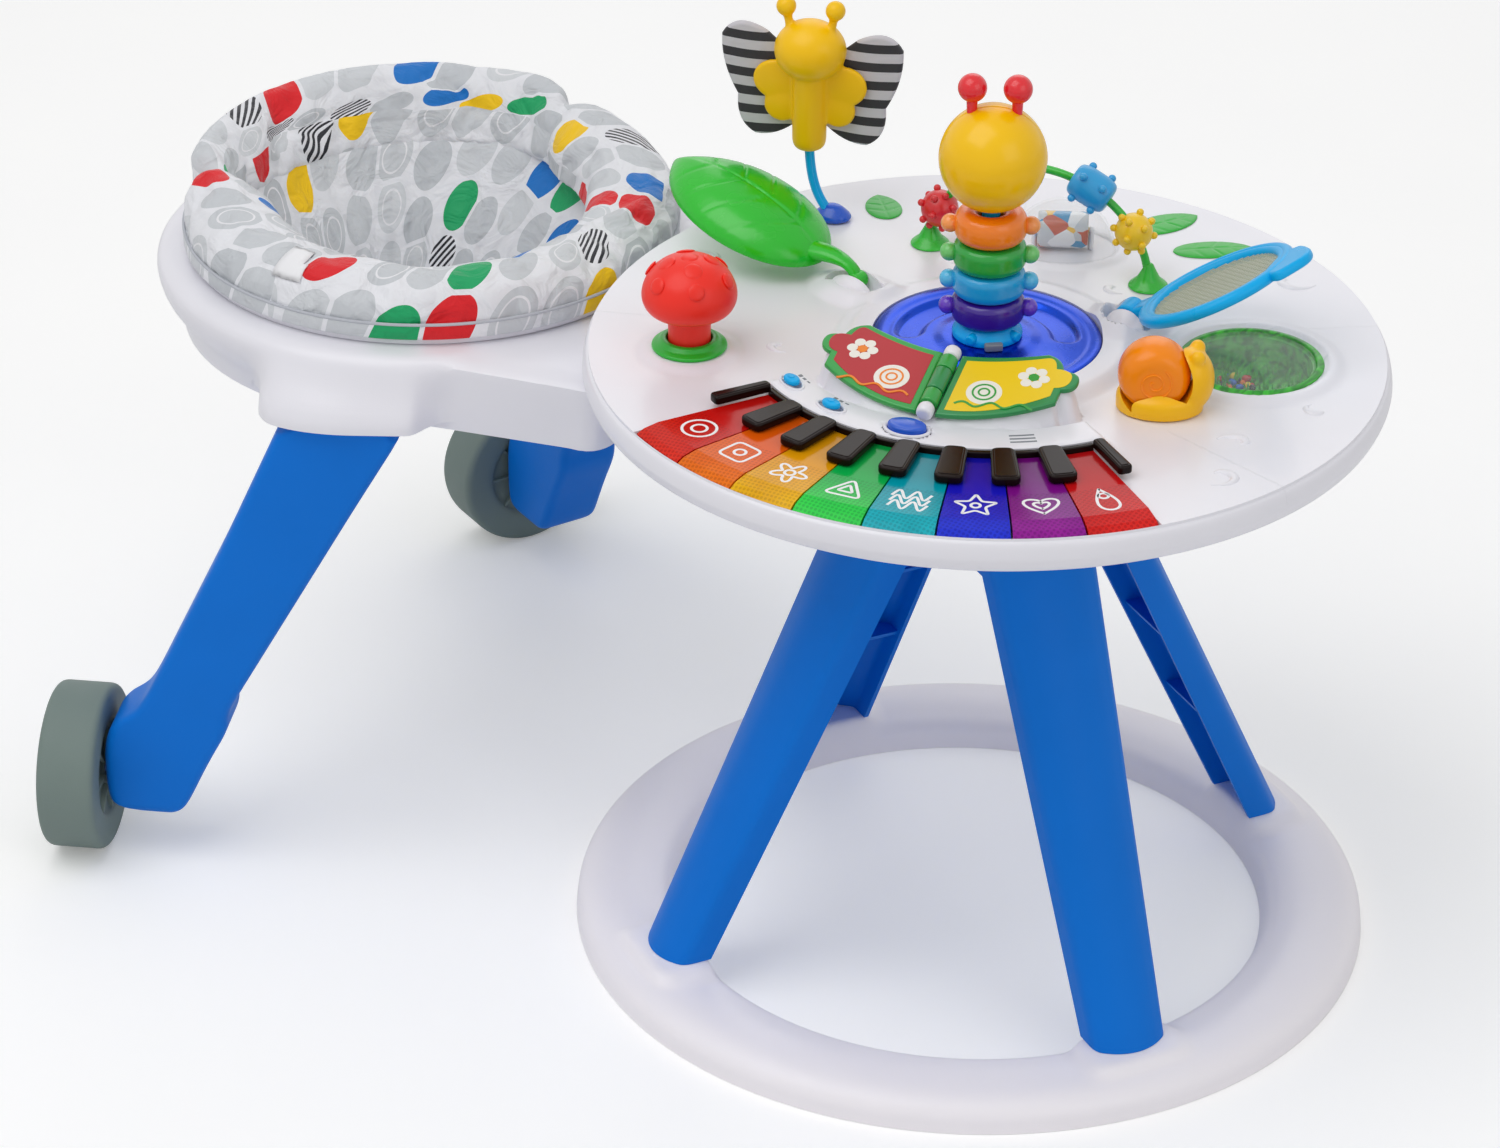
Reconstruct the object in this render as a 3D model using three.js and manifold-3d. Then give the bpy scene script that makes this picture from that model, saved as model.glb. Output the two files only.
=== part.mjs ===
import * as THREE from "three";
import { mergeVertices } from "three/addons/utils/BufferGeometryUtils.js";
import Module from "manifold-3d";

const wasm = await Module();
wasm.setup();

// Driving dimensions, in millimetres and degrees

// Clearances shared by all pieces
const REST_GAP = 0.3;
const RUNNING_GAP = 0.5;
const LOOSE_GAP = 1.5;
const JOIN_LAP = 1;
const OVERRUN = 3;

// Facets round a full turn
const LARGE_SIDES = 30;
const SHELL_SIDES = 28;
const MIDDLE_SIDES = 20;
const SMALL_SIDES = 8;

// Turns, in degrees
const FULL_TURN = 360;
const QUARTER_TURN = 90;

// Floor ring
const BASE_OUTER_RADIUS = 320;
const BASE_INNER_RADIUS = 238;
const BASE_HEIGHT = 27;
const BASE_WALL = 4;
const PAD_WIDTH = 82;
const PAD_DEPTH = 48;
const PAD_RISE = 5;
const PAD_ROUND = 14;

// Table legs, as flat sections through the leg at each height
const LEG_TURNS = [45, 135, 225, 315];
const LEG_FOOT_REACH = 270;
const LEG_TOP_REACH = 84;
const LEG_TOP_DROP = 95;
const LEG_FOOT_WIDTH = 62;
const LEG_TOP_WIDTH = 93;
const LEG_BULGE = 13;
const LEG_FLANGE = 24;
const LEG_WALL = 4;
const LEG_RIB = 4;
const LEG_RIB_SHARES = [0.28, 0.5, 0.72];

// Hub under the table
const CROWN_RADIUS = 108;
const CROWN_PLATE = 6;
const CROWN_COLUMN_RADIUS = 42;
const CROWN_DROP = 62;
const SPIGOT_RADIUS = 60;
const PILOT_RADIUS = 40;
const PILOT_HEIGHT = 12;

// Table top
const TABLE_TURN = 11.6;
const TABLE_RADIUS = 310;
const TABLE_HEIGHT = 512;
const TABLE_SKIN = 4;
const SKIRT_DEPTH = 27;
const RIM_ROLL = 14;
const PLATEAU_RISE = 7;
const PLATEAU_RADIUS = 102;
const PLATEAU_SLOPE = 14;
const DISC_RECESS = 5;
const PAN_RADIUS = 146;
const PAN_DEPTH = 30;
const PAN_WALL = 3;

// Piano: eight keys fanned round the table's edge
const KEY_COUNT = 8;
const KEY_PITCH = 10.35;
const KEY_SPLIT = 0.3;
const PIANO_FACING = -90;
const KEY_EDGE = 7;
const KEY_LENGTH = 111;
const KEY_TOP = 4;
const KEY_THICKNESS = 7.5;
const KEY_LIP = 11;
const KEY_HEEL = 6;
const PIANO_FLOOR_DEPTH = 14;
const PIANO_WALL = 3;
const BLACK_KEY_LENGTH = 44;
const BLACK_KEY_WIDTH = 5.6;
const BLACK_KEY_RISE = 7;
const BLACK_BAR_DEPTH = 5;

// Console band with the switches, between the book and the keys
const CONSOLE_GAP = 5;
const CONSOLE_WIDTH = 29;
const CONSOLE_RISE = 9;
const CONSOLE_HALF_TURN = 47;
const SWITCH_TURNS = [-131, -115];
const SWITCH_INSET = 20;
const SWITCH_LENGTH = 16;
const SWITCH_WIDTH = 11;
const SWITCH_RISE = 5;
const SWITCH_TRAVEL = 4;
const BUTTON_TURN = -93;
const BUTTON_INSET = 22;
const BUTTON_LENGTH = 32;
const BUTTON_WIDTH = 22;
const BUTTON_RISE = 6;
const SWITCH_WELL = 6;
const SPEAKER_TURN = -64;
const SPEAKER_SLOTS = 3;
const SPEAKER_SLOT_PITCH = 5;
const SPEAKER_SLOT_WIDTH = 1.8;
const SPEAKER_HALF_TURN = 3;
const SPEAKER_DEPTH = 3;

// Book
const BOOK_INSET = 36;
const BOOK_SLOPE = 14;
const BOOK_RISE = 26;
const BOOK_LENGTH = 68;
const PAGE_THICKNESS = 5;
const PAGE_WIDTH = 100;
const BOOK_ROD_RADIUS = 4;
const BOOK_SLEEVE_RADIUS = 7;
const BOOK_CAP_LENGTH = 8;
const BOOK_SLEEVE_LENGTH = 24;

// Spinning disc with the stacking post
const DISC_RADIUS = 88;
const DISC_EDGE = 4;
const DISC_CROWN = 6;
const SPINDLE_RADIUS = 14;
const FINGER_RADIUS = 60;
const FINGER_WIDTH = 11;
const FINGER_DEPTH = 4;
const FINGER_HALF_TURN = 36;
const FINGER_COUNT = 3;
const POST_RADIUS = 7;
const COLLAR_RADIUS = 27;
const COLLAR_HEIGHT = 12;
const RING_RADIUS = 28;
const RING_HEIGHT = 22;
const TOP_RING_HEIGHT = 25;
const KNOB_RADIUS = 7;
const KNOB_REACH = 31;
const STACK_FACING = -74;
const HEAD_WIDTH = 82;
const HEAD_HEIGHT = 84;
const FEELER_BALL_RADIUS = 11;
const FEELER_STEM_RADIUS = 4;
const FEELER_SPREAD = 17;
const FEELER_RISE = 9;
const HEAD_POST_REACH = 24;

// Leaf-shaped lid
const LEAF_TURN = 157;
const LEAF_REACH = 133;
const LEAF_HEADING = 161;
const LEAF_LIFT = 15;
const LEAF_DROP = 8;
const LEAF_NEAR = 36;
const LEAF_LENGTH = 156;
const LEAF_WIDTH = 102;
const LEAF_CROWN = 30;
const LEAF_WALL = 3;
const LEAF_STEM_RADIUS = 6;
const LEAF_HINGE_HEIGHT = 9;
const LEAF_MOUND_LENGTH = 46;
const LEAF_MOUND_WIDTH = 34;
const LEAF_MOUND_RISE = 16;
const LEAF_PIN_RADIUS = 2.5;

// Hinged hand paddle with a net
const PADDLE_TURN = 35.6;
const PADDLE_REACH = 116;
const PADDLE_HEADING = -7;
const PADDLE_LIFT = 29;
const PADDLE_LENGTH = 128;
const PADDLE_WIDTH = 130;
const PADDLE_RIM = 11;
const PADDLE_THICKNESS = 10;
const PADDLE_NEAR = 15;
const PADDLE_TAB_LENGTH = 24;
const PADDLE_TAB_WIDTH = 56;
const PADDLE_HINGE_HEIGHT = 12;
const PADDLE_KNUCKLE_RADIUS = 9;
const PADDLE_KNUCKLE_LENGTH = 20;
const PADDLE_MOUND_LENGTH = 38;
const PADDLE_MOUND_WIDTH = 46;
const PADDLE_PIN_RADIUS = 3;
const NET_THICKNESS = 1.6;
const NET_STRAND = 1.4;
const NET_PITCH = 25;

// Bead window
const WINDOW_TURN = 11.5;
const WINDOW_EDGE = 108;
const WINDOW_RADIUS = 52;
const TRAY_DEPTH = 26;
const TRAY_WALL = 2.6;
const TRAY_FLANGE = 3.5;
const TRAY_FLANGE_RISE = 1.8;
const LENS_DEPTH = 4;
const LENS_CROWN = 2;

// Snail
const SNAIL_TURN = -20;
const SNAIL_REACH = 162;
const SNAIL_HEADING = 16;
const SNAIL_LENGTH = 66;
const SNAIL_WIDTH = 46;
const SNAIL_BODY_HEIGHT = 34;
const SNAIL_SHELL_RADIUS = 27.5;
const SNAIL_SHELL_WIDTH = 40;
const SNAIL_SHELL_BACK = 5;
const SNAIL_SHELL_HEIGHT = 29;
const SNAIL_PIN_RADIUS = 3;
const SNAIL_FEELER_HEIGHT = 42;
const SNAIL_FEELER_RADIUS = 6;
const SNAIL_FEELER_SPREAD = 8;

// Mushroom button
const MUSHROOM_TURN = -156.6;
const MUSHROOM_EDGE = 82;
const MUSHROOM_CAP_RADIUS = 37;
const MUSHROOM_CAP_HEIGHT = 46;
const MUSHROOM_STEM_RADIUS = 17;
const MUSHROOM_STEM_HEIGHT = 34;
const MUSHROOM_COLLAR_RADIUS = 29;
const MUSHROOM_COLLAR_RISE = 8;
const MUSHROOM_WELL = 7;
const MUSHROOM_MOUND = 37;

// Bug on a bending stalk
const STALK_TURN = 137.5;
const STALK_EDGE = 63;
const STALK_HEIGHT = 73;
const STALK_LEAN = -20;
const STALK_RADIUS = 4.6;
const STALK_FOOT_RADIUS = 12;
const STALK_FOOT_HEIGHT = 12;
const BUG_FACING = -85;
const BUG_BODY_WIDTH = 28;
const BUG_BODY_HEIGHT = 60;
const BUG_HEAD_RADIUS = 29;
const BUG_FEELER_RADIUS = 7;
const BUG_FEELER_SPREAD = 20;
const WING_SPAN = 74;
const WING_HEIGHT = 98;
const WING_THICKNESS = 7;
const SMALL_WING_SPAN = 52;
const SMALL_WING_THICKNESS = 6;
const SMALL_WING_EDGE = 1;

// Bead arch
const ARCH_TURN = 91;
const ARCH_REACH = 145;
const ARCH_HEADING = -4;
const ARCH_HALF_SPAN = 92;
const ARCH_RISE = 84;
const ARCH_ROD_RADIUS = 3.2;
const ARCH_FOOT_RADIUS = 15;
const ARCH_FOOT_HEIGHT = 15;
const BEAD_BORE = 5.6;
const BEAD_RADIUS = 17;
const BEAD_SPIKE = 3.5;
const BEAD_SPIKE_RADIUS = 3;
const BARREL_RADIUS = 15;
const BARREL_LENGTH = 34;
const BEAD_RED_SHARE = 157;
const BEAD_BLUE_SHARE = 63;
const BEAD_YELLOW_SHARE = 32;

// Clear dome with a tumbling drum
const DOME_TURN = 88;
const DOME_REACH = 182;
const DOME_HEADING = 16;
const DOME_LENGTH = 84;
const DOME_WIDTH = 62;
const DOME_RISE = 42;
const DOME_WALL = 2;
const DRUM_RADIUS = 15;
const DRUM_LENGTH = 40;
const DRUM_AXLE_RADIUS = 2.5;
const DRUM_POST_WIDTH = 9;
const DRUM_POST_THICKNESS = 4;

// Flat leaves behind the arch
const LEAF_PAD_THICKNESS = 2.5;
const LEAF_PADS = [
  { name: "leaf_pad_left", turn: 126.7, edge: 58, heading: 120, length: 46, width: 30 },
  { name: "leaf_pad_middle", turn: 74, edge: 48, heading: 50, length: 62, width: 32 },
  { name: "leaf_pad_right", turn: 61, edge: 60, heading: 26, length: 66, width: 30 },
];

// Walker: swivel seat on a frame that turns round the table's spigot
const SEAT_GAP = 5;
const SEAT_TURN = 57;
const SHELL_RADIUS = 225;
const SHELL_DROP = 40;
const SHELL_HEIGHT = 48;
const SHELL_BORE = 172;
const SHELL_WALL = 4;
const APRON_DEPTH = 64;
const APRON_FRONT_EDGE = 58;
const APRON_FRONT_HALF_WIDTH = 158;
const APRON_TAPER = 8;
const APRON_STEP = 2;
const ARM_HALF_WIDTH = 62;
const COLLAR_OUTER_RADIUS = 98;
const COLLAR_DROP = 8;
const WALKER_SPREAD = 25.25;
const WHEEL_EDGE = 5;
const WHEEL_RADIUS = 69;
const WHEEL_WIDTH = 48;
const WHEEL_SHOULDER = 9;
const WHEEL_DISH = 6;
const AXLE_RADIUS = 6;
const AXLE_HEAD_RADIUS = 11;
const AXLE_HEAD_LENGTH = 4;
const WALKER_LEG_DROP = 57;
const WALKER_SKEW = 1.3;
const WALKER_LEG_INNER_EDGE = 70;
const WALKER_LEG_THICKNESS = 58;
const WALKER_LEG_EDGE = 9;
const SOCKET_WALL = 5;
const SOCKET_HEIGHT = 30;

// Swivel ring and padded seat
const RING_FLANGE_RADIUS = 198;
const RING_FLANGE = 5.5;
const RING_WALL = 6;
const RING_DROP = 26;
const CUSHION_INNER_RADIUS = 122;
const CUSHION_OUTER_RADIUS = 201;
const CUSHION_FRONT_RISE = 42;
const CUSHION_BACK_RISE = 70;
const SLING_DEPTH = 150;
const SLING_THICKNESS = 8;
const LEG_HOLE_RADIUS = 38;
const LEG_HOLE_DROP = 98;
const LEG_HOLE_TURN = 42;
const SEAT_STEPS = 24;

// Places worked out from the driving dimensions
const PAD_TOP = BASE_HEIGHT + PAD_RISE;
const LEG_FOOT_HEIGHT = PAD_TOP + REST_GAP;
const LEG_TOP_HEIGHT = TABLE_HEIGHT - LEG_TOP_DROP;
const CROWN_TOP = LEG_TOP_HEIGHT + REST_GAP + CROWN_PLATE;
const COLLAR_BOTTOM = CROWN_TOP + RUNNING_GAP;
const PAN_BOTTOM = TABLE_HEIGHT - TABLE_SKIN - PAN_DEPTH;
const UNDERSIDE = TABLE_HEIGHT - TABLE_SKIN;
const PLATEAU_TOP = TABLE_HEIGHT + PLATEAU_RISE;
const DISC_FLOOR = PLATEAU_TOP - DISC_RECESS;
const PIANO_FLOOR = TABLE_HEIGHT - PIANO_FLOOR_DEPTH;
const CONSOLE_TOP = TABLE_HEIGHT + CONSOLE_RISE;
const KEY_OUTER_RADIUS = TABLE_RADIUS - KEY_EDGE;
const KEY_INNER_RADIUS = KEY_OUTER_RADIUS - KEY_LENGTH;
const BLACK_KEY_REACH = KEY_INNER_RADIUS + BLACK_KEY_LENGTH;
const CONSOLE_OUTER_RADIUS = KEY_INNER_RADIUS - CONSOLE_GAP;
const CONSOLE_INNER_RADIUS = CONSOLE_OUTER_RADIUS - CONSOLE_WIDTH;
const SWITCH_REACH = KEY_INNER_RADIUS - SWITCH_INSET;
const BUTTON_REACH = KEY_INNER_RADIUS - BUTTON_INSET;
const BOOK_REACH = CONSOLE_INNER_RADIUS - BOOK_INSET;
const WINDOW_REACH = TABLE_RADIUS - WINDOW_EDGE;
const MUSHROOM_REACH = TABLE_RADIUS - MUSHROOM_EDGE;
const STALK_REACH = TABLE_RADIUS - STALK_EDGE;
const COLLAR_TOP = PAN_BOTTOM - COLLAR_DROP;
const SHELL_TOP = TABLE_HEIGHT - SHELL_DROP;
const APRON_BOTTOM = SHELL_TOP - APRON_DEPTH;
const APRON_FRONT_REACH = TABLE_RADIUS - APRON_FRONT_EDGE;
const SEAT_REACH = TABLE_RADIUS + CUSHION_OUTER_RADIUS + SEAT_GAP;
const WHEEL_REACH = SEAT_REACH + SHELL_RADIUS - WHEEL_EDGE;
const WALKER_LEG_TOP = SHELL_TOP - WALKER_LEG_DROP;
const WALKER_LEG_INNER_REACH = SEAT_REACH - WALKER_LEG_INNER_EDGE;

// Points on a flat outline follow these shares of the size that they belong to
const BASE_CROWN_SHARES = [[0, 0], [0.02, 0.6], [0.2, 0.94], [0.55, 1], [0.93, 0.7], [1, 0]];
const BASE_ROOM_SHARES = [[0, 0], [0.14, 0.9], [0.86, 0.8], [1, 0]];
const WALKER_LEG_SHARES = [
  [0.395, 1], [0.608, 0.699], [0.86, 0.366], [0.898, 0.333], [0.97, 0.304], [1, 0.253], [1, 0.145], [0.98, 0.111],
  [0.799, 0.099], [0.755, 0.113], [0.675, 0.222], [0.604, 0.306], [0.606, 0.342], [0.181, 0.822], [0.02, 1],
];
const SHELL_SHARES = [[0, 0], [0, 1], [0.77, 1], [0.925, 0.92], [1, 0.75], [0.91, 0.33], [0.6, 0]];
const CUSHION_SHARES = [[0.94, 0], [1, 0.25], [0.94, 0.72], [0.61, 1], [0.2, 0.82], [0, 0.2]];
const SLING_SHARES = [
  { across: 0, drop: 1 }, { across: 0.42, drop: 0.96 }, { across: 0.6, drop: 0.6 }, { across: 0.72, drop: 0.3 },
];

const radians = THREE.MathUtils.degToRad;

// A place on the table top, from a reach and a turn in degrees
function polar(reach, turn, height = 0) {
  return new THREE.Vector3(reach * Math.cos(radians(turn)), reach * Math.sin(radians(turn)), height);
}

// The solid inside a closed geometry, with its faces pointing out
function solid(geometry) {
  const bare = new THREE.BufferGeometry();
  bare.setAttribute("position", geometry.getAttribute("position"));
  bare.setIndex(geometry.getIndex());
  const merged = mergeVertices(bare);
  const triVerts = new Uint32Array(merged.getIndex().array);
  const vertProperties = merged.getAttribute("position").array;
  const made = new wasm.Manifold(new wasm.Mesh({ numProp: 3, vertProperties, triVerts }));
  if (made.volume() >= 0) {
    return made;
  }
  return new wasm.Manifold(new wasm.Mesh({ numProp: 3, vertProperties, triVerts: triVerts.reverse() }));
}

// Back from a solid to a geometry with flat faces
function geometryOf(made) {
  const { vertProperties, triVerts } = made.getMesh();
  const geometry = new THREE.BufferGeometry();
  geometry.setAttribute("position", new THREE.BufferAttribute(vertProperties, 3));
  geometry.setIndex(new THREE.BufferAttribute(triVerts, 1));
  const flat = geometry.toNonIndexed();
  flat.computeVertexNormals();
  return flat;
}

function join(...geometries) {
  return geometryOf(geometries.map(solid).reduce((whole, next) => whole.add(next)));
}

function cut(geometry, ...tools) {
  return geometryOf(tools.map(solid).reduce((rest, tool) => rest.subtract(tool), solid(geometry)));
}

function keepInside(geometry, limit) {
  return geometryOf(solid(geometry).intersect(solid(limit)));
}

function moved(geometry, x, y, z) {
  return geometry.clone().translate(x, y, z);
}

function turned(geometry, turn) {
  return geometry.clone().rotateZ(radians(turn));
}

function movedTo(geometry, place) {
  return moved(geometry, place.x, place.y, place.z);
}

// A profile of radius and height that starts and ends on the axis, turned round Z
function revolve(profile, sides) {
  const points = profile.map(([radius, height]) => new THREE.Vector2(radius, height));
  return new THREE.LatheGeometry(points, sides).rotateX(Math.PI / 2);
}

// A profile that closes on itself, turned round Z
function ring(profile, sides) {
  return revolve([...profile, profile[0]], sides);
}

// A skin over matching outlines in their own planes, closed with a flat face at both ends
function loft(sections) {
  const clockwise = THREE.ShapeUtils.isClockWise(sections[0].outline);
  const rows = sections.map(({ outline, place }) => {
    const points = clockwise ? [...outline].reverse() : outline;
    return { points, place };
  });
  const size = rows[0].points.length;
  const positions = [];
  const index = [];
  for (const { points, place } of rows) {
    for (const point of points) {
      positions.push(...new THREE.Vector3(point.x, point.y, 0).applyMatrix4(place).toArray());
    }
  }
  for (let row = 0; row + 1 < rows.length; row += 1) {
    for (let i = 0; i < size; i += 1) {
      const next = (i + 1) % size;
      const a = row * size + i;
      const b = row * size + next;
      index.push(a, b, b + size, a, b + size, a + size);
    }
  }
  const last = (rows.length - 1) * size;
  for (const [a, b, c] of THREE.ShapeUtils.triangulateShape(rows[0].points, [])) {
    index.push(a, c, b);
  }
  for (const [a, b, c] of THREE.ShapeUtils.triangulateShape(rows.at(-1).points, [])) {
    index.push(last + a, last + b, last + c);
  }
  const geometry = new THREE.BufferGeometry();
  geometry.setAttribute("position", new THREE.Float32BufferAttribute(positions, 3));
  geometry.setIndex(index);
  return geometry;
}

function outlineOf(pairs) {
  return pairs.map(([x, y]) => new THREE.Vector2(x, y));
}

// Part of a turned body: a profile of radius and height swept from one turn to another
function sector(profile, from, to, steps) {
  const outline = outlineOf(profile);
  const sections = [];
  for (let i = 0; i <= steps; i += 1) {
    const place = new THREE.Matrix4().makeRotationZ(radians(from + ((to - from) * i) / steps));
    place.multiply(new THREE.Matrix4().makeRotationX(Math.PI / 2));
    sections.push({ outline, place });
  }
  return loft(sections);
}

function block(width, depth, height) {
  return new THREE.BoxGeometry(width, depth, height);
}

function rod(radius, length, sides = SMALL_SIDES) {
  return new THREE.CylinderGeometry(radius, radius, length, sides).rotateX(Math.PI / 2);
}

function ball(radiusX, radiusY, radiusZ, around, up) {
  return new THREE.SphereGeometry(1, around, up).rotateX(Math.PI / 2).scale(radiusX, radiusY, radiusZ);
}

function plate(shape, thickness, curveSteps) {
  return new THREE.ExtrudeGeometry(shape, { depth: thickness, bevelEnabled: false, curveSegments: curveSteps });
}

// A plate whose edges are rounded over; its full thickness includes both rounded edges
function softPlate(shape, thickness, edge, curveSteps, edgeSteps = 2) {
  const made = new THREE.ExtrudeGeometry(shape, {
    depth: thickness - 2 * edge,
    bevelThickness: edge,
    bevelSize: edge,
    bevelOffset: -edge,
    bevelSegments: edgeSteps,
    curveSegments: curveSteps,
  });
  return moved(made, 0, 0, edge);
}

function tube(points, radius, sides, steps) {
  const shape = new THREE.Shape();
  shape.absarc(0, 0, radius, 0, 2 * Math.PI);
  return new THREE.ExtrudeGeometry(new THREE.Shape(shape.getPoints(sides).slice(0, sides)), {
    extrudePath: new THREE.CatmullRomCurve3(points),
    steps,
    curveSegments: sides,
  });
}

function roundedRectangle(width, depth, radius) {
  const shape = new THREE.Shape();
  const x = width / 2 - radius;
  const y = depth / 2 - radius;
  shape.absarc(x, y, radius, 0, Math.PI / 2);
  shape.absarc(-x, y, radius, Math.PI / 2, Math.PI);
  shape.absarc(-x, -y, radius, Math.PI, (3 * Math.PI) / 2);
  shape.absarc(x, -y, radius, (3 * Math.PI) / 2, 2 * Math.PI);
  shape.closePath();
  return shape;
}

function ellipse(width, depth) {
  const shape = new THREE.Shape();
  shape.absellipse(0, 0, width / 2, depth / 2, 0, 2 * Math.PI);
  return shape;
}

// Finishes, one material for each mesh
const FINISHES = {
  white: { color: 0xeeecf4, roughness: 0.35 },
  blue: { color: 0x0a5fc0, roughness: 0.4 },
  wheel: { color: 0x6f7f7c, roughness: 0.65 },
  fabric: { color: 0xd9dbe2, roughness: 0.9 },
  metallicBlue: { color: 0x0a48e0, roughness: 0.22, metalness: 0.6 },
  lightBlue: { color: 0x1f9bdc, roughness: 0.35 },
  red: { color: 0xd8262c, roughness: 0.35 },
  orange: { color: 0xf57c12, roughness: 0.35 },
  amber: { color: 0xf2a81d, roughness: 0.3 },
  yellow: { color: 0xfccf10, roughness: 0.35 },
  green: { color: 0x2fae3c, roughness: 0.4 },
  darkGreen: { color: 0x10905a, roughness: 0.4 },
  teal: { color: 0x16b6c4, roughness: 0.3 },
  indigo: { color: 0x2a3ac4, roughness: 0.3 },
  magenta: { color: 0x8e1f9c, roughness: 0.3 },
  purple: { color: 0x6a2fc0, roughness: 0.35 },
  black: { color: 0x2c1a18, roughness: 0.2 },
  clear: { color: 0xdfe8ea, roughness: 0.08, transparent: true, opacity: 0.35 },
  net: { color: 0xb8bfae, roughness: 0.8 },
  striped: { color: 0xe8e8e8, roughness: 0.9 },
};

function piece(name, geometry, finish) {
  const { color, roughness, metalness = 0, transparent = false, opacity = 1 } = FINISHES[finish];
  const material = new THREE.MeshStandardMaterial({ color, roughness, metalness, transparent, opacity });
  const mesh = new THREE.Mesh(geometryOf(solid(geometry)), material);
  mesh.name = name;
  return mesh;
}

function group(place, turn, ...children) {
  const made = new THREE.Group();
  made.position.copy(place);
  made.rotation.z = radians(turn);
  made.add(...children);
  return made;
}

// Floor ring: a crowned channel, open below, with a raised pad for each leg
function makeBaseRing() {
  const across = BASE_OUTER_RADIUS - BASE_INNER_RADIUS;
  const skin = BASE_CROWN_SHARES.map(([share, rise]) => [BASE_OUTER_RADIUS - share * across, rise * BASE_HEIGHT]);
  const hollowAcross = across - 2 * BASE_WALL;
  const hollow = BASE_ROOM_SHARES.map(([share, rise]) => [
    BASE_OUTER_RADIUS - BASE_WALL - share * hollowAcross,
    rise * (BASE_HEIGHT - BASE_WALL),
  ]);
  const channel = ring([...skin, ...hollow.reverse()], LARGE_SIDES);
  const padShape = roundedRectangle(PAD_DEPTH, PAD_WIDTH, PAD_ROUND);
  const padHeight = PAD_TOP - BASE_HEIGHT / 2;
  const pads = LEG_TURNS.map((turn) => {
    const pad = moved(plate(padShape, padHeight, 1), LEG_FOOT_REACH, 0, PAD_TOP - padHeight);
    return turned(pad, turn + TABLE_TURN);
  });
  return join(channel, ...pads);
}

// The flat section of a table leg at one height, with X outward from the table's axis
function legOutline(height) {
  const share = (height - LEG_FOOT_HEIGHT) / (LEG_TOP_HEIGHT - LEG_FOOT_HEIGHT);
  const reach = THREE.MathUtils.lerp(LEG_FOOT_REACH, LEG_TOP_REACH, share);
  const half = THREE.MathUtils.lerp(LEG_FOOT_WIDTH, LEG_TOP_WIDTH, share) / 2;
  return { reach, half };
}

function legArc(reach, half, bulge, steps) {
  const points = [];
  for (let i = 0; i <= steps; i += 1) {
    const share = -1 + (2 * i) / steps;
    points.push(new THREE.Vector2(reach + bulge * (1 - share * share), half * share));
  }
  return points;
}

function legSection(height) {
  const { reach, half } = legOutline(height);
  const outer = legArc(reach, half, LEG_BULGE, 4);
  const inner = legArc(reach - LEG_WALL, half - LEG_WALL, LEG_BULGE, 4).reverse();
  const flangeEnd = Math.max(reach - LEG_FLANGE, half + RUNNING_GAP);
  return [
    new THREE.Vector2(flangeEnd, -half),
    ...outer,
    new THREE.Vector2(flangeEnd, half),
    new THREE.Vector2(flangeEnd, half - LEG_WALL),
    ...inner,
    new THREE.Vector2(flangeEnd, -half + LEG_WALL),
  ];
}

function flatPlace(height) {
  return new THREE.Matrix4().makeTranslation(0, 0, height);
}

function channelSection(height, inset, depth) {
  const { reach, half } = legOutline(height);
  const arc = legArc(reach - inset, half - inset, LEG_BULGE, 4);
  return [new THREE.Vector2(reach - depth, -half + inset), ...arc, new THREE.Vector2(reach - depth, half - inset)];
}

function makeTableLeg() {
  const heights = [LEG_FOOT_HEIGHT, LEG_TOP_HEIGHT];
  const shell = loft(heights.map((height) => ({ outline: legSection(height), place: flatPlace(height) })));
  const inset = LEG_WALL - JOIN_LAP;
  const ribs = LEG_RIB_SHARES.map((share) => {
    const height = THREE.MathUtils.lerp(LEG_FOOT_HEIGHT, LEG_TOP_HEIGHT, share);
    const levels = [height, height + LEG_RIB];
    return loft(
      levels.map((level) => ({
        outline: channelSection(level, inset, LEG_FLANGE - LEG_WALL),
        place: flatPlace(level),
      })),
    );
  });
  return join(shell, ...ribs);
}

// Hub: a plate on the leg tops, a tongue down into each leg, and the spigot that the walker turns round
function makeLegCrown() {
  const plateBottom = CROWN_TOP - CROWN_PLATE;
  const tongueBottom = plateBottom - CROWN_DROP;
  const hub = revolve(
    [
      [0, tongueBottom],
      [CROWN_COLUMN_RADIUS, tongueBottom],
      [CROWN_COLUMN_RADIUS, plateBottom],
      [CROWN_RADIUS, plateBottom],
      [CROWN_RADIUS, CROWN_TOP],
      [SPIGOT_RADIUS, CROWN_TOP],
      [SPIGOT_RADIUS, PAN_BOTTOM - REST_GAP],
      [PILOT_RADIUS, PAN_BOTTOM - REST_GAP],
      [PILOT_RADIUS, PAN_BOTTOM + PILOT_HEIGHT],
      [0, PAN_BOTTOM + PILOT_HEIGHT],
    ],
    MIDDLE_SIDES,
  );
  const inset = LEG_WALL + LOOSE_GAP;
  const tongue = loft(
    [tongueBottom, plateBottom + JOIN_LAP].map((height) => ({
      outline: channelSection(height, inset, legOutline(height).reach - CROWN_COLUMN_RADIUS / 2),
      place: flatPlace(height),
    })),
  );
  return join(hub, ...LEG_TURNS.map((turn) => turned(tongue, turn)));
}

function pianoSpan() {
  const half = (KEY_COUNT * KEY_PITCH) / 2;
  return { from: PIANO_FACING - half, to: PIANO_FACING + half };
}

// A piece that stands across a radius of the table: X is tangential, Y points outward
function tangential(geometry, turn, reach, height) {
  const stood = turned(geometry, turn - QUARTER_TURN);
  return movedTo(stood, polar(reach, turn, height));
}

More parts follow.
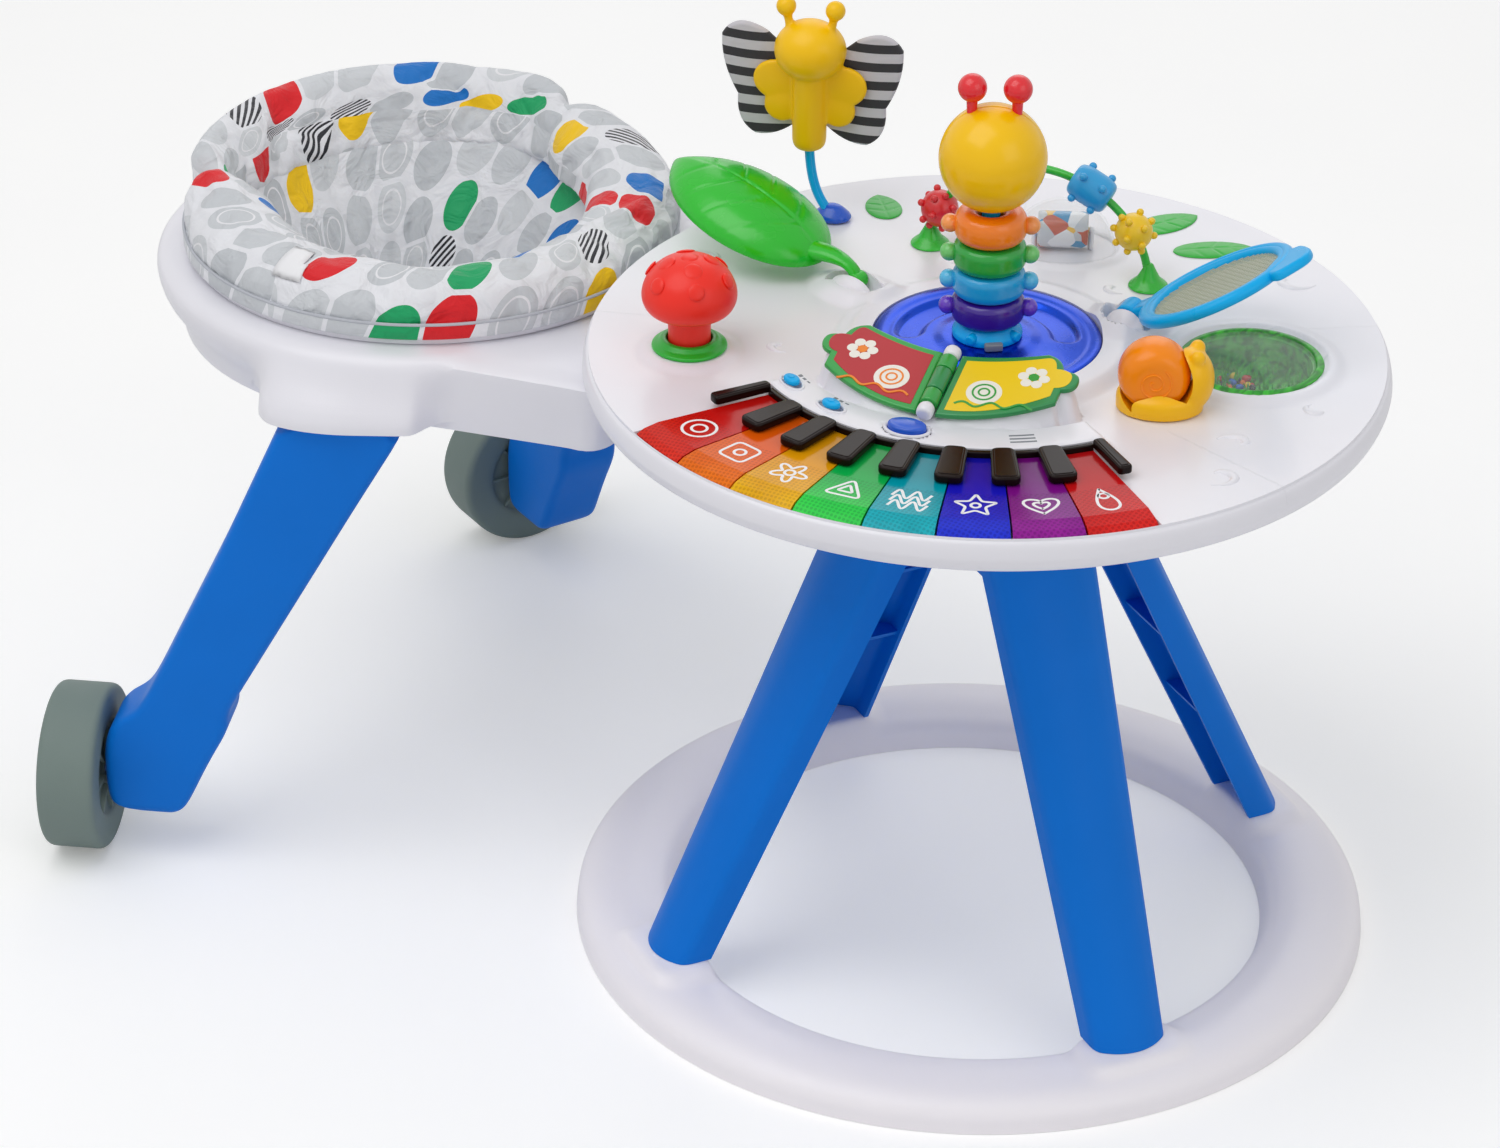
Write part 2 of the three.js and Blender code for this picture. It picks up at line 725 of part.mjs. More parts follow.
function slotShape(length, width) {
  const shape = new THREE.Shape();
  const x = (length - width) / 2;
  shape.absarc(x, 0, width / 2, -Math.PI / 2, Math.PI / 2);
  shape.absarc(-x, 0, width / 2, Math.PI / 2, (3 * Math.PI) / 2);
  shape.closePath();
  return shape;
}

function bookPlace() {
  const place = new THREE.Matrix4().makeTranslation(0, -BOOK_REACH, TABLE_HEIGHT + BOOK_RISE);
  return place.multiply(new THREE.Matrix4().makeRotationX(radians(BOOK_SLOPE)));
}

// A page outline on one side of the spine: hollow against the disc, round against the console, with a tab
function pageShape(side, inset) {
  const half = BOOK_LENGTH / 2;
  const spine = BOOK_SLEEVE_RADIUS + RUNNING_GAP + inset;
  const shape = new THREE.Shape();
  shape.moveTo(side * spine, half - inset);
  shape.quadraticCurveTo(side * PAGE_WIDTH * 0.4, half * 1.1 - inset, side * PAGE_WIDTH * 0.7, half * 1.5 - inset);
  shape.quadraticCurveTo(side * (PAGE_WIDTH * 0.83 - inset), half * 1.45, side * (PAGE_WIDTH * 0.86 - inset), half * 1.05);
  shape.quadraticCurveTo(side * (PAGE_WIDTH - inset), half * 1.1, side * (PAGE_WIDTH - inset), half * 0.78);
  shape.quadraticCurveTo(side * (PAGE_WIDTH - inset), half * 0.5, side * (PAGE_WIDTH * 0.9 - inset), half * 0.44);
  shape.lineTo(side * (PAGE_WIDTH * 0.9 - inset), inset);
  shape.quadraticCurveTo(side * PAGE_WIDTH * 0.5, -half * 0.95 + inset, side * spine, -half + inset);
  shape.closePath();
  return shape;
}

// Level ground for an oval toy base, let into the slope of the raised middle
function toySeat(reach, turn, heading, length, width) {
  const room = plate(ellipse(length + 2 * LOOSE_GAP, width + 2 * LOOSE_GAP), PLATEAU_RISE + OVERRUN, 6);
  return movedTo(turned(room, heading), polar(reach, turn, TABLE_HEIGHT));
}

// Table top: a rimmed skin with the piano tub, the console, the book stand and the seats for the toys
function makeTableTop() {
  const rimTop = TABLE_RADIUS - RIM_ROLL;
  const skirtBottom = TABLE_HEIGHT - SKIRT_DEPTH;
  const skin = ring(
    [
      [SPINDLE_RADIUS + RUNNING_GAP, UNDERSIDE],
      [rimTop - RIM_ROLL, UNDERSIDE],
      [TABLE_RADIUS - 2 * TABLE_SKIN, UNDERSIDE - RIM_ROLL / 2],
      [TABLE_RADIUS - 2 * TABLE_SKIN, skirtBottom],
      [TABLE_RADIUS - TABLE_SKIN, skirtBottom],
      [TABLE_RADIUS, skirtBottom + SKIRT_DEPTH / 3],
      [TABLE_RADIUS, TABLE_HEIGHT - SKIRT_DEPTH / 2],
      [TABLE_RADIUS - RIM_ROLL / 4, TABLE_HEIGHT - RIM_ROLL / 3],
      [rimTop, TABLE_HEIGHT],
      [PLATEAU_RADIUS + PLATEAU_SLOPE, TABLE_HEIGHT],
      [PLATEAU_RADIUS, PLATEAU_TOP],
      [DISC_RADIUS + RUNNING_GAP, PLATEAU_TOP],
      [DISC_RADIUS + RUNNING_GAP, DISC_FLOOR],
      [SPINDLE_RADIUS + RUNNING_GAP, DISC_FLOOR],
    ],
    LARGE_SIDES,
  );
  const { from, to } = pianoSpan();
  const tubSplit = PIANO_WALL / (KEY_INNER_RADIUS * radians(1));
  const tubInner = KEY_INNER_RADIUS - BLACK_BAR_DEPTH - REST_GAP;
  const tubOuter = KEY_OUTER_RADIUS + LOOSE_GAP;
  const tubFloor = PIANO_FLOOR - PIANO_WALL;
  const tub = sector(
    [
      [tubInner - PIANO_WALL, tubFloor],
      [tubOuter + JOIN_LAP, tubFloor],
      [tubOuter + JOIN_LAP, UNDERSIDE + JOIN_LAP],
      [tubInner - PIANO_WALL, UNDERSIDE + JOIN_LAP],
    ],
    from - tubSplit,
    to + tubSplit,
    12,
  );
  const well = sector(
    [
      [tubInner, PIANO_FLOOR],
      [tubOuter, PIANO_FLOOR],
      [tubOuter, TABLE_HEIGHT + OVERRUN],
      [tubOuter + RIM_ROLL, TABLE_HEIGHT + OVERRUN],
      [tubOuter + RIM_ROLL, CONSOLE_TOP + OVERRUN],
      [tubInner, CONSOLE_TOP + OVERRUN],
    ],
    from - KEY_SPLIT,
    to + KEY_SPLIT,
    16,
  );
  const shoulder = (CONSOLE_OUTER_RADIUS - CONSOLE_INNER_RADIUS) / 4;
  const band = sector(
    [
      [CONSOLE_INNER_RADIUS - shoulder, UNDERSIDE + JOIN_LAP],
      [CONSOLE_OUTER_RADIUS + JOIN_LAP, UNDERSIDE + JOIN_LAP],
      [CONSOLE_OUTER_RADIUS, CONSOLE_TOP],
      [CONSOLE_INNER_RADIUS, CONSOLE_TOP],
      [CONSOLE_INNER_RADIUS - shoulder, TABLE_HEIGHT],
    ],
    PIANO_FACING - CONSOLE_HALF_TURN,
    PIANO_FACING + CONSOLE_HALF_TURN,
    12,
  );
  const standDepth = BOOK_RISE + PAGE_THICKNESS;
  const stands = [-1, 1].map((side) => {
    const prism = plate(pageShape(side, PAGE_THICKNESS), standDepth, 2);
    return moved(prism, 0, 0, -standDepth - PAGE_THICKNESS - REST_GAP).applyMatrix4(bookPlace());
  });
  const spineStand = moved(
    block(2 * (BOOK_SLEEVE_RADIUS + 2 * PAGE_THICKNESS), BOOK_LENGTH, standDepth),
    0,
    0,
    -standDepth / 2 - BOOK_SLEEVE_RADIUS - REST_GAP,
  ).applyMatrix4(bookPlace());
  const standLimit = revolve(
    [
      [0, UNDERSIDE + JOIN_LAP],
      [TABLE_RADIUS, UNDERSIDE + JOIN_LAP],
      [TABLE_RADIUS, TABLE_HEIGHT + 2 * BOOK_RISE],
      [0, TABLE_HEIGHT + 2 * BOOK_RISE],
    ],
    MIDDLE_SIDES,
  );
  const discRoom = revolve(
    [
      [0, DISC_FLOOR],
      [DISC_RADIUS + RUNNING_GAP, DISC_FLOOR],
      [DISC_RADIUS + RUNNING_GAP, TABLE_HEIGHT + 2 * BOOK_RISE],
      [0, TABLE_HEIGHT + 2 * BOOK_RISE],
    ],
    LARGE_SIDES,
  );
  const stand = cut(keepInside(join(...stands, spineStand), standLimit), discRoom);
  const mound = movedTo(
    revolve(
      [
        [0, -JOIN_LAP],
        [MUSHROOM_MOUND, -JOIN_LAP],
        [MUSHROOM_MOUND, 0],
        [MUSHROOM_COLLAR_RADIUS, MUSHROOM_COLLAR_RISE / 2],
        [0, MUSHROOM_COLLAR_RISE / 2],
      ],
      MIDDLE_SIDES,
    ),
    polar(MUSHROOM_REACH, MUSHROOM_TURN, TABLE_HEIGHT),
  );
  const postHeight = DRUM_RADIUS + DRUM_AXLE_RADIUS + 2 * RUNNING_GAP;
  const drumPosts = [-1, 1].map((side) => {
    const post = block(DRUM_POST_THICKNESS, DRUM_POST_WIDTH, postHeight + 2 * JOIN_LAP + DRUM_AXLE_RADIUS);
    const out = side * (DRUM_LENGTH / 2 + RUNNING_GAP + DRUM_POST_THICKNESS / 2);
    return placeDome(moved(post, out, 0, postHeight / 2));
  });
  const drumBore = placeDome(
    moved(rod(DRUM_AXLE_RADIUS + RUNNING_GAP, DRUM_LENGTH * 2).rotateY(Math.PI / 2), 0, 0, drumHeight() - TABLE_HEIGHT),
  );
  const switchWells = SWITCH_TURNS.map((turn) =>
    tangential(
      moved(plate(slotShape(SWITCH_LENGTH + 2 * SWITCH_TRAVEL, SWITCH_WIDTH), SWITCH_WELL + OVERRUN, 3), 0, 0, -SWITCH_WELL),
      turn,
      SWITCH_REACH,
      CONSOLE_TOP,
    ),
  );
  const buttonWell = tangential(
    moved(plate(ellipse(BUTTON_LENGTH, BUTTON_WIDTH), SWITCH_WELL + OVERRUN, 7), 0, 0, -SWITCH_WELL),
    BUTTON_TURN,
    BUTTON_REACH,
    CONSOLE_TOP,
  );
  const grille = [];
  for (let i = 0; i < SPEAKER_SLOTS; i += 1) {
    const reach = SWITCH_REACH + (i - (SPEAKER_SLOTS - 1) / 2) * SPEAKER_SLOT_PITCH;
    grille.push(
      sector(
        [
          [reach, CONSOLE_TOP - SPEAKER_DEPTH],
          [reach + SPEAKER_SLOT_WIDTH, CONSOLE_TOP - SPEAKER_DEPTH],
          [reach + SPEAKER_SLOT_WIDTH, CONSOLE_TOP + OVERRUN],
          [reach, CONSOLE_TOP + OVERRUN],
        ],
        SPEAKER_TURN - SPEAKER_HALF_TURN,
        SPEAKER_TURN + SPEAKER_HALF_TURN,
        1,
      ),
    );
  }
  const through = SKIRT_DEPTH;
  const windowHole = movedTo(
    rod(WINDOW_RADIUS + RUNNING_GAP, through * 2, MIDDLE_SIDES),
    polar(WINDOW_REACH, WINDOW_TURN, TABLE_HEIGHT),
  );
  const mushroomHole = movedTo(
    rod(MUSHROOM_STEM_RADIUS + RUNNING_GAP, through * 2, MIDDLE_SIDES),
    polar(MUSHROOM_REACH, MUSHROOM_TURN, TABLE_HEIGHT),
  );
  const seats = [
    toySeat(LEAF_REACH, LEAF_TURN, LEAF_HEADING, LEAF_MOUND_LENGTH, LEAF_MOUND_WIDTH),
    toySeat(PADDLE_REACH, PADDLE_TURN, PADDLE_HEADING, PADDLE_MOUND_LENGTH, PADDLE_MOUND_WIDTH),
  ];
  const whole = join(skin, tub, band, stand, mound, ...drumPosts);
  return cut(whole, ...seats, well, drumBore, ...switchWells, buttonWell, ...grille, windowHole, mushroomHole);
}

// Housing under the middle of the table, for the bearing, the speaker and the batteries
function makeTablePan() {
  const rim = UNDERSIDE - REST_GAP;
  return ring(
    [
      [PILOT_RADIUS + REST_GAP, PAN_BOTTOM],
      [PAN_RADIUS - PAN_DEPTH / 2, PAN_BOTTOM],
      [PAN_RADIUS, PAN_BOTTOM + PAN_DEPTH / 3],
      [PAN_RADIUS, rim],
      [PAN_RADIUS - PAN_WALL, rim],
      [PAN_RADIUS - PAN_WALL, PAN_BOTTOM + PAN_DEPTH / 3 + PAN_WALL],
      [PAN_RADIUS - PAN_DEPTH / 2 - PAN_WALL, PAN_BOTTOM + PAN_WALL],
      [PILOT_RADIUS + REST_GAP, PAN_BOTTOM + PAN_WALL],
    ],
    MIDDLE_SIDES,
  );
}

// One white key: a thick top with a rolled front lip and a heel that it rocks on
function makeKey(index) {
  const { from } = pianoSpan();
  const start = from + index * KEY_PITCH + KEY_SPLIT / 2;
  const top = TABLE_HEIGHT + KEY_TOP;
  const under = top - KEY_THICKNESS;
  const heelBottom = PIANO_FLOOR + RUNNING_GAP;
  return sector(
    [
      [KEY_INNER_RADIUS, heelBottom],
      [KEY_INNER_RADIUS + KEY_HEEL, heelBottom],
      [KEY_INNER_RADIUS + KEY_HEEL, under],
      [KEY_OUTER_RADIUS - KEY_HEEL, under],
      [KEY_OUTER_RADIUS - KEY_HEEL, top - KEY_LIP],
      [KEY_OUTER_RADIUS, top - KEY_LIP],
      [KEY_OUTER_RADIUS, top - KEY_LIP / 2],
      [KEY_OUTER_RADIUS - KEY_HEEL, top - KEY_LIP / 5],
      [KEY_OUTER_RADIUS - 3 * KEY_HEEL, top],
      [KEY_INNER_RADIUS, top - RUNNING_GAP],
    ],
    start,
    start + KEY_PITCH - KEY_SPLIT,
    2,
  );
}

// The dark keys: one fixed moulding, with its bar behind the white keys
function makeBlackKeys() {
  const { from, to } = pianoSpan();
  const bottom = TABLE_HEIGHT + KEY_TOP + RUNNING_GAP;
  const top = bottom + BLACK_KEY_RISE;
  const barInner = KEY_INNER_RADIUS - BLACK_BAR_DEPTH;
  const barOuter = KEY_INNER_RADIUS - RUNNING_GAP;
  const bar = sector(
    [
      [barInner, PIANO_FLOOR + REST_GAP],
      [barOuter, PIANO_FLOOR + REST_GAP],
      [barOuter, bottom + BLACK_KEY_RISE / 2],
      [barInner, bottom + BLACK_KEY_RISE / 2],
    ],
    from,
    to,
    16,
  );
  const half = BLACK_KEY_WIDTH / 2;
  const tops = [];
  for (let i = 0; i <= KEY_COUNT; i += 1) {
    const middle = from + i * KEY_PITCH;
    tops.push(
      sector(
        [
          [barInner, bottom],
          [BLACK_KEY_REACH, bottom],
          [BLACK_KEY_REACH, bottom + BLACK_KEY_RISE / 2],
          [BLACK_KEY_REACH - BLACK_KEY_RISE, top],
          [barInner, top],
        ],
        Math.max(middle - half, from),
        Math.min(middle + half, to),
        1,
      ),
    );
  }
  return join(bar, ...tops);
}

function sliderGeometry() {
  const stemHeight = SWITCH_WELL + JOIN_LAP;
  const stem = moved(plate(ellipse(SWITCH_LENGTH / 2, SWITCH_WIDTH * 0.8), stemHeight, 4), 0, 0, REST_GAP - SWITCH_WELL);
  const cap = softPlate(slotShape(SWITCH_LENGTH, SWITCH_WIDTH), SWITCH_RISE, SWITCH_RISE / 3, 3, 1);
  return join(stem, moved(cap, 0, 0, REST_GAP));
}

function buttonGeometry() {
  const length = BUTTON_LENGTH - 2 * RUNNING_GAP;
  const width = BUTTON_WIDTH - 2 * RUNNING_GAP;
  const height = BUTTON_RISE + SWITCH_WELL / 2;
  return moved(softPlate(ellipse(length, width), height, BUTTON_RISE / 3, 7, 1), 0, 0, BUTTON_RISE - height);
}

// Book: the fixed left page carries the rod, the right page turns on it
function makeLeftPage() {
  const page = moved(plate(pageShape(-1, 0), PAGE_THICKNESS, 3), 0, 0, -PAGE_THICKNESS);
  const side = (BOOK_LENGTH - BOOK_SLEEVE_LENGTH) / 2 - BOOK_CAP_LENGTH;
  const upper = BOOK_SLEEVE_LENGTH / 2 + RUNNING_GAP + side / 2;
  const rodBody = rod(BOOK_ROD_RADIUS, BOOK_LENGTH - JOIN_LAP, SMALL_SIDES).rotateX(Math.PI / 2);
  const sleeves = [-1, 1].map((end) => {
    const sleeve = rod(BOOK_SLEEVE_RADIUS, side, SMALL_SIDES).rotateX(Math.PI / 2);
    return moved(sleeve, 0, end * upper, 0);
  });
  const lugs = [-1, 1].map((end) =>
    moved(block(BOOK_SLEEVE_RADIUS * 2, side, PAGE_THICKNESS), -BOOK_SLEEVE_RADIUS, end * upper, -PAGE_THICKNESS / 2),
  );
  return join(page, rodBody, ...sleeves, ...lugs);
}

function makeRightPage() {
  const page = moved(plate(pageShape(1, 0), PAGE_THICKNESS, 3), 0, 0, -PAGE_THICKNESS);
  const sleeve = rod(BOOK_SLEEVE_RADIUS, BOOK_SLEEVE_LENGTH, SMALL_SIDES).rotateX(Math.PI / 2);
  const lug = moved(
    block(BOOK_SLEEVE_RADIUS * 2, BOOK_SLEEVE_LENGTH, PAGE_THICKNESS),
    BOOK_SLEEVE_RADIUS,
    0,
    -PAGE_THICKNESS / 2,
  );
  const bore = rod(BOOK_ROD_RADIUS + RUNNING_GAP, BOOK_LENGTH, SMALL_SIDES).rotateX(Math.PI / 2);
  return cut(join(page, sleeve, lug), bore);
}

// Disc with three finger hollows round the post
function makeDisc() {
  const bottom = DISC_FLOOR + RUNNING_GAP;
  const edgeTop = bottom + DISC_EDGE;
  const top = bottom + DISC_CROWN;
  const disc = revolve(
    [
      [0, UNDERSIDE],
      [SPINDLE_RADIUS, UNDERSIDE],
      [SPINDLE_RADIUS, bottom],
      [DISC_RADIUS, bottom],
      [DISC_RADIUS, edgeTop],
      [DISC_RADIUS - 2 * DISC_EDGE, edgeTop],
      [COLLAR_RADIUS + DISC_EDGE, top],
      [0, top],
    ],
    LARGE_SIDES,
  );
  const hollows = [];
  for (let i = 0; i < FINGER_COUNT; i += 1) {
    const middle = STACK_FACING + (i * FULL_TURN) / FINGER_COUNT;
    hollows.push(
      sector(
        [
          [FINGER_RADIUS - FINGER_WIDTH, top + OVERRUN],
          [FINGER_RADIUS - FINGER_WIDTH / 2, top - FINGER_DEPTH],
          [FINGER_RADIUS + FINGER_WIDTH / 2, top - FINGER_DEPTH],
          [FINGER_RADIUS + FINGER_WIDTH, top + OVERRUN],
        ],
        middle - FINGER_HALF_TURN,
        middle + FINGER_HALF_TURN,
        4,
      ),
    );
  }
  return cut(disc, ...hollows);
}

function discTop() {
  return DISC_FLOOR + RUNNING_GAP + DISC_CROWN;
}

function stackHeights() {
  const heights = [RING_HEIGHT, RING_HEIGHT, RING_HEIGHT, TOP_RING_HEIGHT];
  const places = [];
  let bottom = discTop() + REST_GAP + COLLAR_HEIGHT + RUNNING_GAP;
  for (const height of heights) {
    places.push({ bottom, height });
    bottom += height + RUNNING_GAP;
  }
  return { places, top: bottom };
}

function makePost() {
  const bottom = discTop() + REST_GAP;
  const collarTop = bottom + COLLAR_HEIGHT;
  return revolve(
    [
      [0, bottom],
      [COLLAR_RADIUS, bottom],
      [COLLAR_RADIUS, bottom + COLLAR_HEIGHT / 3],
      [COLLAR_RADIUS * 0.8, collarTop],
      [POST_RADIUS, collarTop],
      [POST_RADIUS, stackHeights().top + HEAD_POST_REACH],
      [0, stackHeights().top + HEAD_POST_REACH],
    ],
    SMALL_SIDES,
  );
}

function makeStackRing({ bottom, height }) {
  const bore = POST_RADIUS + RUNNING_GAP;
  const shoulder = height / 4;
  const body = ring(
    [
      [bore, bottom],
      [RING_RADIUS - shoulder, bottom],
      [RING_RADIUS, bottom + shoulder],
      [RING_RADIUS, bottom + height - shoulder],
      [RING_RADIUS - shoulder, bottom + height],
      [bore, bottom + height],
    ],
    12,
  );
  const knobs = [-1, 1].map((side) => {
    const knob = ball(KNOB_RADIUS, KNOB_RADIUS, KNOB_RADIUS, 6, 4);
    return turned(moved(knob, side * KNOB_REACH, 0, bottom + height / 2), STACK_FACING + 90);
  });
  return join(body, ...knobs);
}

// Head of the stack: a plain round bug head that turns on the post, with a slot for the feelers' bar
function feelerBar(clearance) {
  const bottom = headMiddle() + HEAD_HEIGHT / 2 - HEAD_HEIGHT / 4;
  const height = HEAD_HEIGHT / 4 + FEELER_RISE;
  const width = FEELER_STEM_RADIUS + clearance;
  const stems = [-1, 1].map((side) =>
    moved(rod(width, height + clearance * 2, 8), side * FEELER_SPREAD, 0, bottom + height / 2),
  );
  const bar = moved(block(2 * FEELER_SPREAD + 2 * clearance, 2 * width, 2 * width), 0, 0, bottom + width);
  return { stems, bar, top: bottom + height };
}

function headMiddle() {
  return stackHeights().top + HEAD_HEIGHT / 2;
}

function makeHead() {
  const middle = headMiddle();
  const head = moved(ball(HEAD_WIDTH / 2, HEAD_WIDTH / 2 - RUNNING_GAP, HEAD_HEIGHT / 2, 14, 8), 0, 0, middle);
  const bore = moved(rod(POST_RADIUS + RUNNING_GAP, HEAD_POST_REACH * 2 + RUNNING_GAP * 2, 10), 0, 0, stackHeights().top);
  const { stems, bar } = feelerBar(REST_GAP);
  return turned(cut(head, bore, ...stems, bar), STACK_FACING + 90);
}

function makeFeelers() {
  const { stems, bar, top } = feelerBar(0);
  const balls = [-1, 1].map((side) =>
    moved(
      ball(FEELER_BALL_RADIUS, FEELER_BALL_RADIUS, FEELER_BALL_RADIUS, 8, 5),
      side * FEELER_SPREAD,
      0,
      top + FEELER_BALL_RADIUS / 2,
    ),
  );
  return turned(join(bar, ...stems, ...balls), STACK_FACING + 90);
}

// Leaf lid, drawn with its hinge at the origin and its length along X
function leafShape(length, width) {
  const shape = new THREE.Shape();
  shape.moveTo(0, 0);
  shape.bezierCurveTo(length * 0.02, width * 0.6, length * 0.68, width * 0.72, length, 0);
  shape.bezierCurveTo(length * 0.68, -width * 0.72, length * 0.02, -width * 0.6, 0, 0);
  return shape;
}

function leafDome(length, width, crown, rise) {
  const outline = leafShape(length, width).getPoints(7).slice(0, -1);
  const middle = new THREE.Vector2(length / 2, 0);
  const levels = [0, 0.45, 0.8, 1];
  const sections = levels.map((level) => {
    const share = Math.sqrt(1 - level * level) * 0.92 + 0.08;
    const loop = outline.map((point) => point.clone().sub(middle).multiplyScalar(share).add(middle));
    return { outline: loop, place: flatPlace(rise + level * crown) };
  });
  return loft(sections);
}

function makeLeafLid() {
  const outer = moved(leafDome(LEAF_LENGTH, LEAF_WIDTH, LEAF_CROWN, 0), LEAF_NEAR, 0, -LEAF_DROP);
  const innerLength = LEAF_LENGTH - 2 * LEAF_WALL;
  const inner = leafDome(innerLength, LEAF_WIDTH - 2 * LEAF_WALL, LEAF_CROWN - LEAF_WALL, -OVERRUN);
  const cup = cut(outer, moved(inner, LEAF_NEAR + LEAF_WALL, 0, -LEAF_DROP));
  const stem = tube(
    [
      new THREE.Vector3(LEAF_NEAR + LEAF_WALL * 1.2, 0, LEAF_CROWN / 6 - LEAF_DROP),
      new THREE.Vector3(LEAF_NEAR * 0.7, 0, LEAF_STEM_RADIUS),
      new THREE.Vector3(LEAF_NEAR * 0.2, 0, LEAF_STEM_RADIUS),
      new THREE.Vector3(0, 0, 0),
    ],
    LEAF_STEM_RADIUS,
    8,
    5,
  );
  const knuckle = rod(LEAF_STEM_RADIUS + JOIN_LAP, 2 * LEAF_STEM_RADIUS, SMALL_SIDES).rotateX(Math.PI / 2);
  const bore = rod(LEAF_PIN_RADIUS + RUNNING_GAP, 4 * LEAF_STEM_RADIUS, SMALL_SIDES).rotateX(Math.PI / 2);
  return cut(join(cup, stem, knuckle), bore);
}

// The leaf's mound on the table, with the pin across its slot
function makeLeafBase() {
  const mound = ball(LEAF_MOUND_LENGTH / 2, LEAF_MOUND_WIDTH / 2, LEAF_MOUND_RISE, 14, 8);
  const tableLevel = -LEAF_HINGE_HEIGHT;
  const upper = moved(block(LEAF_MOUND_LENGTH * 2, LEAF_MOUND_WIDTH * 2, LEAF_MOUND_RISE * 2), 0, 0, LEAF_MOUND_RISE);
  const dome = moved(keepInside(mound, upper), 0, 0, tableLevel + REST_GAP);
  const slotWidth = 2 * LEAF_STEM_RADIUS + 2 * RUNNING_GAP;
  const slotFloor = LEAF_STEM_RADIUS + JOIN_LAP + RUNNING_GAP;
  const slot = moved(block(LEAF_MOUND_LENGTH * 2, slotWidth, LEAF_MOUND_RISE * 2), 0, 0, LEAF_MOUND_RISE - slotFloor);
  const pin = rod(LEAF_PIN_RADIUS, slotWidth + 4 * JOIN_LAP, SMALL_SIDES).rotateX(Math.PI / 2);
  return join(cut(dome, slot), pin);
}

// Paddle, drawn with its hinge at the origin and its length along X
function makePaddleFrame() {
  const middle = PADDLE_NEAR + PADDLE_LENGTH / 2;
  const rim = ellipse(PADDLE_LENGTH, PADDLE_WIDTH);
  const hole = new THREE.Path();
  hole.absellipse(0, 0, PADDLE_LENGTH / 2 - PADDLE_RIM, PADDLE_WIDTH / 2 - PADDLE_RIM, 0, 2 * Math.PI);
  rim.holes.push(hole);
  const frame = moved(softPlate(rim, PADDLE_THICKNESS, PADDLE_THICKNESS / 4, 9, 1), middle, 0, -PADDLE_THICKNESS / 2);
  const tabMiddle = PADDLE_NEAR + PADDLE_LENGTH - PADDLE_RIM / 2 + PADDLE_TAB_LENGTH / 2;
  const tab = moved(
    softPlate(ellipse(PADDLE_TAB_LENGTH + PADDLE_RIM, PADDLE_TAB_WIDTH), PADDLE_THICKNESS * 0.8, PADDLE_THICKNESS / 4, 6, 1),
    tabMiddle - PADDLE_RIM / 2,
    0,
    -PADDLE_THICKNESS * 0.4,
  );
  const opening = moved(
    plate(ellipse(PADDLE_LENGTH - 2 * PADDLE_RIM, PADDLE_WIDTH - 2 * PADDLE_RIM), PADDLE_THICKNESS * 2, 9),
    middle,
    0,
    -PADDLE_THICKNESS,
  );
  const knuckle = rod(PADDLE_KNUCKLE_RADIUS, PADDLE_KNUCKLE_LENGTH, 12).rotateX(Math.PI / 2);
  const neck = moved(
    block(PADDLE_NEAR + PADDLE_RIM / 2, PADDLE_KNUCKLE_LENGTH, PADDLE_THICKNESS * 0.8),
    (PADDLE_NEAR + PADDLE_RIM / 2) / 2,
    0,
    0,
  );
  const bore = rod(PADDLE_PIN_RADIUS + RUNNING_GAP, PADDLE_KNUCKLE_LENGTH * 2, SMALL_SIDES).rotateX(Math.PI / 2);
  return cut(join(frame, tab, knuckle, neck), opening, bore);
}

// The net: crossed strands inside a thin hoop
function makePaddleMesh() {
  const middle = PADDLE_NEAR + PADDLE_LENGTH / 2;
  const lengthX = PADDLE_LENGTH - 2 * PADDLE_RIM - 2 * REST_GAP;
  const lengthY = PADDLE_WIDTH - 2 * PADDLE_RIM - 2 * REST_GAP;
  const hoopShape = ellipse(lengthX, lengthY);
  const hoopHole = new THREE.Path();
  hoopHole.absellipse(0, 0, lengthX / 2 - 2 * NET_STRAND, lengthY / 2 - 2 * NET_STRAND, 0, 2 * Math.PI);
  hoopShape.holes.push(hoopHole);
  const hoop = plate(hoopShape, NET_THICKNESS, 9);
  const strands = [];
  const columns = Math.floor((lengthX - NET_PITCH) / 2 / NET_PITCH);
  for (let i = -columns; i <= columns; i += 1) {
    const x = i * NET_PITCH;
    const reach = (lengthY / 2) * Math.sqrt(1 - ((2 * x) / lengthX) ** 2) - NET_STRAND;
    strands.push(moved(block(NET_STRAND, 2 * reach, NET_THICKNESS), x, 0, NET_THICKNESS / 2));
  }
  const rows = Math.floor((lengthY - NET_PITCH) / 2 / NET_PITCH);
  for (let i = -rows; i <= rows; i += 1) {
    const y = i * NET_PITCH;
    const reach = (lengthX / 2) * Math.sqrt(1 - ((2 * y) / lengthY) ** 2) - NET_STRAND;
    strands.push(moved(block(2 * reach, NET_STRAND, NET_THICKNESS), 0, y, NET_THICKNESS / 2));
  }
  return moved(join(hoop, ...strands), middle, 0, -NET_THICKNESS / 2);
}

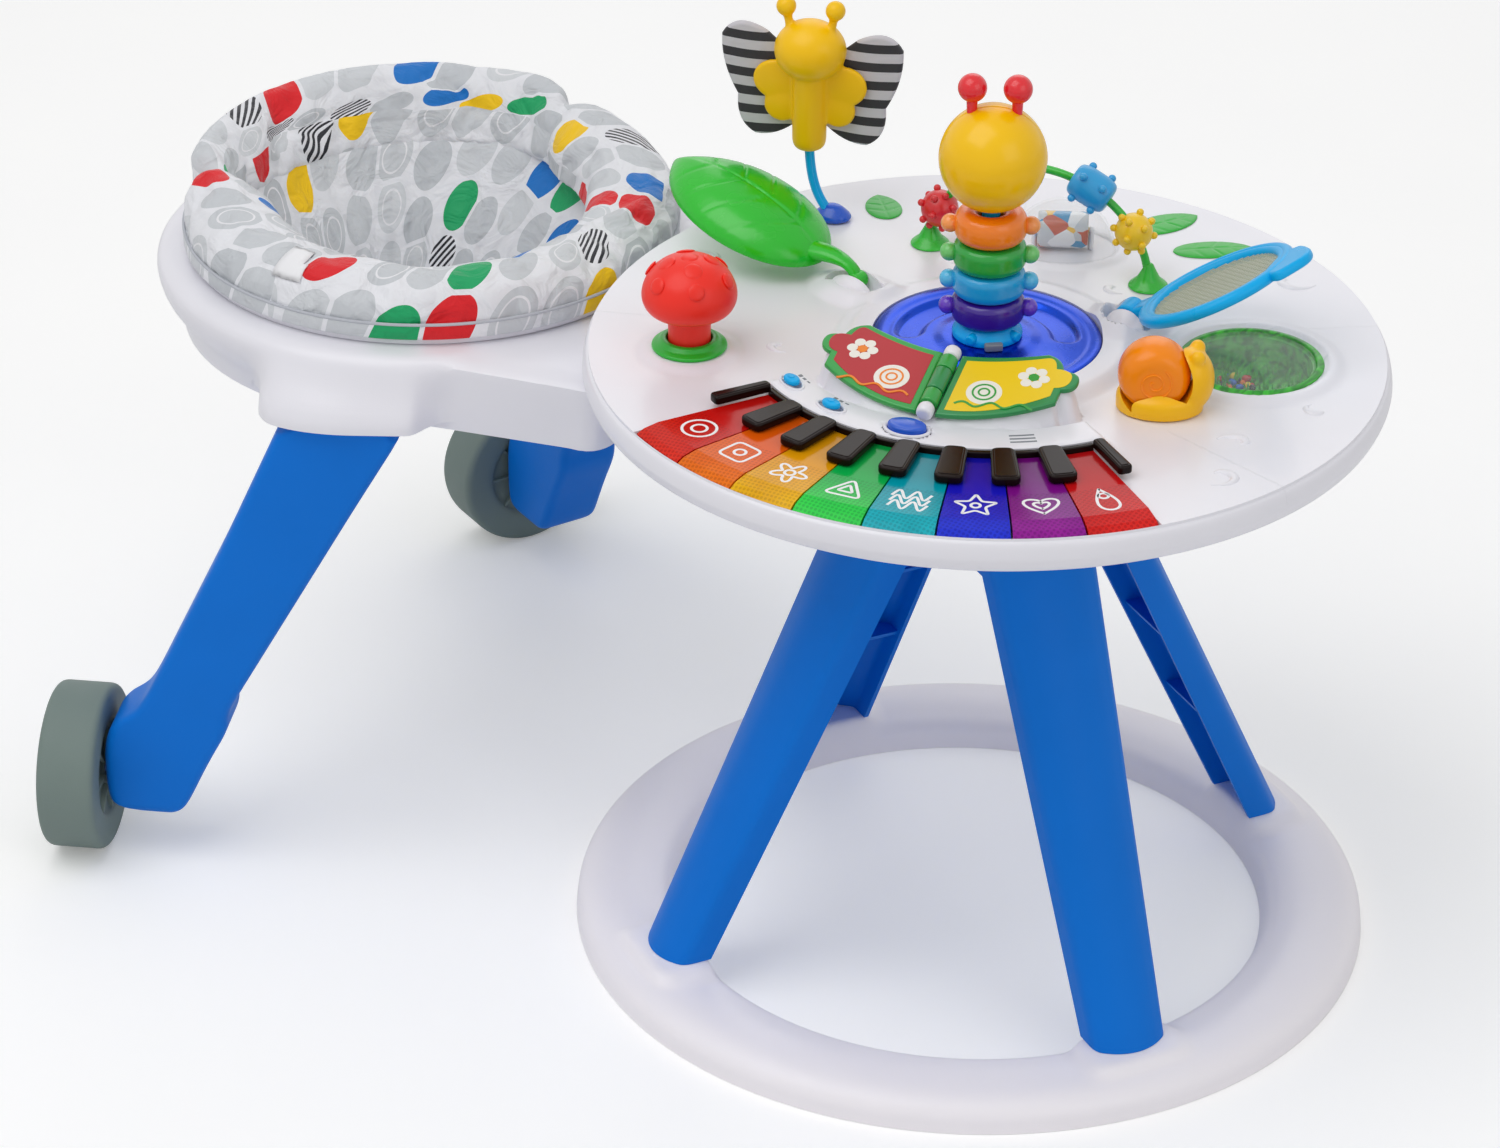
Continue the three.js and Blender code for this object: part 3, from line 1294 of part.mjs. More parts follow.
function makePaddleBase() {
  const rise = PADDLE_HINGE_HEIGHT + PADDLE_KNUCKLE_RADIUS;
  const mound = ball(PADDLE_MOUND_LENGTH / 2, PADDLE_MOUND_WIDTH / 2, rise, 14, 8);
  const upper = moved(block(PADDLE_MOUND_LENGTH * 2, PADDLE_MOUND_WIDTH * 2, rise * 2), 0, 0, rise);
  const dome = moved(keepInside(mound, upper), 0, 0, REST_GAP - PADDLE_HINGE_HEIGHT);
  const slotWidth = PADDLE_KNUCKLE_LENGTH + 2 * RUNNING_GAP;
  const room = PADDLE_KNUCKLE_RADIUS + RUNNING_GAP;
  const slot = moved(block(PADDLE_MOUND_LENGTH * 2, slotWidth, rise * 2), 0, 0, rise - room);
  const pin = rod(PADDLE_PIN_RADIUS, slotWidth + 4 * JOIN_LAP, SMALL_SIDES).rotateX(Math.PI / 2);
  return join(cut(dome, slot), pin);
}

// Bead window: a tray hung in the table's hole, and its lens
function makeBeadTray() {
  const flangeBottom = REST_GAP;
  const flangeTop = flangeBottom + TRAY_FLANGE_RISE;
  const inner = WINDOW_RADIUS - TRAY_WALL;
  return revolve(
    [
      [0, -TRAY_DEPTH],
      [WINDOW_RADIUS, -TRAY_DEPTH],
      [WINDOW_RADIUS, flangeBottom],
      [WINDOW_RADIUS + TRAY_FLANGE, flangeBottom],
      [WINDOW_RADIUS + TRAY_FLANGE / 2, flangeTop],
      [inner, flangeTop],
      [inner, flangeTop - LENS_DEPTH],
      [inner - TRAY_WALL, flangeTop - LENS_DEPTH],
      [inner - TRAY_WALL, TRAY_WALL - TRAY_DEPTH],
      [0, TRAY_WALL - TRAY_DEPTH],
    ],
    MIDDLE_SIDES,
  );
}

function makeWindowLens() {
  const bottom = REST_GAP + TRAY_FLANGE_RISE - LENS_DEPTH + REST_GAP;
  const radius = WINDOW_RADIUS - TRAY_WALL - REST_GAP;
  const edge = bottom + LENS_DEPTH - REST_GAP;
  return revolve(
    [
      [0, bottom],
      [radius, bottom],
      [radius, edge],
      [radius / 2, edge + LENS_CROWN * 0.8],
      [0, edge + LENS_CROWN],
    ],
    MIDDLE_SIDES,
  );
}

// Snail: the shell rolls on a pin held in the body, which faces along X
function makeSnailShell() {
  const half = SNAIL_SHELL_WIDTH / 2;
  const bore = SNAIL_PIN_RADIUS + RUNNING_GAP;
  const shell = ring(
    [
      [bore, -half],
      [SNAIL_SHELL_RADIUS * 0.55, -half],
      [SNAIL_SHELL_RADIUS * 0.88, -half * 0.62],
      [SNAIL_SHELL_RADIUS, 0],
      [SNAIL_SHELL_RADIUS * 0.88, half * 0.62],
      [SNAIL_SHELL_RADIUS * 0.55, half],
      [bore, half],
    ],
    20,
  ).rotateX(Math.PI / 2);
  return moved(shell, -SNAIL_SHELL_BACK, 0, SNAIL_SHELL_HEIGHT);
}

function makeSnailBody() {
  const belly = ball(SNAIL_LENGTH / 2, SNAIL_WIDTH / 2 + SOCKET_WALL, SNAIL_BODY_HEIGHT, 12, 6);
  const upper = moved(block(SNAIL_LENGTH * 2, SNAIL_LENGTH * 2, SNAIL_LENGTH), 0, 0, SNAIL_LENGTH / 2 + REST_GAP);
  const neck = moved(
    ball(SNAIL_WIDTH * 0.27, SNAIL_WIDTH * 0.33, SNAIL_BODY_HEIGHT * 0.7, 8, 5),
    SNAIL_LENGTH * 0.38,
    0,
    SNAIL_BODY_HEIGHT * 0.55,
  );
  const feelers = [-1, 1].flatMap((side) => {
    const y = side * SNAIL_FEELER_SPREAD;
    const x = SNAIL_LENGTH * 0.4;
    const stemRod = rod(SNAIL_FEELER_RADIUS / 2, SNAIL_FEELER_HEIGHT / 2, 5);
    const stem = moved(stemRod, x, y, SNAIL_FEELER_HEIGHT * 0.75);
    const knobBall = ball(SNAIL_FEELER_RADIUS, SNAIL_FEELER_RADIUS, SNAIL_FEELER_RADIUS, 6, 4);
    const knob = moved(knobBall, x, y, SNAIL_FEELER_HEIGHT);
    return [stem, knob];
  });
  const room = SNAIL_SHELL_RADIUS + 2 * RUNNING_GAP;
  const slot = moved(
    rod(room, SNAIL_SHELL_WIDTH + 2 * RUNNING_GAP, MIDDLE_SIDES).rotateX(Math.PI / 2),
    -SNAIL_SHELL_BACK,
    0,
    SNAIL_SHELL_HEIGHT,
  );
  const pin = rod(SNAIL_PIN_RADIUS, SNAIL_WIDTH + JOIN_LAP, SMALL_SIDES).rotateX(Math.PI / 2);
  const hub = moved(pin, -SNAIL_SHELL_BACK, 0, SNAIL_SHELL_HEIGHT);
  const cheeks = [-1, 1].map((side) => {
    const thickness = (SNAIL_WIDTH - SNAIL_SHELL_WIDTH) / 2 - RUNNING_GAP;
    const cheek = rod(SNAIL_SHELL_RADIUS * 0.5, thickness, 12).rotateX(Math.PI / 2);
    const out = side * (SNAIL_SHELL_WIDTH / 2 + RUNNING_GAP + thickness / 2);
    return moved(cheek, -SNAIL_SHELL_BACK, out, SNAIL_SHELL_HEIGHT);
  });
  const body = cut(keepInside(join(belly, neck, ...feelers), upper), slot);
  return join(body, ...cheeks, hub);
}

// Mushroom that presses down into the table through its collar
function makeMushroom() {
  const stemBottom = -MUSHROOM_WELL;
  const capBottom = MUSHROOM_STEM_HEIGHT - RUNNING_GAP;
  const capTop = capBottom + MUSHROOM_CAP_HEIGHT;
  return revolve(
    [
      [0, stemBottom],
      [MUSHROOM_STEM_RADIUS, stemBottom],
      [MUSHROOM_STEM_RADIUS, capBottom],
      [MUSHROOM_CAP_RADIUS * 0.8, capBottom - RUNNING_GAP],
      [MUSHROOM_CAP_RADIUS, capBottom + MUSHROOM_CAP_HEIGHT * 0.22],
      [MUSHROOM_CAP_RADIUS * 0.96, capBottom + MUSHROOM_CAP_HEIGHT * 0.45],
      [MUSHROOM_CAP_RADIUS * 0.78, capBottom + MUSHROOM_CAP_HEIGHT * 0.75],
      [MUSHROOM_CAP_RADIUS * 0.4, capTop - RUNNING_GAP * 4],
      [0, capTop],
    ],
    20,
  );
}

function makeMushroomCollar() {
  const bottom = MUSHROOM_COLLAR_RISE / 2 + REST_GAP;
  const top = bottom + MUSHROOM_COLLAR_RISE;
  return ring(
    [
      [MUSHROOM_STEM_RADIUS + RUNNING_GAP, bottom],
      [MUSHROOM_COLLAR_RADIUS, bottom],
      [MUSHROOM_COLLAR_RADIUS * 0.92, bottom + MUSHROOM_COLLAR_RISE * 0.5],
      [MUSHROOM_STEM_RADIUS * 1.25, top],
      [MUSHROOM_STEM_RADIUS + RUNNING_GAP, top],
    ],
    20,
  );
}

// Bug toy, drawn with its stalk's foot at the origin and its face along -Y
function makeStalk() {
  const foot = revolve(
    [
      [0, RUNNING_GAP],
      [STALK_FOOT_RADIUS * 0.6, LOOSE_GAP + 2 * REST_GAP],
      [STALK_FOOT_RADIUS, STALK_FOOT_HEIGHT * 0.4],
      [STALK_RADIUS, STALK_FOOT_HEIGHT],
      [0, STALK_FOOT_HEIGHT],
    ],
    16,
  );
  const stem = tube(
    [
      new THREE.Vector3(0, 0, STALK_FOOT_HEIGHT / 3),
      new THREE.Vector3(STALK_LEAN * 0.45, 0, STALK_HEIGHT * 0.16),
      new THREE.Vector3(STALK_LEAN * 0.95, 0, STALK_HEIGHT * 0.45),
      new THREE.Vector3(STALK_LEAN, 0, STALK_HEIGHT * 0.75),
      new THREE.Vector3(STALK_LEAN, 0, STALK_HEIGHT),
    ],
    STALK_RADIUS,
    8,
    8,
  );
  return join(foot, stem);
}

function bugHeights() {
  const bottom = STALK_HEIGHT - STALK_FOOT_HEIGHT;
  const neck = bottom + BUG_BODY_HEIGHT;
  return { bottom, neck, head: neck + BUG_HEAD_RADIUS * 0.85 };
}

function smallWingShape() {
  const shape = new THREE.Shape();
  const span = SMALL_WING_SPAN;
  shape.moveTo(0, -span * 0.35);
  shape.bezierCurveTo(span * 0.3, -span * 0.75, span * 0.85, -span * 0.6, span * 0.8, -span * 0.15);
  shape.bezierCurveTo(span * 1.1, span * 0.1, span * 0.95, span * 0.6, span * 0.6, span * 0.45);
  shape.lineTo(0, span * 0.25);
  shape.lineTo(-span * 0.6, span * 0.45);
  shape.bezierCurveTo(-span * 0.95, span * 0.6, -span * 1.1, span * 0.1, -span * 0.8, -span * 0.15);
  shape.bezierCurveTo(-span * 0.85, -span * 0.6, -span * 0.3, -span * 0.75, 0, -span * 0.35);
  return shape;
}

function makeBugBody() {
  const { bottom, neck, head } = bugHeights();
  const half = BUG_BODY_WIDTH / 2;
  const body = revolve(
    [
      [0, bottom],
      [half * 0.85, bottom],
      [half, bottom + half],
      [half, neck],
      [half * 0.6, neck + half],
      [0, neck + half],
    ],
    10,
  );
  const skull = moved(ball(BUG_HEAD_RADIUS, BUG_HEAD_RADIUS, BUG_HEAD_RADIUS * 0.87, 10, 6), 0, 0, head);
  const feelers = [-1, 1].flatMap((side) => {
    const x = side * BUG_FEELER_SPREAD;
    const height = head + BUG_HEAD_RADIUS + BUG_FEELER_RADIUS;
    const knob = moved(ball(BUG_FEELER_RADIUS, BUG_FEELER_RADIUS, BUG_FEELER_RADIUS, 6, 4), x, 0, height);
    const stem = moved(rod(BUG_FEELER_RADIUS / 2, BUG_HEAD_RADIUS, 5), x * 0.9, 0, height - BUG_HEAD_RADIUS / 2);
    return [knob, stem];
  });
  const wings = moved(
    softPlate(smallWingShape(), SMALL_WING_THICKNESS, SMALL_WING_EDGE, 3, 1).rotateX(Math.PI / 2),
    0,
    SMALL_WING_THICKNESS / 2,
    neck - half,
  );
  const bore = moved(rod(STALK_RADIUS + REST_GAP, STALK_FOOT_HEIGHT * 2 + 4 * JOIN_LAP, 10), 0, 0, bottom);
  const wingRoom = moved(wingsPlate(REST_GAP), 0, wingOffset(), neck - half);
  return cut(join(body, skull, ...feelers, wings), bore, wingRoom);
}

function wingOffset() {
  return SMALL_WING_THICKNESS / 2 + WING_THICKNESS / 2 + REST_GAP;
}

// The soft striped wings, one pad right across the bug's back
function wingsPlate(clearance) {
  const span = WING_SPAN + clearance;
  const high = WING_HEIGHT * 0.58 + clearance;
  const low = WING_HEIGHT * 0.42 + clearance;
  const shape = new THREE.Shape();
  shape.moveTo(0, -low * 0.35);
  shape.quadraticCurveTo(span * 0.3, -low * 1.05, span * 0.62, -low);
  shape.quadraticCurveTo(span * 0.85, -low * 0.8, span * 0.82, -low * 0.2);
  shape.quadraticCurveTo(span * 1.02, high * 0.3, span, high * 0.75);
  shape.quadraticCurveTo(span * 0.85, high * 1.1, span * 0.5, high * 0.85);
  shape.lineTo(0, high * 0.3);
  shape.lineTo(-span * 0.5, high * 0.85);
  shape.quadraticCurveTo(-span * 0.85, high * 1.1, -span, high * 0.75);
  shape.quadraticCurveTo(-span * 1.02, high * 0.3, -span * 0.82, -low * 0.2);
  shape.quadraticCurveTo(-span * 0.85, -low * 0.8, -span * 0.62, -low);
  shape.quadraticCurveTo(-span * 0.3, -low * 1.05, 0, -low * 0.35);
  const thickness = WING_THICKNESS + 2 * clearance;
  return moved(softPlate(shape, thickness, thickness / 3, 3, 1).rotateX(Math.PI / 2), 0, thickness / 2, 0);
}

// Bead arch, drawn across X with its feet on the table
function archPoint(turn) {
  const angle = radians(turn);
  return new THREE.Vector3(ARCH_HALF_SPAN * Math.cos(angle), 0, ARCH_RISE * Math.sin(angle));
}

function makeArch() {
  const points = [];
  for (let turn = 4; turn <= 176; turn += 17.2) {
    points.push(archPoint(turn));
  }
  const bow = tube(points, ARCH_ROD_RADIUS, 7, 20);
  const feet = [-1, 1].map((side) => {
    const cone = revolve(
      [
        [0, REST_GAP],
        [ARCH_FOOT_RADIUS, REST_GAP],
        [ARCH_FOOT_RADIUS * 0.62, ARCH_FOOT_HEIGHT * 0.3],
        [ARCH_ROD_RADIUS * 1.4, ARCH_FOOT_HEIGHT],
        [0, ARCH_FOOT_HEIGHT],
      ],
      12,
    );
    return moved(cone, side * ARCH_HALF_SPAN, 0, 0);
  });
  return join(bow, ...feet);
}

// A bead on the arch: its bore lies along the rod
function onArch(geometry, turn) {
  const place = archPoint(turn);
  const ahead = archPoint(turn + 1).sub(archPoint(turn - 1));
  const tilt = Math.atan2(ahead.x, ahead.z);
  return movedTo(geometry.clone().rotateY(tilt), place);
}

// The room for the rod in a bead: close to it in the middle, wider at the ends for the rod's curve
function beadBore(half) {
  const close = ARCH_ROD_RADIUS + RUNNING_GAP + REST_GAP;
  return revolve([[0, -half], [BEAD_BORE, -half], [close, 0], [BEAD_BORE, half], [0, half]], SMALL_SIDES);
}

function makeSpikyBead() {
  const body = ball(BEAD_RADIUS, BEAD_RADIUS, BEAD_RADIUS, 10, 6);
  const spikes = [];
  for (const { level, count } of [{ level: 0.4, count: 4 }, { level: -0.4, count: 4 }]) {
    for (let i = 0; i < count; i += 1) {
      const out = BEAD_RADIUS * Math.sqrt(1 - level * level) + BEAD_SPIKE / 3;
      const spike = rod(BEAD_SPIKE_RADIUS, BEAD_SPIKE * 2, 4).rotateY(Math.PI / 2);
      spikes.push(turned(moved(spike, out, 0, level * BEAD_RADIUS), (FULL_TURN * (i + (level > 0 ? 0.5 : 0))) / count));
    }
  }
  return cut(join(body, ...spikes), beadBore(BEAD_RADIUS + JOIN_LAP));
}

function makeBarrelBead() {
  const half = BARREL_LENGTH / 2;
  const body = revolve(
    [
      [0, -half],
      [BARREL_RADIUS * 0.8, -half],
      [BARREL_RADIUS, -half * 0.7],
      [BARREL_RADIUS, half * 0.7],
      [BARREL_RADIUS * 0.8, half],
      [0, half],
    ],
    12,
  );
  const bumps = [];
  for (let i = 0; i < 8; i += 1) {
    const level = (i % 2 === 0 ? -0.45 : 0.45) * half;
    const bump = moved(ball(BEAD_SPIKE_RADIUS, BEAD_SPIKE_RADIUS, BEAD_SPIKE_RADIUS, 4, 3), BARREL_RADIUS, 0, level);
    bumps.push(turned(bump, i * 45));
  }
  return cut(join(body, ...bumps), beadBore(half + JOIN_LAP));
}

// Clear dome over a drum that tumbles on its posts
function placeDome(geometry) {
  return movedTo(turned(geometry, DOME_HEADING), polar(DOME_REACH, DOME_TURN, TABLE_HEIGHT));
}

function drumHeight() {
  return TABLE_HEIGHT + DRUM_RADIUS + 2 * RUNNING_GAP;
}

function makeDome() {
  const outer = ball(DOME_LENGTH / 2, DOME_WIDTH / 2, DOME_RISE, 16, 8);
  const inner = ball(DOME_LENGTH / 2 - DOME_WALL, DOME_WIDTH / 2 - DOME_WALL, DOME_RISE - DOME_WALL, 16, 8);
  const above = moved(block(DOME_LENGTH * 2, DOME_LENGTH * 2, DOME_RISE * 2), 0, 0, DOME_RISE + REST_GAP);
  return placeDome(keepInside(cut(outer, inner), above));
}

function makeDrum() {
  const drum = rod(DRUM_RADIUS, DRUM_LENGTH, 16).rotateY(Math.PI / 2);
  const axle = rod(DRUM_AXLE_RADIUS, DRUM_LENGTH + 2 * DRUM_POST_THICKNESS, 8).rotateY(Math.PI / 2);
  return placeDome(moved(join(drum, axle), 0, 0, drumHeight() - TABLE_HEIGHT));
}

function makeLeafPad({ length, width }) {
  const flat = softPlate(leafShape(length, width), LEAF_PAD_THICKNESS, LEAF_PAD_THICKNESS / 3, 5, 1);
  return moved(flat, -length / 2, 0, REST_GAP);
}

// Section through the shell beside its bore, drawn smaller by an inset for the room inside
function shellSection(inset) {
  return SHELL_SHARES.map(([across, rise]) => [
    SHELL_BORE + (across > 0 ? across * (SHELL_RADIUS - SHELL_BORE) - inset : inset),
    SHELL_TOP - (1 - rise) * SHELL_HEIGHT - inset,
  ]);
}

// Outline of the apron under the shell: round at the back, straight towards the table
function apronOutline(radius, frontHalf, frontX) {
  const points = [];
  const startTurn = 64;
  const steps = 14;
  for (let i = 0; i <= steps; i += 1) {
    const turn = startTurn + ((360 - 2 * startTurn) * i) / steps;
    points.push(new THREE.Vector2(radius * Math.cos(radians(turn)), radius * Math.sin(radians(turn))));
  }
  const corner = APRON_TAPER * 2;
  points.push(new THREE.Vector2(frontX - corner, -frontHalf));
  points.push(new THREE.Vector2(frontX, -frontHalf + corner));
  points.push(new THREE.Vector2(frontX, frontHalf - corner));
  points.push(new THREE.Vector2(frontX - corner, frontHalf));
  return points;
}

function apron(inset, bottom) {
  const top = SHELL_TOP - APRON_STEP - inset;
  const frontX = SEAT_REACH - APRON_FRONT_REACH - inset;
  return loft([
    {
      outline: apronOutline(
        SHELL_RADIUS - 2.5 * APRON_TAPER - inset,
        APRON_FRONT_HALF_WIDTH - APRON_TAPER - inset,
        frontX - APRON_TAPER,
      ),
      place: flatPlace(bottom),
    },
    {
      outline: apronOutline(SHELL_RADIUS - 2 * APRON_TAPER - inset, APRON_FRONT_HALF_WIDTH - inset, frontX),
      place: flatPlace(top),
    },
  ]);
}

function walkerLegOutline() {
  const wheelFace = WHEEL_REACH - WHEEL_WIDTH / 2 - RUNNING_GAP;
  const across = wheelFace - WALKER_LEG_INNER_REACH;
  return WALKER_LEG_SHARES.map(([share, rise]) => [WALKER_LEG_INNER_REACH + share * across, rise * WALKER_LEG_TOP]);
}

// A side piece of the walker is drawn in the upright plane through the table's axis
function walkerSide(geometry, side) {
  return turned(geometry, 180 - side * WALKER_SPREAD - WALKER_SKEW);
}

function makeWalkerFrame() {
  const bore = moved(rod(SHELL_BORE, SHELL_TOP, SHELL_SIDES), 0, 0, SHELL_TOP);
  const boreWall = ring(
    [
      [SHELL_BORE, APRON_BOTTOM],
      [SHELL_BORE + SHELL_WALL, APRON_BOTTOM],
      [SHELL_BORE + SHELL_WALL, SHELL_TOP],
      [SHELL_BORE, SHELL_TOP],
    ],
    SHELL_SIDES,
  );
  const skin = join(ring(shellSection(0), SHELL_SIDES), apron(0, APRON_BOTTOM));
  const room = join(ring(shellSection(SHELL_WALL), SHELL_SIDES), apron(SHELL_WALL, APRON_BOTTOM - OVERRUN));
  const seatPart = moved(cut(skin, bore, cut(room, boreWall)), -SEAT_REACH, 0, 0);
  const outline = walkerLegOutline();
  const socketInner = outline.at(-1)[0] - SOCKET_WALL;
  const socketOuter = outline[0][0] + SOCKET_WALL;
  const socketShape = roundedRectangle(socketOuter - socketInner, WALKER_LEG_THICKNESS + 2 * SOCKET_WALL, WALKER_LEG_EDGE + SOCKET_WALL);
  const sockets = [-1, 1].map((side) => {
    const socket = moved(plate(socketShape, SOCKET_HEIGHT, 1), (socketInner + socketOuter) / 2, 0, WALKER_LEG_TOP + REST_GAP);
    return walkerSide(socket, side);
  });
  const legRooms = [-1, 1].map((side) => {
    const depth = WALKER_LEG_TOP + REST_GAP - APRON_BOTTOM + OVERRUN;
    const room = block(socketOuter - socketInner, WALKER_LEG_THICKNESS + 2 * SOCKET_WALL, depth);
    return walkerSide(moved(room, (socketInner + socketOuter) / 2, 0, APRON_BOTTOM - OVERRUN + depth / 2), side);
  });
  const armStart = SPIGOT_RADIUS + RUNNING_GAP + SHELL_WALL * 4;
  const armEnd = APRON_FRONT_REACH + APRON_TAPER + SHELL_WALL;
  const armHeight = COLLAR_TOP - COLLAR_BOTTOM;
  const arm = moved(block(armEnd - armStart, 2 * ARM_HALF_WIDTH, armHeight), -(armStart + armEnd) / 2, 0, COLLAR_BOTTOM + armHeight / 2);
  const armRoom = moved(
    block(armEnd - armStart, 2 * ARM_HALF_WIDTH - 2 * SHELL_WALL, armHeight),
    -(armStart + armEnd) / 2 - SHELL_WALL * 4,
    0,
    COLLAR_BOTTOM + armHeight / 2 - SHELL_WALL,
  );
  const collar = ring(
    [
      [SPIGOT_RADIUS + RUNNING_GAP, COLLAR_BOTTOM],
      [COLLAR_OUTER_RADIUS, COLLAR_BOTTOM],
      [COLLAR_OUTER_RADIUS, COLLAR_TOP],
      [SPIGOT_RADIUS + RUNNING_GAP, COLLAR_TOP],
    ],
    LARGE_SIDES,
  );
  const seatRoom = moved(rod(SHELL_BORE, SHELL_TOP, SHELL_SIDES), -SEAT_REACH, 0, SHELL_TOP - SHELL_HEIGHT);
  const whole = join(seatPart, cut(arm, armRoom, seatRoom), collar, ...sockets.map((socket) => cut(socket, seatRoom)));
  return cut(whole, ...legRooms);
}

// Walker leg: tapers down to the axle boss, with the axle and its head moulded on
function makeWalkerLeg(side) {
  const shape = new THREE.Shape(outlineOf(walkerLegOutline()));
  const flat = softPlate(shape, WALKER_LEG_THICKNESS, WALKER_LEG_EDGE, 1, 2);
  const leg = moved(flat, 0, 0, -WALKER_LEG_THICKNESS / 2).rotateX(Math.PI / 2);
  const axleEnd = WHEEL_REACH + WHEEL_WIDTH / 2 - WHEEL_DISH + RUNNING_GAP + AXLE_HEAD_LENGTH;
  const axleStart = WHEEL_REACH - WHEEL_WIDTH / 2 - WALKER_LEG_EDGE;
  const axle = moved(rod(AXLE_RADIUS, axleEnd - axleStart, 12).rotateY(Math.PI / 2), (axleStart + axleEnd) / 2, 0, WHEEL_RADIUS);
  const head = moved(
    rod(AXLE_HEAD_RADIUS, AXLE_HEAD_LENGTH, 12).rotateY(Math.PI / 2),
    axleEnd - AXLE_HEAD_LENGTH / 2,
    0,
    WHEEL_RADIUS,
  );
  return walkerSide(join(leg, axle, head), side);
}

function makeWheel(side) {
  const half = WHEEL_WIDTH / 2;
  const bore = AXLE_RADIUS + RUNNING_GAP;
  const wheel = ring(
    [
      [bore, WHEEL_DISH - half],
      [WHEEL_RADIUS * 0.55, WHEEL_DISH - half],
      [WHEEL_RADIUS * 0.6, -half],
      [WHEEL_RADIUS - WHEEL_SHOULDER, -half],
      [WHEEL_RADIUS, WHEEL_SHOULDER - half],
      [WHEEL_RADIUS, half - WHEEL_SHOULDER],
      [WHEEL_RADIUS - WHEEL_SHOULDER, half],
      [WHEEL_RADIUS * 0.62, half],
      [WHEEL_RADIUS * 0.55, half - WHEEL_DISH],
      [bore, half - WHEEL_DISH],
    ],
    MIDDLE_SIDES,
  ).rotateY(Math.PI / 2);
  return walkerSide(moved(wheel, WHEEL_REACH, 0, WHEEL_RADIUS), side);
}

// Swivel ring that rides on the shell and holds the fabric
function makeSeatRing() {
  const flangeBottom = SHELL_TOP + REST_GAP;
  const outer = SHELL_BORE - LOOSE_GAP;
  return ring(
    [
      [outer - RING_WALL, flangeBottom - RING_DROP],
      [outer, flangeBottom - RING_DROP],
      [outer, flangeBottom],
      [RING_FLANGE_RADIUS, flangeBottom],
      [RING_FLANGE_RADIUS, flangeBottom + RING_FLANGE],
      [outer - RING_WALL, flangeBottom + RING_FLANGE],
    ],
    SHELL_SIDES,
  );
}

// Padded collar with a raised back, and the sling below it; the back is along +Y
function seatRows(back) {
  const base = SHELL_TOP + 2 * REST_GAP + RING_FLANGE;
  const throat = SHELL_BORE - LOOSE_GAP - RING_WALL - LOOSE_GAP;
  const rise = THREE.MathUtils.lerp(CUSHION_FRONT_RISE, CUSHION_BACK_RISE, back);
  const cushion = CUSHION_SHARES.map(([across, up]) => [
    THREE.MathUtils.lerp(CUSHION_INNER_RADIUS, CUSHION_OUTER_RADIUS, across),
    base + up * rise,
  ]);
  const sling = SLING_SHARES.map(({ across, drop }) => [across * throat, base - drop * SLING_DEPTH]);
  const lining = sling.map(([radius, height]) => [
    Math.max(radius - SLING_THICKNESS, 0),
    height + SLING_THICKNESS,
  ]);
  return [...sling, [throat, base - RING_DROP / 2], [throat, base], ...cushion, ...lining.reverse()];
}

function makeSeatPad() {
  const positions = [];
  const index = [];
  const rows = seatRows(0).length;
  for (let step = 0; step < SEAT_STEPS; step += 1) {
    const turn = (2 * Math.PI * step) / SEAT_STEPS;
    const back = ((1 + Math.sin(turn)) / 2) ** 1.3;
    for (const [radius, height] of seatRows(back)) {
      positions.push(radius * Math.cos(turn), radius * Math.sin(turn), height);
    }
  }
  for (let step = 0; step < SEAT_STEPS; step += 1) {
    const here = step * rows;
    const next = ((step + 1) % SEAT_STEPS) * rows;
    for (let row = 0; row + 1 < rows; row += 1) {
      index.push(here + row, next + row, next + row + 1, here + row, next + row + 1, here + row + 1);
    }
  }
  const pad = new THREE.BufferGeometry();
  pad.setAttribute("position", new THREE.Float32BufferAttribute(positions, 3));
  pad.setIndex(index);
  const holeHeight = SHELL_TOP - LEG_HOLE_DROP;
  const holes = [-1, 1].map((side) => {
    const hole = rod(LEG_HOLE_RADIUS, SHELL_BORE, 12).rotateY(Math.PI / 2);
    return turned(moved(hole, SHELL_BORE / 2 + LEG_HOLE_RADIUS, 0, holeHeight), -90 + side * LEG_HOLE_TURN);
  });
  return cut(pad, ...holes);
}

// Assembly
const KEY_FINISHES = ["red", "orange", "amber", "green", "teal", "indigo", "magenta", "red"];
const STACK_FINISHES = ["purple", "lightBlue", "green", "orange"];
const STACK_NAMES = ["ring_purple", "ring_blue", "ring_green", "ring_orange"];

const table = new THREE.Group();
table.add(...LEG_TURNS.map((turn, i) => piece("table_leg_" + (i + 1), turned(makeTableLeg(), turn), "blue")));
table.add(piece("leg_crown", makeLegCrown(), "blue"));
table.add(piece("table_top", makeTableTop(), "white"));
table.add(piece("table_pan", makeTablePan(), "white"));
for (let i = 0; i < KEY_COUNT; i += 1) {
  table.add(piece("key_" + (i + 1), makeKey(i), KEY_FINISHES[i]));
}
table.add(piece("black_keys", makeBlackKeys(), "black"));
SWITCH_TURNS.forEach((turn, i) => {
  const slider = piece("switch_" + (i + 1), sliderGeometry(), "lightBlue");
  table.add(group(polar(SWITCH_REACH, turn, CONSOLE_TOP), turn - QUARTER_TURN, slider));
});
const buttonPlace = polar(BUTTON_REACH, BUTTON_TURN, CONSOLE_TOP);
table.add(group(buttonPlace, BUTTON_TURN - QUARTER_TURN, piece("mode_button", buttonGeometry(), "blue")));

const book = new THREE.Group();
book.position.set(0, -BOOK_REACH, TABLE_HEIGHT + BOOK_RISE);
book.rotation.x = radians(BOOK_SLOPE);
book.add(piece("book_page_left", makeLeftPage(), "green"));
book.add(piece("book_page_right", makeRightPage(), "darkGreen"));
table.add(book);

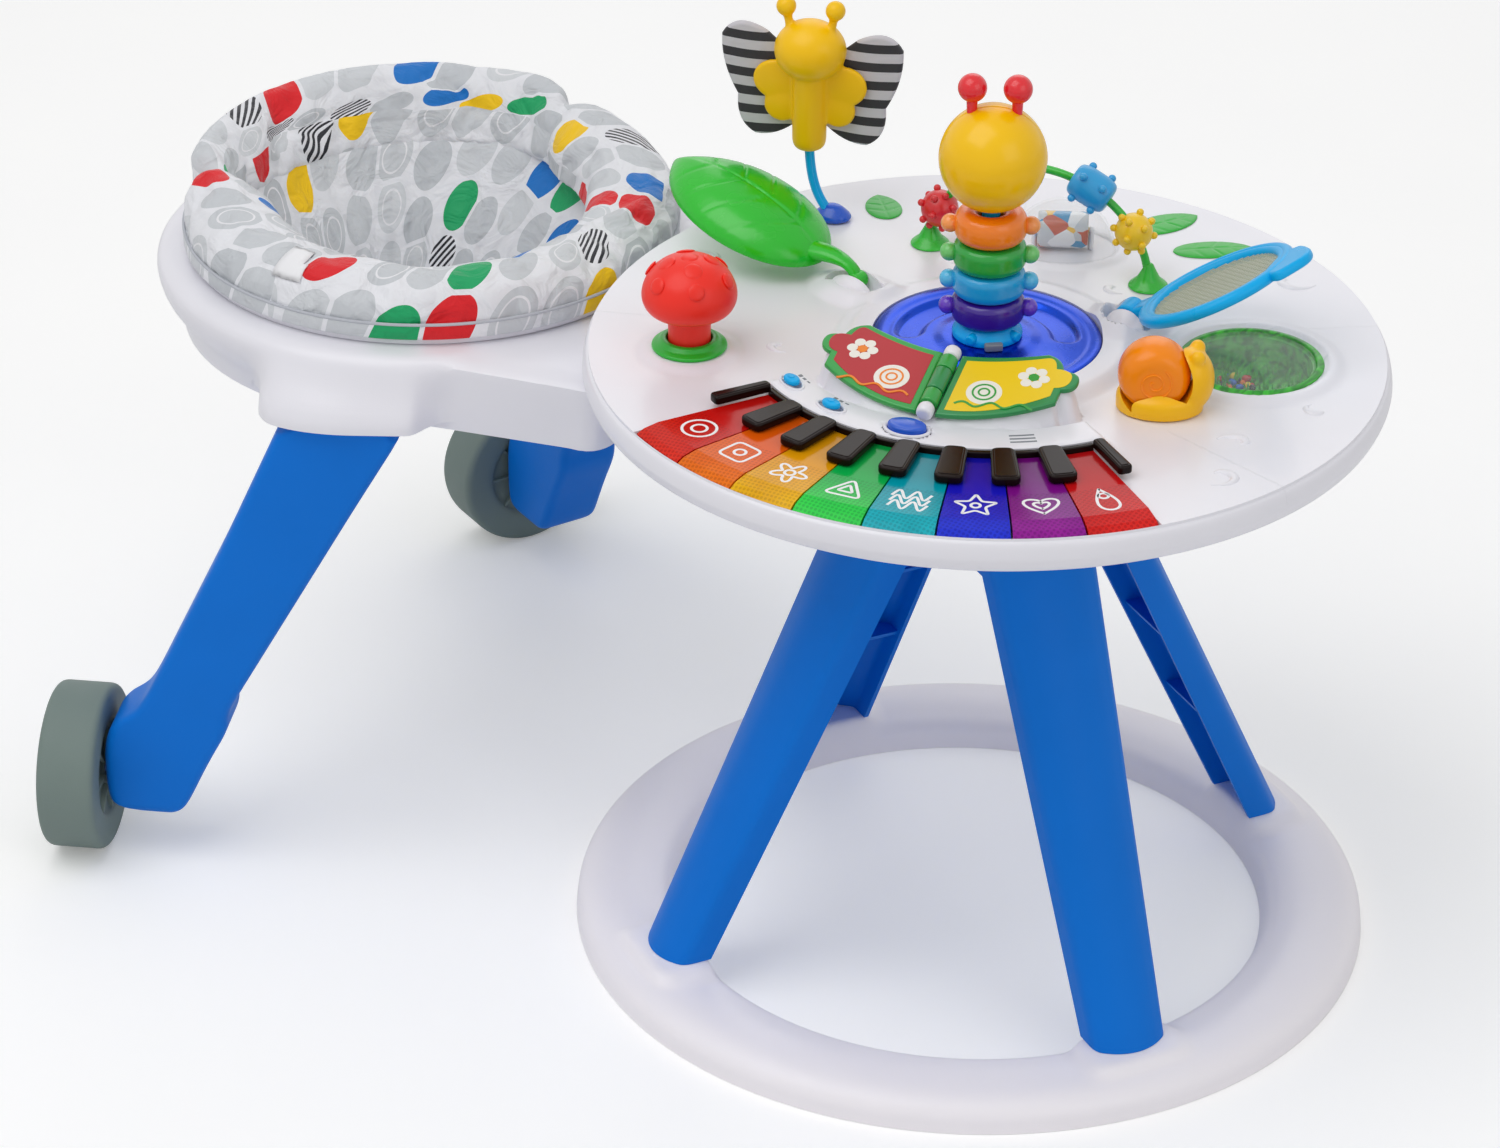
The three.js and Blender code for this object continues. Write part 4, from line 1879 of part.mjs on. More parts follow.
table.add(piece("spin_disc", makeDisc(), "metallicBlue"));
table.add(piece("stack_post", makePost(), "lightBlue"));
stackHeights().places.forEach((place, i) => {
  table.add(piece(STACK_NAMES[i], makeStackRing(place), STACK_FINISHES[i]));
});
table.add(piece("stack_head", makeHead(), "yellow"));
table.add(piece("head_feelers", makeFeelers(), "red"));

const leafHinge = polar(LEAF_REACH, LEAF_TURN, TABLE_HEIGHT + LEAF_HINGE_HEIGHT);
const leafLid = piece("leaf_lid", makeLeafLid(), "green");
leafLid.rotation.y = -radians(LEAF_LIFT);
table.add(group(leafHinge, LEAF_HEADING, leafLid, piece("leaf_base", makeLeafBase(), "white")));

const paddleHinge = polar(PADDLE_REACH, PADDLE_TURN, TABLE_HEIGHT + PADDLE_HINGE_HEIGHT);
const paddle = new THREE.Group();
paddle.rotation.y = -radians(PADDLE_LIFT);
paddle.add(piece("paddle_frame", makePaddleFrame(), "lightBlue"));
paddle.add(piece("paddle_mesh", makePaddleMesh(), "net"));
table.add(group(paddleHinge, PADDLE_HEADING, paddle, piece("paddle_base", makePaddleBase(), "white")));

const windowPlace = polar(WINDOW_REACH, WINDOW_TURN, TABLE_HEIGHT);
const tray = piece("bead_tray", makeBeadTray(), "green");
table.add(group(windowPlace, 0, tray, piece("window_lens", makeWindowLens(), "clear")));

const snailPlace = polar(SNAIL_REACH, SNAIL_TURN, TABLE_HEIGHT);
const snailBody = piece("snail_body", makeSnailBody(), "yellow");
table.add(group(snailPlace, SNAIL_HEADING, snailBody, piece("snail_shell", makeSnailShell(), "orange")));

const mushroomPlace = polar(MUSHROOM_REACH, MUSHROOM_TURN, TABLE_HEIGHT);
const mushroom = piece("mushroom", makeMushroom(), "red");
table.add(group(mushroomPlace, 0, mushroom, piece("mushroom_collar", makeMushroomCollar(), "green")));

const bug = new THREE.Group();
bug.add(piece("stalk", makeStalk(), "lightBlue"));
bug.add(piece("bug_body", moved(makeBugBody(), STALK_LEAN, 0, 0), "yellow"));
bug.add(
  piece("bug_wings", moved(wingsPlate(0), STALK_LEAN, wingOffset(), bugHeights().neck - BUG_BODY_WIDTH / 2), "striped"),
);
table.add(group(polar(STALK_REACH, STALK_TURN, TABLE_HEIGHT), BUG_FACING + 90, bug));

const archPlace = polar(ARCH_REACH, ARCH_TURN, TABLE_HEIGHT);
table.add(
  group(
    archPlace,
    ARCH_HEADING,
    piece("bead_arch", makeArch(), "green"),
    piece("bead_red", onArch(makeSpikyBead(), BEAD_RED_SHARE), "red"),
    piece("bead_blue", onArch(makeBarrelBead(), BEAD_BLUE_SHARE), "lightBlue"),
    piece("bead_yellow", onArch(makeSpikyBead(), BEAD_YELLOW_SHARE), "yellow"),
  ),
);
table.add(piece("dome_lens", makeDome(), "clear"));
table.add(piece("tumbler", makeDrum(), "orange"));
for (const pad of LEAF_PADS) {
  const place = polar(TABLE_RADIUS - pad.edge, pad.turn, TABLE_HEIGHT);
  table.add(group(place, pad.heading, piece(pad.name, makeLeafPad(pad), "green")));
}
table.rotation.z = radians(TABLE_TURN);

const walker = new THREE.Group();
walker.add(
  piece("walker_frame", makeWalkerFrame(), "white"),
  piece("walker_leg_near", makeWalkerLeg(-1), "blue"),
  piece("walker_leg_far", makeWalkerLeg(1), "blue"),
  piece("wheel_near", makeWheel(-1), "wheel"),
  piece("wheel_far", makeWheel(1), "wheel"),
);
const seat = group(
  new THREE.Vector3(-SEAT_REACH, 0, 0),
  SEAT_TURN,
  piece("seat_ring", makeSeatRing(), "white"),
  piece("seat_pad", makeSeatPad(), "fabric"),
);

// Everything above stands round the table's axis; the part's origin is the middle of its footprint
const whole = new THREE.Group();
whole.add(piece("base_ring", makeBaseRing(), "white"), table, walker, seat);
const middle = new THREE.Box3().setFromObject(whole, true).getCenter(new THREE.Vector3());
whole.position.set(-middle.x, -middle.y, 0);

const activityCenter = new THREE.Group();
activityCenter.add(whole);

export default activityCenter;
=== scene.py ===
import math
import random

import bmesh
import bpy
import numpy as np
from mathutils import Matrix, Vector


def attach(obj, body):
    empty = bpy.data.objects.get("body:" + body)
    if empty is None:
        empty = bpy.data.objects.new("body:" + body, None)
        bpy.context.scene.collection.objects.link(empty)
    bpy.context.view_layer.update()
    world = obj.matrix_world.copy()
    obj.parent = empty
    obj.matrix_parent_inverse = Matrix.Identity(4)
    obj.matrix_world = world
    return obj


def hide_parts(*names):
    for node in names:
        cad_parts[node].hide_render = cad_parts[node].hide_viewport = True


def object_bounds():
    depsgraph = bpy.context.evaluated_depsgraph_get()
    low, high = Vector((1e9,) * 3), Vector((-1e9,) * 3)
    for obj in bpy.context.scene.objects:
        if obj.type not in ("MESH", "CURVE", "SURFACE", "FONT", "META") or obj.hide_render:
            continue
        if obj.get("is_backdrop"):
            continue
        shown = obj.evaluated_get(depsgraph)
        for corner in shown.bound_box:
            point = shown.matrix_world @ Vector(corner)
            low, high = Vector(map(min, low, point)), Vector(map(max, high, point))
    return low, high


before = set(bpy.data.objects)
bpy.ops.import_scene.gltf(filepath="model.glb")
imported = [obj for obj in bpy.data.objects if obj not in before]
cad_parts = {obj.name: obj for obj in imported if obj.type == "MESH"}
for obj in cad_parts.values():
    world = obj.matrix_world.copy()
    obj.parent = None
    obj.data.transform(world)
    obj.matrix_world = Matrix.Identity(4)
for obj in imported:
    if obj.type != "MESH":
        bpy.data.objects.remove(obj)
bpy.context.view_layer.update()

# Studio
# A pale floor under soft, even light, as in a catalogue picture. The camera stands to the right and in
# front of the table, just under four metres away, and looks down on it.
CAMERA_PLACE = (1.7581, -2.9236, 2.1902)
CAMERA_YAW = 0.5434
CAMERA_PITCH = 0.5199
CAMERA_ROLL = 0.0069
LENS = 115.58
FLOOR_HALF = 6.0
FLOOR_LEVEL = -0.0004
FLOOR_GLOW = (0.2, 0.2, 0.195, 1)
LAMP_AIM = Vector((0, 0, 0.35))
SKY_LEVEL = 0.5


class Value:
    """One output of a finish's node, ready for use in an expression."""

    def __init__(self, nodes, socket):
        self.nodes = nodes
        self.socket = socket

    def math(self, operation, *values):
        return self.nodes.node("Math", {"operation": operation}, dict(enumerate(values)))

    def sine(self):
        return self.math("SINE", self)

    def __getitem__(self, name):
        return Value(self.nodes, self.socket.node.outputs[name])

    def __add__(self, other):
        return self.math("ADD", self, other)

    def __sub__(self, other):
        return self.math("SUBTRACT", self, other)

    def __rsub__(self, other):
        return self.math("SUBTRACT", other, self)

    def __mul__(self, other):
        return self.math("MULTIPLY", self, other)

    def __truediv__(self, other):
        return self.math("DIVIDE", self, other)

    def __lt__(self, other):
        return self.math("LESS_THAN", self, other)

    def __gt__(self, other):
        return self.math("GREATER_THAN", self, other)

    __radd__ = __add__
    __rmul__ = __mul__


class Nodes:
    """The nodes of one finish or of the sky."""

    def __init__(self, tree):
        self.tree = tree

    def feed(self, node, values):
        for key, value in values.items():
            if isinstance(value, Value):
                self.tree.links.new(value.socket, node.inputs[key])
            else:
                node.inputs[key].default_value = value

    def node(self, kind, settings=(), values=(), output=0):
        node = self.tree.nodes.new("ShaderNode" + kind)
        for key, value in dict(settings).items():
            if key == "stops":
                for stop, (place, colour) in enumerate(value):
                    if stop >= len(node.color_ramp.elements):
                        node.color_ramp.elements.new(place)
                    node.color_ramp.elements[stop].position = place
                    node.color_ramp.elements[stop].color = colour
            elif key == "hard":
                node.color_ramp.interpolation = "CONSTANT"
            else:
                setattr(node, key, value)
        self.feed(node, dict(values))
        return Value(self, node.outputs[output])

    def mix(self, share, start, end):
        return self.node("Mix", {"data_type": "RGBA"}, {0: share, 6: start, 7: end}, 2)

    def vector(self, operation, *values, output=0):
        return self.node("VectorMath", {"operation": operation}, dict(enumerate(values)), output)


def tint(code, shade=1.0):
    """A colour written as on a screen, as the linear one that a shader takes."""
    levels = [int(code[i : i + 2], 16) / 255 for i in (0, 2, 4)]
    linear = [level / 12.92 if level <= 0.04045 else ((level + 0.055) / 1.055) ** 2.4 for level in levels]
    return (*[level * shade for level in linear], 1.0)


class Finish(Nodes):
    """A procedural material round one Principled surface, and the record's slot that it stands for."""

    def __init__(self, name, slot=None, **constants):
        self.material = bpy.data.materials.new(name)
        self.material.use_nodes = True
        super().__init__(self.material.node_tree)
        self.slot = slot
        self.surface = self.tree.nodes["Principled BSDF"]
        self.feed(self.surface, {key.replace("_", " "): value for key, value in constants.items()})
        self.place = self.node("TexCoord", output="Object")

    def colour(self, value):
        self.feed(self.surface, {"Base Color": value})

    def rough(self, value):
        self.feed(self.surface, {"Roughness": value})

    def relief(self, height, depth):
        bump = self.node("Bump", {}, {"Strength": 1.0, "Distance": depth, "Height": height})
        self.feed(self.surface, {"Normal": bump})

    def noise(self, scale, detail=2.0):
        return self.node("TexNoise", {}, {"Vector": self.place, "Scale": scale, "Detail": detail})


scene = bpy.context.scene
scene.view_settings.view_transform = "Standard"


def link(name, data):
    """A new object in the scene."""
    made = bpy.data.objects.new(name, data)
    scene.collection.objects.link(made)
    return made


camera = link("camera", bpy.data.cameras.new("camera"))
camera.data.lens = LENS
camera.data.sensor_width = 36
camera.data.clip_end = 60
camera.matrix_world = (
    Matrix.Translation(CAMERA_PLACE)
    @ Matrix.Rotation(CAMERA_YAW, 4, "Z")
    @ Matrix.Rotation(math.pi / 2 - CAMERA_PITCH, 4, "X")
    @ Matrix.Rotation(CAMERA_ROLL, 4, "Z")
)
scene.camera = camera

for name, place, size, power in [
    ("lamp_over", (-0.6, -1.4, 3.4), 2.6, 42),
    ("lamp_right", (3.0, -1.0, 2.2), 2.0, 12),
    ("lamp_back", (-1.2, 3.0, 2.6), 2.2, 14),
]:
    lamp = link(name, bpy.data.lights.new(name, "AREA"))
    lamp.data.size = size
    lamp.data.energy = power
    lamp.location = place
    lamp.rotation_euler = (LAMP_AIM - Vector(place)).to_track_quat("-Z", "Y").to_euler()

world = bpy.data.worlds.new("studio")
scene.world = world
world.use_nodes = True
sky = Nodes(world.node_tree)
rays = sky.node("LightPath", output="Is Camera Ray")
seen = rays.math("MAXIMUM", rays.math("MAXIMUM", rays, rays["Is Glossy Ray"]), rays["Is Transmission Ray"])
backing = sky.tree.nodes["Background"]
sky.feed(backing, {"Color": (1, 1, 1, 1), "Strength": SKY_LEVEL + seen * (1 - SKY_LEVEL)})

floor_finish = Finish("floor_paper", Roughness=0.9)
floor_finish.colour(floor_finish.mix(floor_finish.noise(3.0), tint("f6f6f7"), tint("fafafa")))
direct = floor_finish.node("LightPath", output="Is Camera Ray")
glow = floor_finish.mix(direct, (0, 0, 0, 1), FLOOR_GLOW)
floor_finish.feed(floor_finish.surface, {"Emission Color": glow, "Emission Strength": 1.0})
floor_mesh = bpy.data.meshes.new("floor")
corners = [(x * FLOOR_HALF, y * FLOOR_HALF, FLOOR_LEVEL) for x, y in ((-1, -1), (1, -1), (1, 1), (-1, 1))]
floor_mesh.from_pydata(corners, [], [(0, 1, 2, 3)])
floor_mesh.materials.append(floor_finish.material)
link("floor", floor_mesh)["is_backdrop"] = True

# Floor ring
# One hollow moulding of white plastic that keeps the legs apart. Its crowned top rises into four flat
# pads, and each table leg is screwed down on one of them.
TABLE_AXIS = (211.3765, -14.7425)
TABLE_TURN = 11.6
RING_OUTER = 320
RING_INNER = 238
RING_HEIGHT = 27
RING_WALL = 4
RING_SIDES = 240
RING_CROWN = [(0, 0), (0.02, 0.6), (0.2, 0.94), (0.55, 1), (0.93, 0.7), (1, 0)]
RING_ROOM = [(1, 0), (0.86, 0.8), (0.14, 0.9), (0, 0)]
PAD_REACH = 270
PAD_HALF = (24, 41)
PAD_ROUND = 14
PAD_SLOPE = (-4, 7)
PAD_FROM = (6, 15)
PAD_TOP = 32
LEG_TURNS = [45, 135, 225, 315]


class Shape:
    """Points in millimetres and the faces between them."""

    def __init__(self, points, faces):
        self.points = np.asarray(points, float)
        self.faces = [list(face) for face in faces]

    def __add__(self, other):
        shift = len(self.points)
        moved = [[i + shift for i in face] for face in other.faces]
        return Shape(np.vstack([self.points, other.points]), self.faces + moved)

    def through(self, matrix):
        turn = np.array(matrix.to_3x3())
        return Shape(self.points @ turn.T + np.array(matrix.translation), self.faces)

    def at(self, x=0, y=0, z=0):
        return self.through(Matrix.Translation((x, y, z)))

    def turn(self, degrees, axis="Z"):
        return self.through(Matrix.Rotation(math.radians(degrees), 4, axis))

    def stretch(self, x, y, z):
        return Shape(self.points * (x, y, z), self.faces)


def joined(shapes):
    """Several shapes as one."""
    whole = None
    for shape in shapes:
        whole = shape if whole is None else whole + shape
    return whole


def turned(place, degrees, axis="Z"):
    """A place, turned about one of its own axes."""
    return place @ Matrix.Rotation(math.radians(degrees), 4, axis)


def soft_step(value, low, high):
    """From 0 to 1 between two values, without a kink at either."""
    share = np.clip((value - low) / (high - low), 0, 1)
    return share * share * (3 - 2 * share)


def fillet(corners, radius, steps=4, closed=True):
    """Corners of an outline or a profile, each rounded with the same radius where there is room."""
    corners = [np.array(corner, float) for corner in corners]
    rounded = []
    for i, corner in enumerate(corners):
        if not closed and i in (0, len(corners) - 1):
            rounded.append(corner)
            continue
        arms = [corners[i - 1] - corner, corners[(i + 1) % len(corners)] - corner]
        ends = [corner + arm * min(radius / np.linalg.norm(arm), 0.49) for arm in arms]
        for t in np.linspace(0, 1, steps + 1):
            rounded.append((1 - t) ** 2 * ends[0] + 2 * t * (1 - t) * corner + t * t * ends[1])
    return np.array(rounded)


def grid_faces(rows, around, wrap_rows=False):
    """The faces between rows of points that run all round; the last row may join the first."""
    i, j = np.meshgrid(np.arange(rows if wrap_rows else rows - 1), np.arange(around), indexing="ij")
    below, beside = (i + 1) % rows, (j + 1) % around
    quads = [i * around + j, i * around + beside, below * around + beside, below * around + j]
    return np.stack(quads, -1).reshape(-1, 4).tolist()


def lathe(profile, sides=96, closed=True):
    """A profile of radius and height turned round Z."""
    profile = np.asarray(profile, float)
    turns = np.linspace(0, 2 * math.pi, sides, endpoint=False)
    radius, height = profile[:, :1], profile[:, 1:]
    points = np.stack([radius * np.cos(turns), radius * np.sin(turns), height + 0 * turns], -1)
    return Shape(points.reshape(-1, 3), grid_faces(len(profile), sides, closed))


def make_piece(name, shape, finish, body, replaces=(), crease=32):
    """A visible piece on its body; edges sharper than the crease's degrees stay sharp."""
    mesh = bpy.data.meshes.new(name)
    mesh.from_pydata((shape.points / 1000).tolist(), [], shape.faces)
    tidy = bmesh.new()
    tidy.from_mesh(mesh)
    bmesh.ops.remove_doubles(tidy, verts=tidy.verts, dist=2e-6)
    bmesh.ops.dissolve_degenerate(tidy, edges=tidy.edges, dist=1e-7)
    bmesh.ops.recalc_face_normals(tidy, faces=tidy.faces)
    tidy.to_mesh(mesh)
    tidy.free()
    mesh.shade_smooth()
    mesh.set_sharp_from_angle(angle=math.radians(crease))
    mesh.materials.append(finish.material)
    piece = link(name, mesh)
    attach(piece, body)
    if replaces:
        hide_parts(*replaces)
    return piece


def moulded(name, slot, colour, roughness=0.34, cloud=0.05, grain=6e-5, **constants):
    """Injection-moulded plastic: faint flow clouds in the colour, uneven gloss and a fine orange-peel skin."""
    finish = Finish(name, slot, **constants)
    clouds = finish.noise(14.0)
    finish.colour(finish.mix(clouds, tint(colour, 1 - cloud), tint(colour, 1 + cloud)))
    finish.rough(roughness - 0.07 + finish.noise(45.0) * 0.14)
    finish.relief(finish.noise(900.0), grain)
    return finish


table_place = turned(Matrix.Translation((*TABLE_AXIS, 0)), TABLE_TURN)
white = moulded("white_plastic", "white_plastic", "ecebf2", 0.33, 0.015, Coat_Weight=0.08)

ring_across = RING_OUTER - RING_INNER
skin = fillet([(RING_OUTER - share * ring_across, rise * RING_HEIGHT) for share, rise in RING_CROWN], 12, 8, False)
room_outer, room_across = RING_OUTER - RING_WALL, ring_across - 2 * RING_WALL
room = [(room_outer - share * room_across, rise * (RING_HEIGHT - RING_WALL)) for share, rise in RING_ROOM]
ring_shape = lathe(np.vstack([skin, fillet(room, 6, 3, False)]), RING_SIDES)
heights = ring_shape.points[: len(skin) * RING_SIDES]
for turn in LEG_TURNS:
    angle = math.radians(turn)
    ahead = heights[:, 0] * math.cos(angle) + heights[:, 1] * math.sin(angle)
    aside = heights[:, 1] * math.cos(angle) - heights[:, 0] * math.sin(angle)
    out = np.abs(ahead - PAD_REACH) - PAD_HALF[0] + PAD_ROUND
    side = np.abs(aside) - PAD_HALF[1] + PAD_ROUND
    distance = np.hypot(np.maximum(out, 0), np.maximum(side, 0)) + np.minimum(np.maximum(out, side), 0) - PAD_ROUND
    share = (1 - soft_step(distance, *PAD_SLOPE)) * (ahead > 0) * soft_step(heights[:, 2], *PAD_FROM)
    heights[:, 2] += (PAD_TOP - heights[:, 2]) * share
# The ring's white is lighter than the table's white plastic, to make up for the shade that the table casts on it:
# painted light.
ring_white_painted_light = moulded("ring_white_painted_light", "white_plastic", "fcf8fd", 0.42, 0.012)
make_piece("floor_ring", ring_shape.through(table_place), ring_white_painted_light, "table", ["base_ring"], 50)

# Table legs and hub
# Four blue legs lean in from the ring to the hub under the table. Each is a channel that is open to the
# middle, stiffened by cross ribs, and pushes onto a tongue of the hub.
LEG_FOOT = 32.3
LEG_TOP = 417
LEG_FOOT_REACH = 270
LEG_TOP_REACH = 84
LEG_FOOT_HALF = 31
LEG_TOP_HALF = 46.5
LEG_BULGE = 13
LEG_FLANGE = 24
LEG_WALL = 4
LEG_RIB = 4
LEG_RIB_SHARES = [0.28, 0.5, 0.72]
LEG_ROUND = 9


def level(outline, height):
    """A flat outline as a loop of points at a height."""
    return np.column_stack([outline, np.full(len(outline), height)])


def skin_over(loops):
    """A closed skin over matching loops of points, flat at both ends."""
    count = len(loops[0])
    last = (len(loops) - 1) * count
    faces = grid_faces(len(loops), count) + [list(range(count))[::-1], [last + i for i in range(count)]]
    return Shape(np.vstack(loops), faces)


def leg_size(height):
    """How far from the table's axis the leg stands at a height, and half its width there."""
    share = (height - LEG_FOOT) / (LEG_TOP - LEG_FOOT)
    reach = LEG_FOOT_REACH + share * (LEG_TOP_REACH - LEG_FOOT_REACH)
    return reach, LEG_FOOT_HALF + share * (LEG_TOP_HALF - LEG_FOOT_HALF)


def leg_arc(reach, half):
    """The bulged outer face of a leg."""
    across = np.array([-1, *np.linspace(-0.66, 0.66, 9), 1])
    return [(reach + LEG_BULGE * (1 - share * share), half * share) for share in across]


def leg_section(height):
    """The leg's C section: its outside, then its inside back again."""
    reach, half = leg_size(height)
    end = max(reach - LEG_FLANGE, half + 0.3)
    outer = [(end, -half), *leg_arc(reach, half), (end, half)]
    inner = [
        (end, half - LEG_WALL), *leg_arc(reach - LEG_WALL, half - LEG_WALL)[::-1], (end, LEG_WALL - half),
    ]
    section = np.vstack([fillet(outer, LEG_ROUND, 4, False), fillet(inner, LEG_ROUND - LEG_WALL, 4, False)])
    return level(section, height)


def leg_rib(bottom):
    """A cross rib, let a little into the leg's wall."""
    loops = []
    for height in (bottom, bottom + LEG_RIB):
        reach, half = leg_size(height)
        end = reach - LEG_FLANGE + LEG_WALL
        half -= LEG_WALL * 0.9
        edge = [(end, -half), *leg_arc(reach - LEG_WALL * 0.9, half), (end, half)]
        loops.append(level(fillet(edge, LEG_ROUND - LEG_WALL, 4, False), height))
    return skin_over(loops)


blue = moulded("leg_blue", "blue_plastic", "0074da", 0.44, 0.05, Specular_IOR_Level=0.16)
leg_shape = skin_over([leg_section(height) for height in np.linspace(LEG_FOOT, LEG_TOP, 5)])
for share in LEG_RIB_SHARES:
    leg_shape += leg_rib(LEG_FOOT + share * (LEG_TOP - LEG_FOOT))
for leg, turn in enumerate(LEG_TURNS, 1):
    place = turned(table_place, turn)
    make_piece("leg_%d" % leg, leg_shape.through(place), blue, "table", ["table_leg_%d" % leg], 40)


def modify(piece, name, kind, **settings):
    """One of Blender's modifiers with its settings."""
    made = piece.modifiers.new(name, kind)
    for key, value in settings.items():
        setattr(made, key, value)


def dress(node, finish, edge):
    """A finish and slightly rounded edges for a solid whose own shape is right."""
    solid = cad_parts[node]
    for slot in solid.material_slots:
        slot.link = "OBJECT"
        slot.material = finish.material
    bevel = {"width": edge / 1000, "segments": 3, "limit_method": "ANGLE", "angle_limit": math.radians(32)}
    modify(solid, "edge", "BEVEL", harden_normals=True, **bevel)


dress("leg_crown", blue, 1.0)

# Table top
# The largest moulding: white plastic with a rolled rim, a raised middle for the disc, a tub for the keys, a
# console band, a stand for the book and low swirls pressed up in its face. It screws onto the hub.
TABLE_RADIUS = 310
TABLE_HEIGHT = 512
TABLE_SKIN = 4
UNDERSIDE = TABLE_HEIGHT - TABLE_SKIN
SKIRT_BOTTOM = 485
RIM_FALL = 2.2
DISC_RADIUS = 88
DISC_FLOOR = 514
DISC_EDGE = DISC_RADIUS + 0.55
PLATEAU_TOP = 519
PLATEAU_RADIUS = 102
PLATEAU_FOOT = 120
SPINDLE_RADIUS = 14.5
KEY_INNER = 192
KEY_OUTER = 303
KEY_PITCH = 10.35
KEY_COUNT = 8
KEYS_FACING = -90
KEYS_HALF_TURN = KEY_COUNT * KEY_PITCH / 2
TUB_INNER = KEY_INNER - 5.3
TUB_OUTER = KEY_OUTER + 1.5
TUB_FLOOR = 498
CONSOLE = (158, 187)
CONSOLE_RISE = 9
CONSOLE_HALF_TURN = 47
BOOK_REACH = 122
BOOK_RISE = 26
BOOK_SLOPE = math.radians(14)
BOOK_HALF = 34
PAGE_WIDTH = 100
PAGE_THICKNESS = 5
SLEEVE_RADIUS = 7
MUSHROOM = (228, -156.6)
WINDOW = (202, 11.5)
WINDOW_RADIUS = 52
LEAF = (133, 157, 161)
PADDLE = (116, 35.6, -7)
STALK = (247, 137.5)
DOME = (182, 88, 16)
DRUM_AXIS = 16
SWITCHES = [(172, -131), (172, -115)]
BUTTON = (170, -93)
SPEAKER_TURN = -64
SWITCH_WELL = (24, 11)
SWITCH_DEPTH = 6
BUTTON_WELL = (35, 25)
BUTTON_DEPTH = 10
DOME_SIZE = (84, 62)
DOME_LIP = 2.4
WINDOW_LIP = 3.2
MOUND_FLOW = 8
LEAF_MOUND = (47, 35)
LEAF_SLOT = 7
PADDLE_MOUND = (39, 47)
PADDLE_SLOT = 11
MUSHROOM_HOLE = 17
COLLAR_RADIUS = 29
COLLAR_LIP = 4
REST_GAP = 0.6
STAND_SLOPE = (-1, 9)
FACE_SEAMS = (-28, 26, 100, 150, -170)


def spot(reach, turn, heading=0, height=TABLE_HEIGHT):
    """A place on the table top, from a reach and a turn in degrees, as a matrix in the table's own frame."""
    angle = math.radians(turn)
    return turned(Matrix.Translation((reach * math.cos(angle), reach * math.sin(angle), height)), heading)


def curve(corners, steps=6):
    """Points along a quadratic path: start, then pairs of a pull and an end; a lone point is a straight run."""
    points = [np.array(corners[0], float)]
    for step in corners[1:]:
        start = points[-1]
        if len(step) == 2 and np.ndim(step[0]) == 0:
            points.append(np.array(step, float))
            continue
        pull, end = np.array(step[0], float), np.array(step[1], float)
        for t in np.linspace(0, 1, steps + 1)[1:]:
            points.append((1 - t) ** 2 * start + 2 * t * (1 - t) * pull + t * t * end)
    return np.array(points)


def page_outline(side, inset, steps=6):
    """Hollow against the disc, round against the console, with a round tab at the outer corner."""
    width, half, spine = PAGE_WIDTH, BOOK_HALF, SLEEVE_RADIUS + 0.5 + inset
    path = curve(
        [
            (spine, half - inset),
            ((width * 0.4, half * 1.1 - inset), (width * 0.7, half * 1.5 - inset)),
            ((width * 0.83 - inset, half * 1.45), (width * 0.86 - inset, half * 1.05)),
            ((width - inset, half * 1.1), (width - inset, half * 0.78)),
            ((width - inset, half * 0.5), (width * 0.9 - inset, half * 0.44)),
            (width * 0.9 - inset, inset),
            ((width * 0.5, -half * 0.95 + inset), (spine, -half + inset)),
        ],
        steps,
    )
    path[:, 0] *= side
    return path if side < 0 else path[::-1]


def reach_to(outline, turns):
    """How far an outline round the origin reaches at each turn; nothing where the ray misses it."""
    best = np.zeros(len(turns))
    for (ax, ay), (bx, by) in zip(outline, np.roll(outline, -1, 0)):
        cross = (bx - ax) * np.sin(turns) - (by - ay) * np.cos(turns)
        safe = np.where(np.abs(cross) < 1e-9, 1e-9, cross)
        along = (ay * np.cos(turns) - ax * np.sin(turns)) / safe
        reach = (ay * (bx - ax) - ax * (by - ay)) / safe
        best = np.where((along >= 0) & (along <= 1) & (reach > best), reach, best)
    return best


def outline_distance(x, y, outline):
    """Distance to an outline, less than zero inside it."""
    best = np.full(x.shape, 1e9)
    inside = np.zeros(x.shape, bool)
    for (ax, ay), (bx, by) in zip(outline, np.roll(outline, -1, 0)):
        dx, dy = bx - ax, by - ay
        share = np.clip(((x - ax) * dx + (y - ay) * dy) / (dx * dx + dy * dy + 1e-9), 0, 1)
        best = np.minimum(best, np.hypot(x - ax - share * dx, y - ay - share * dy))
        crosses = ((ay > y) != (by > y)) & (x < (bx - ax) * (y - ay) / (by - ay + 1e-12) + ax)
        inside ^= crosses
    return np.where(inside, -best, best)


def oval_distance(x, y, place, length, width):
    """Rough distance to an oval at a place on the table, less than zero inside it."""
    dx, dy = x - place.translation.x, y - place.translation.y
    ahead = dx * place[0][0] + dy * place[1][0]
    aside = dx * place[0][1] + dy * place[1][1]
    share = np.hypot(ahead / (length / 2), aside / (width / 2))
    return (share - 1) * (length + width) / 4


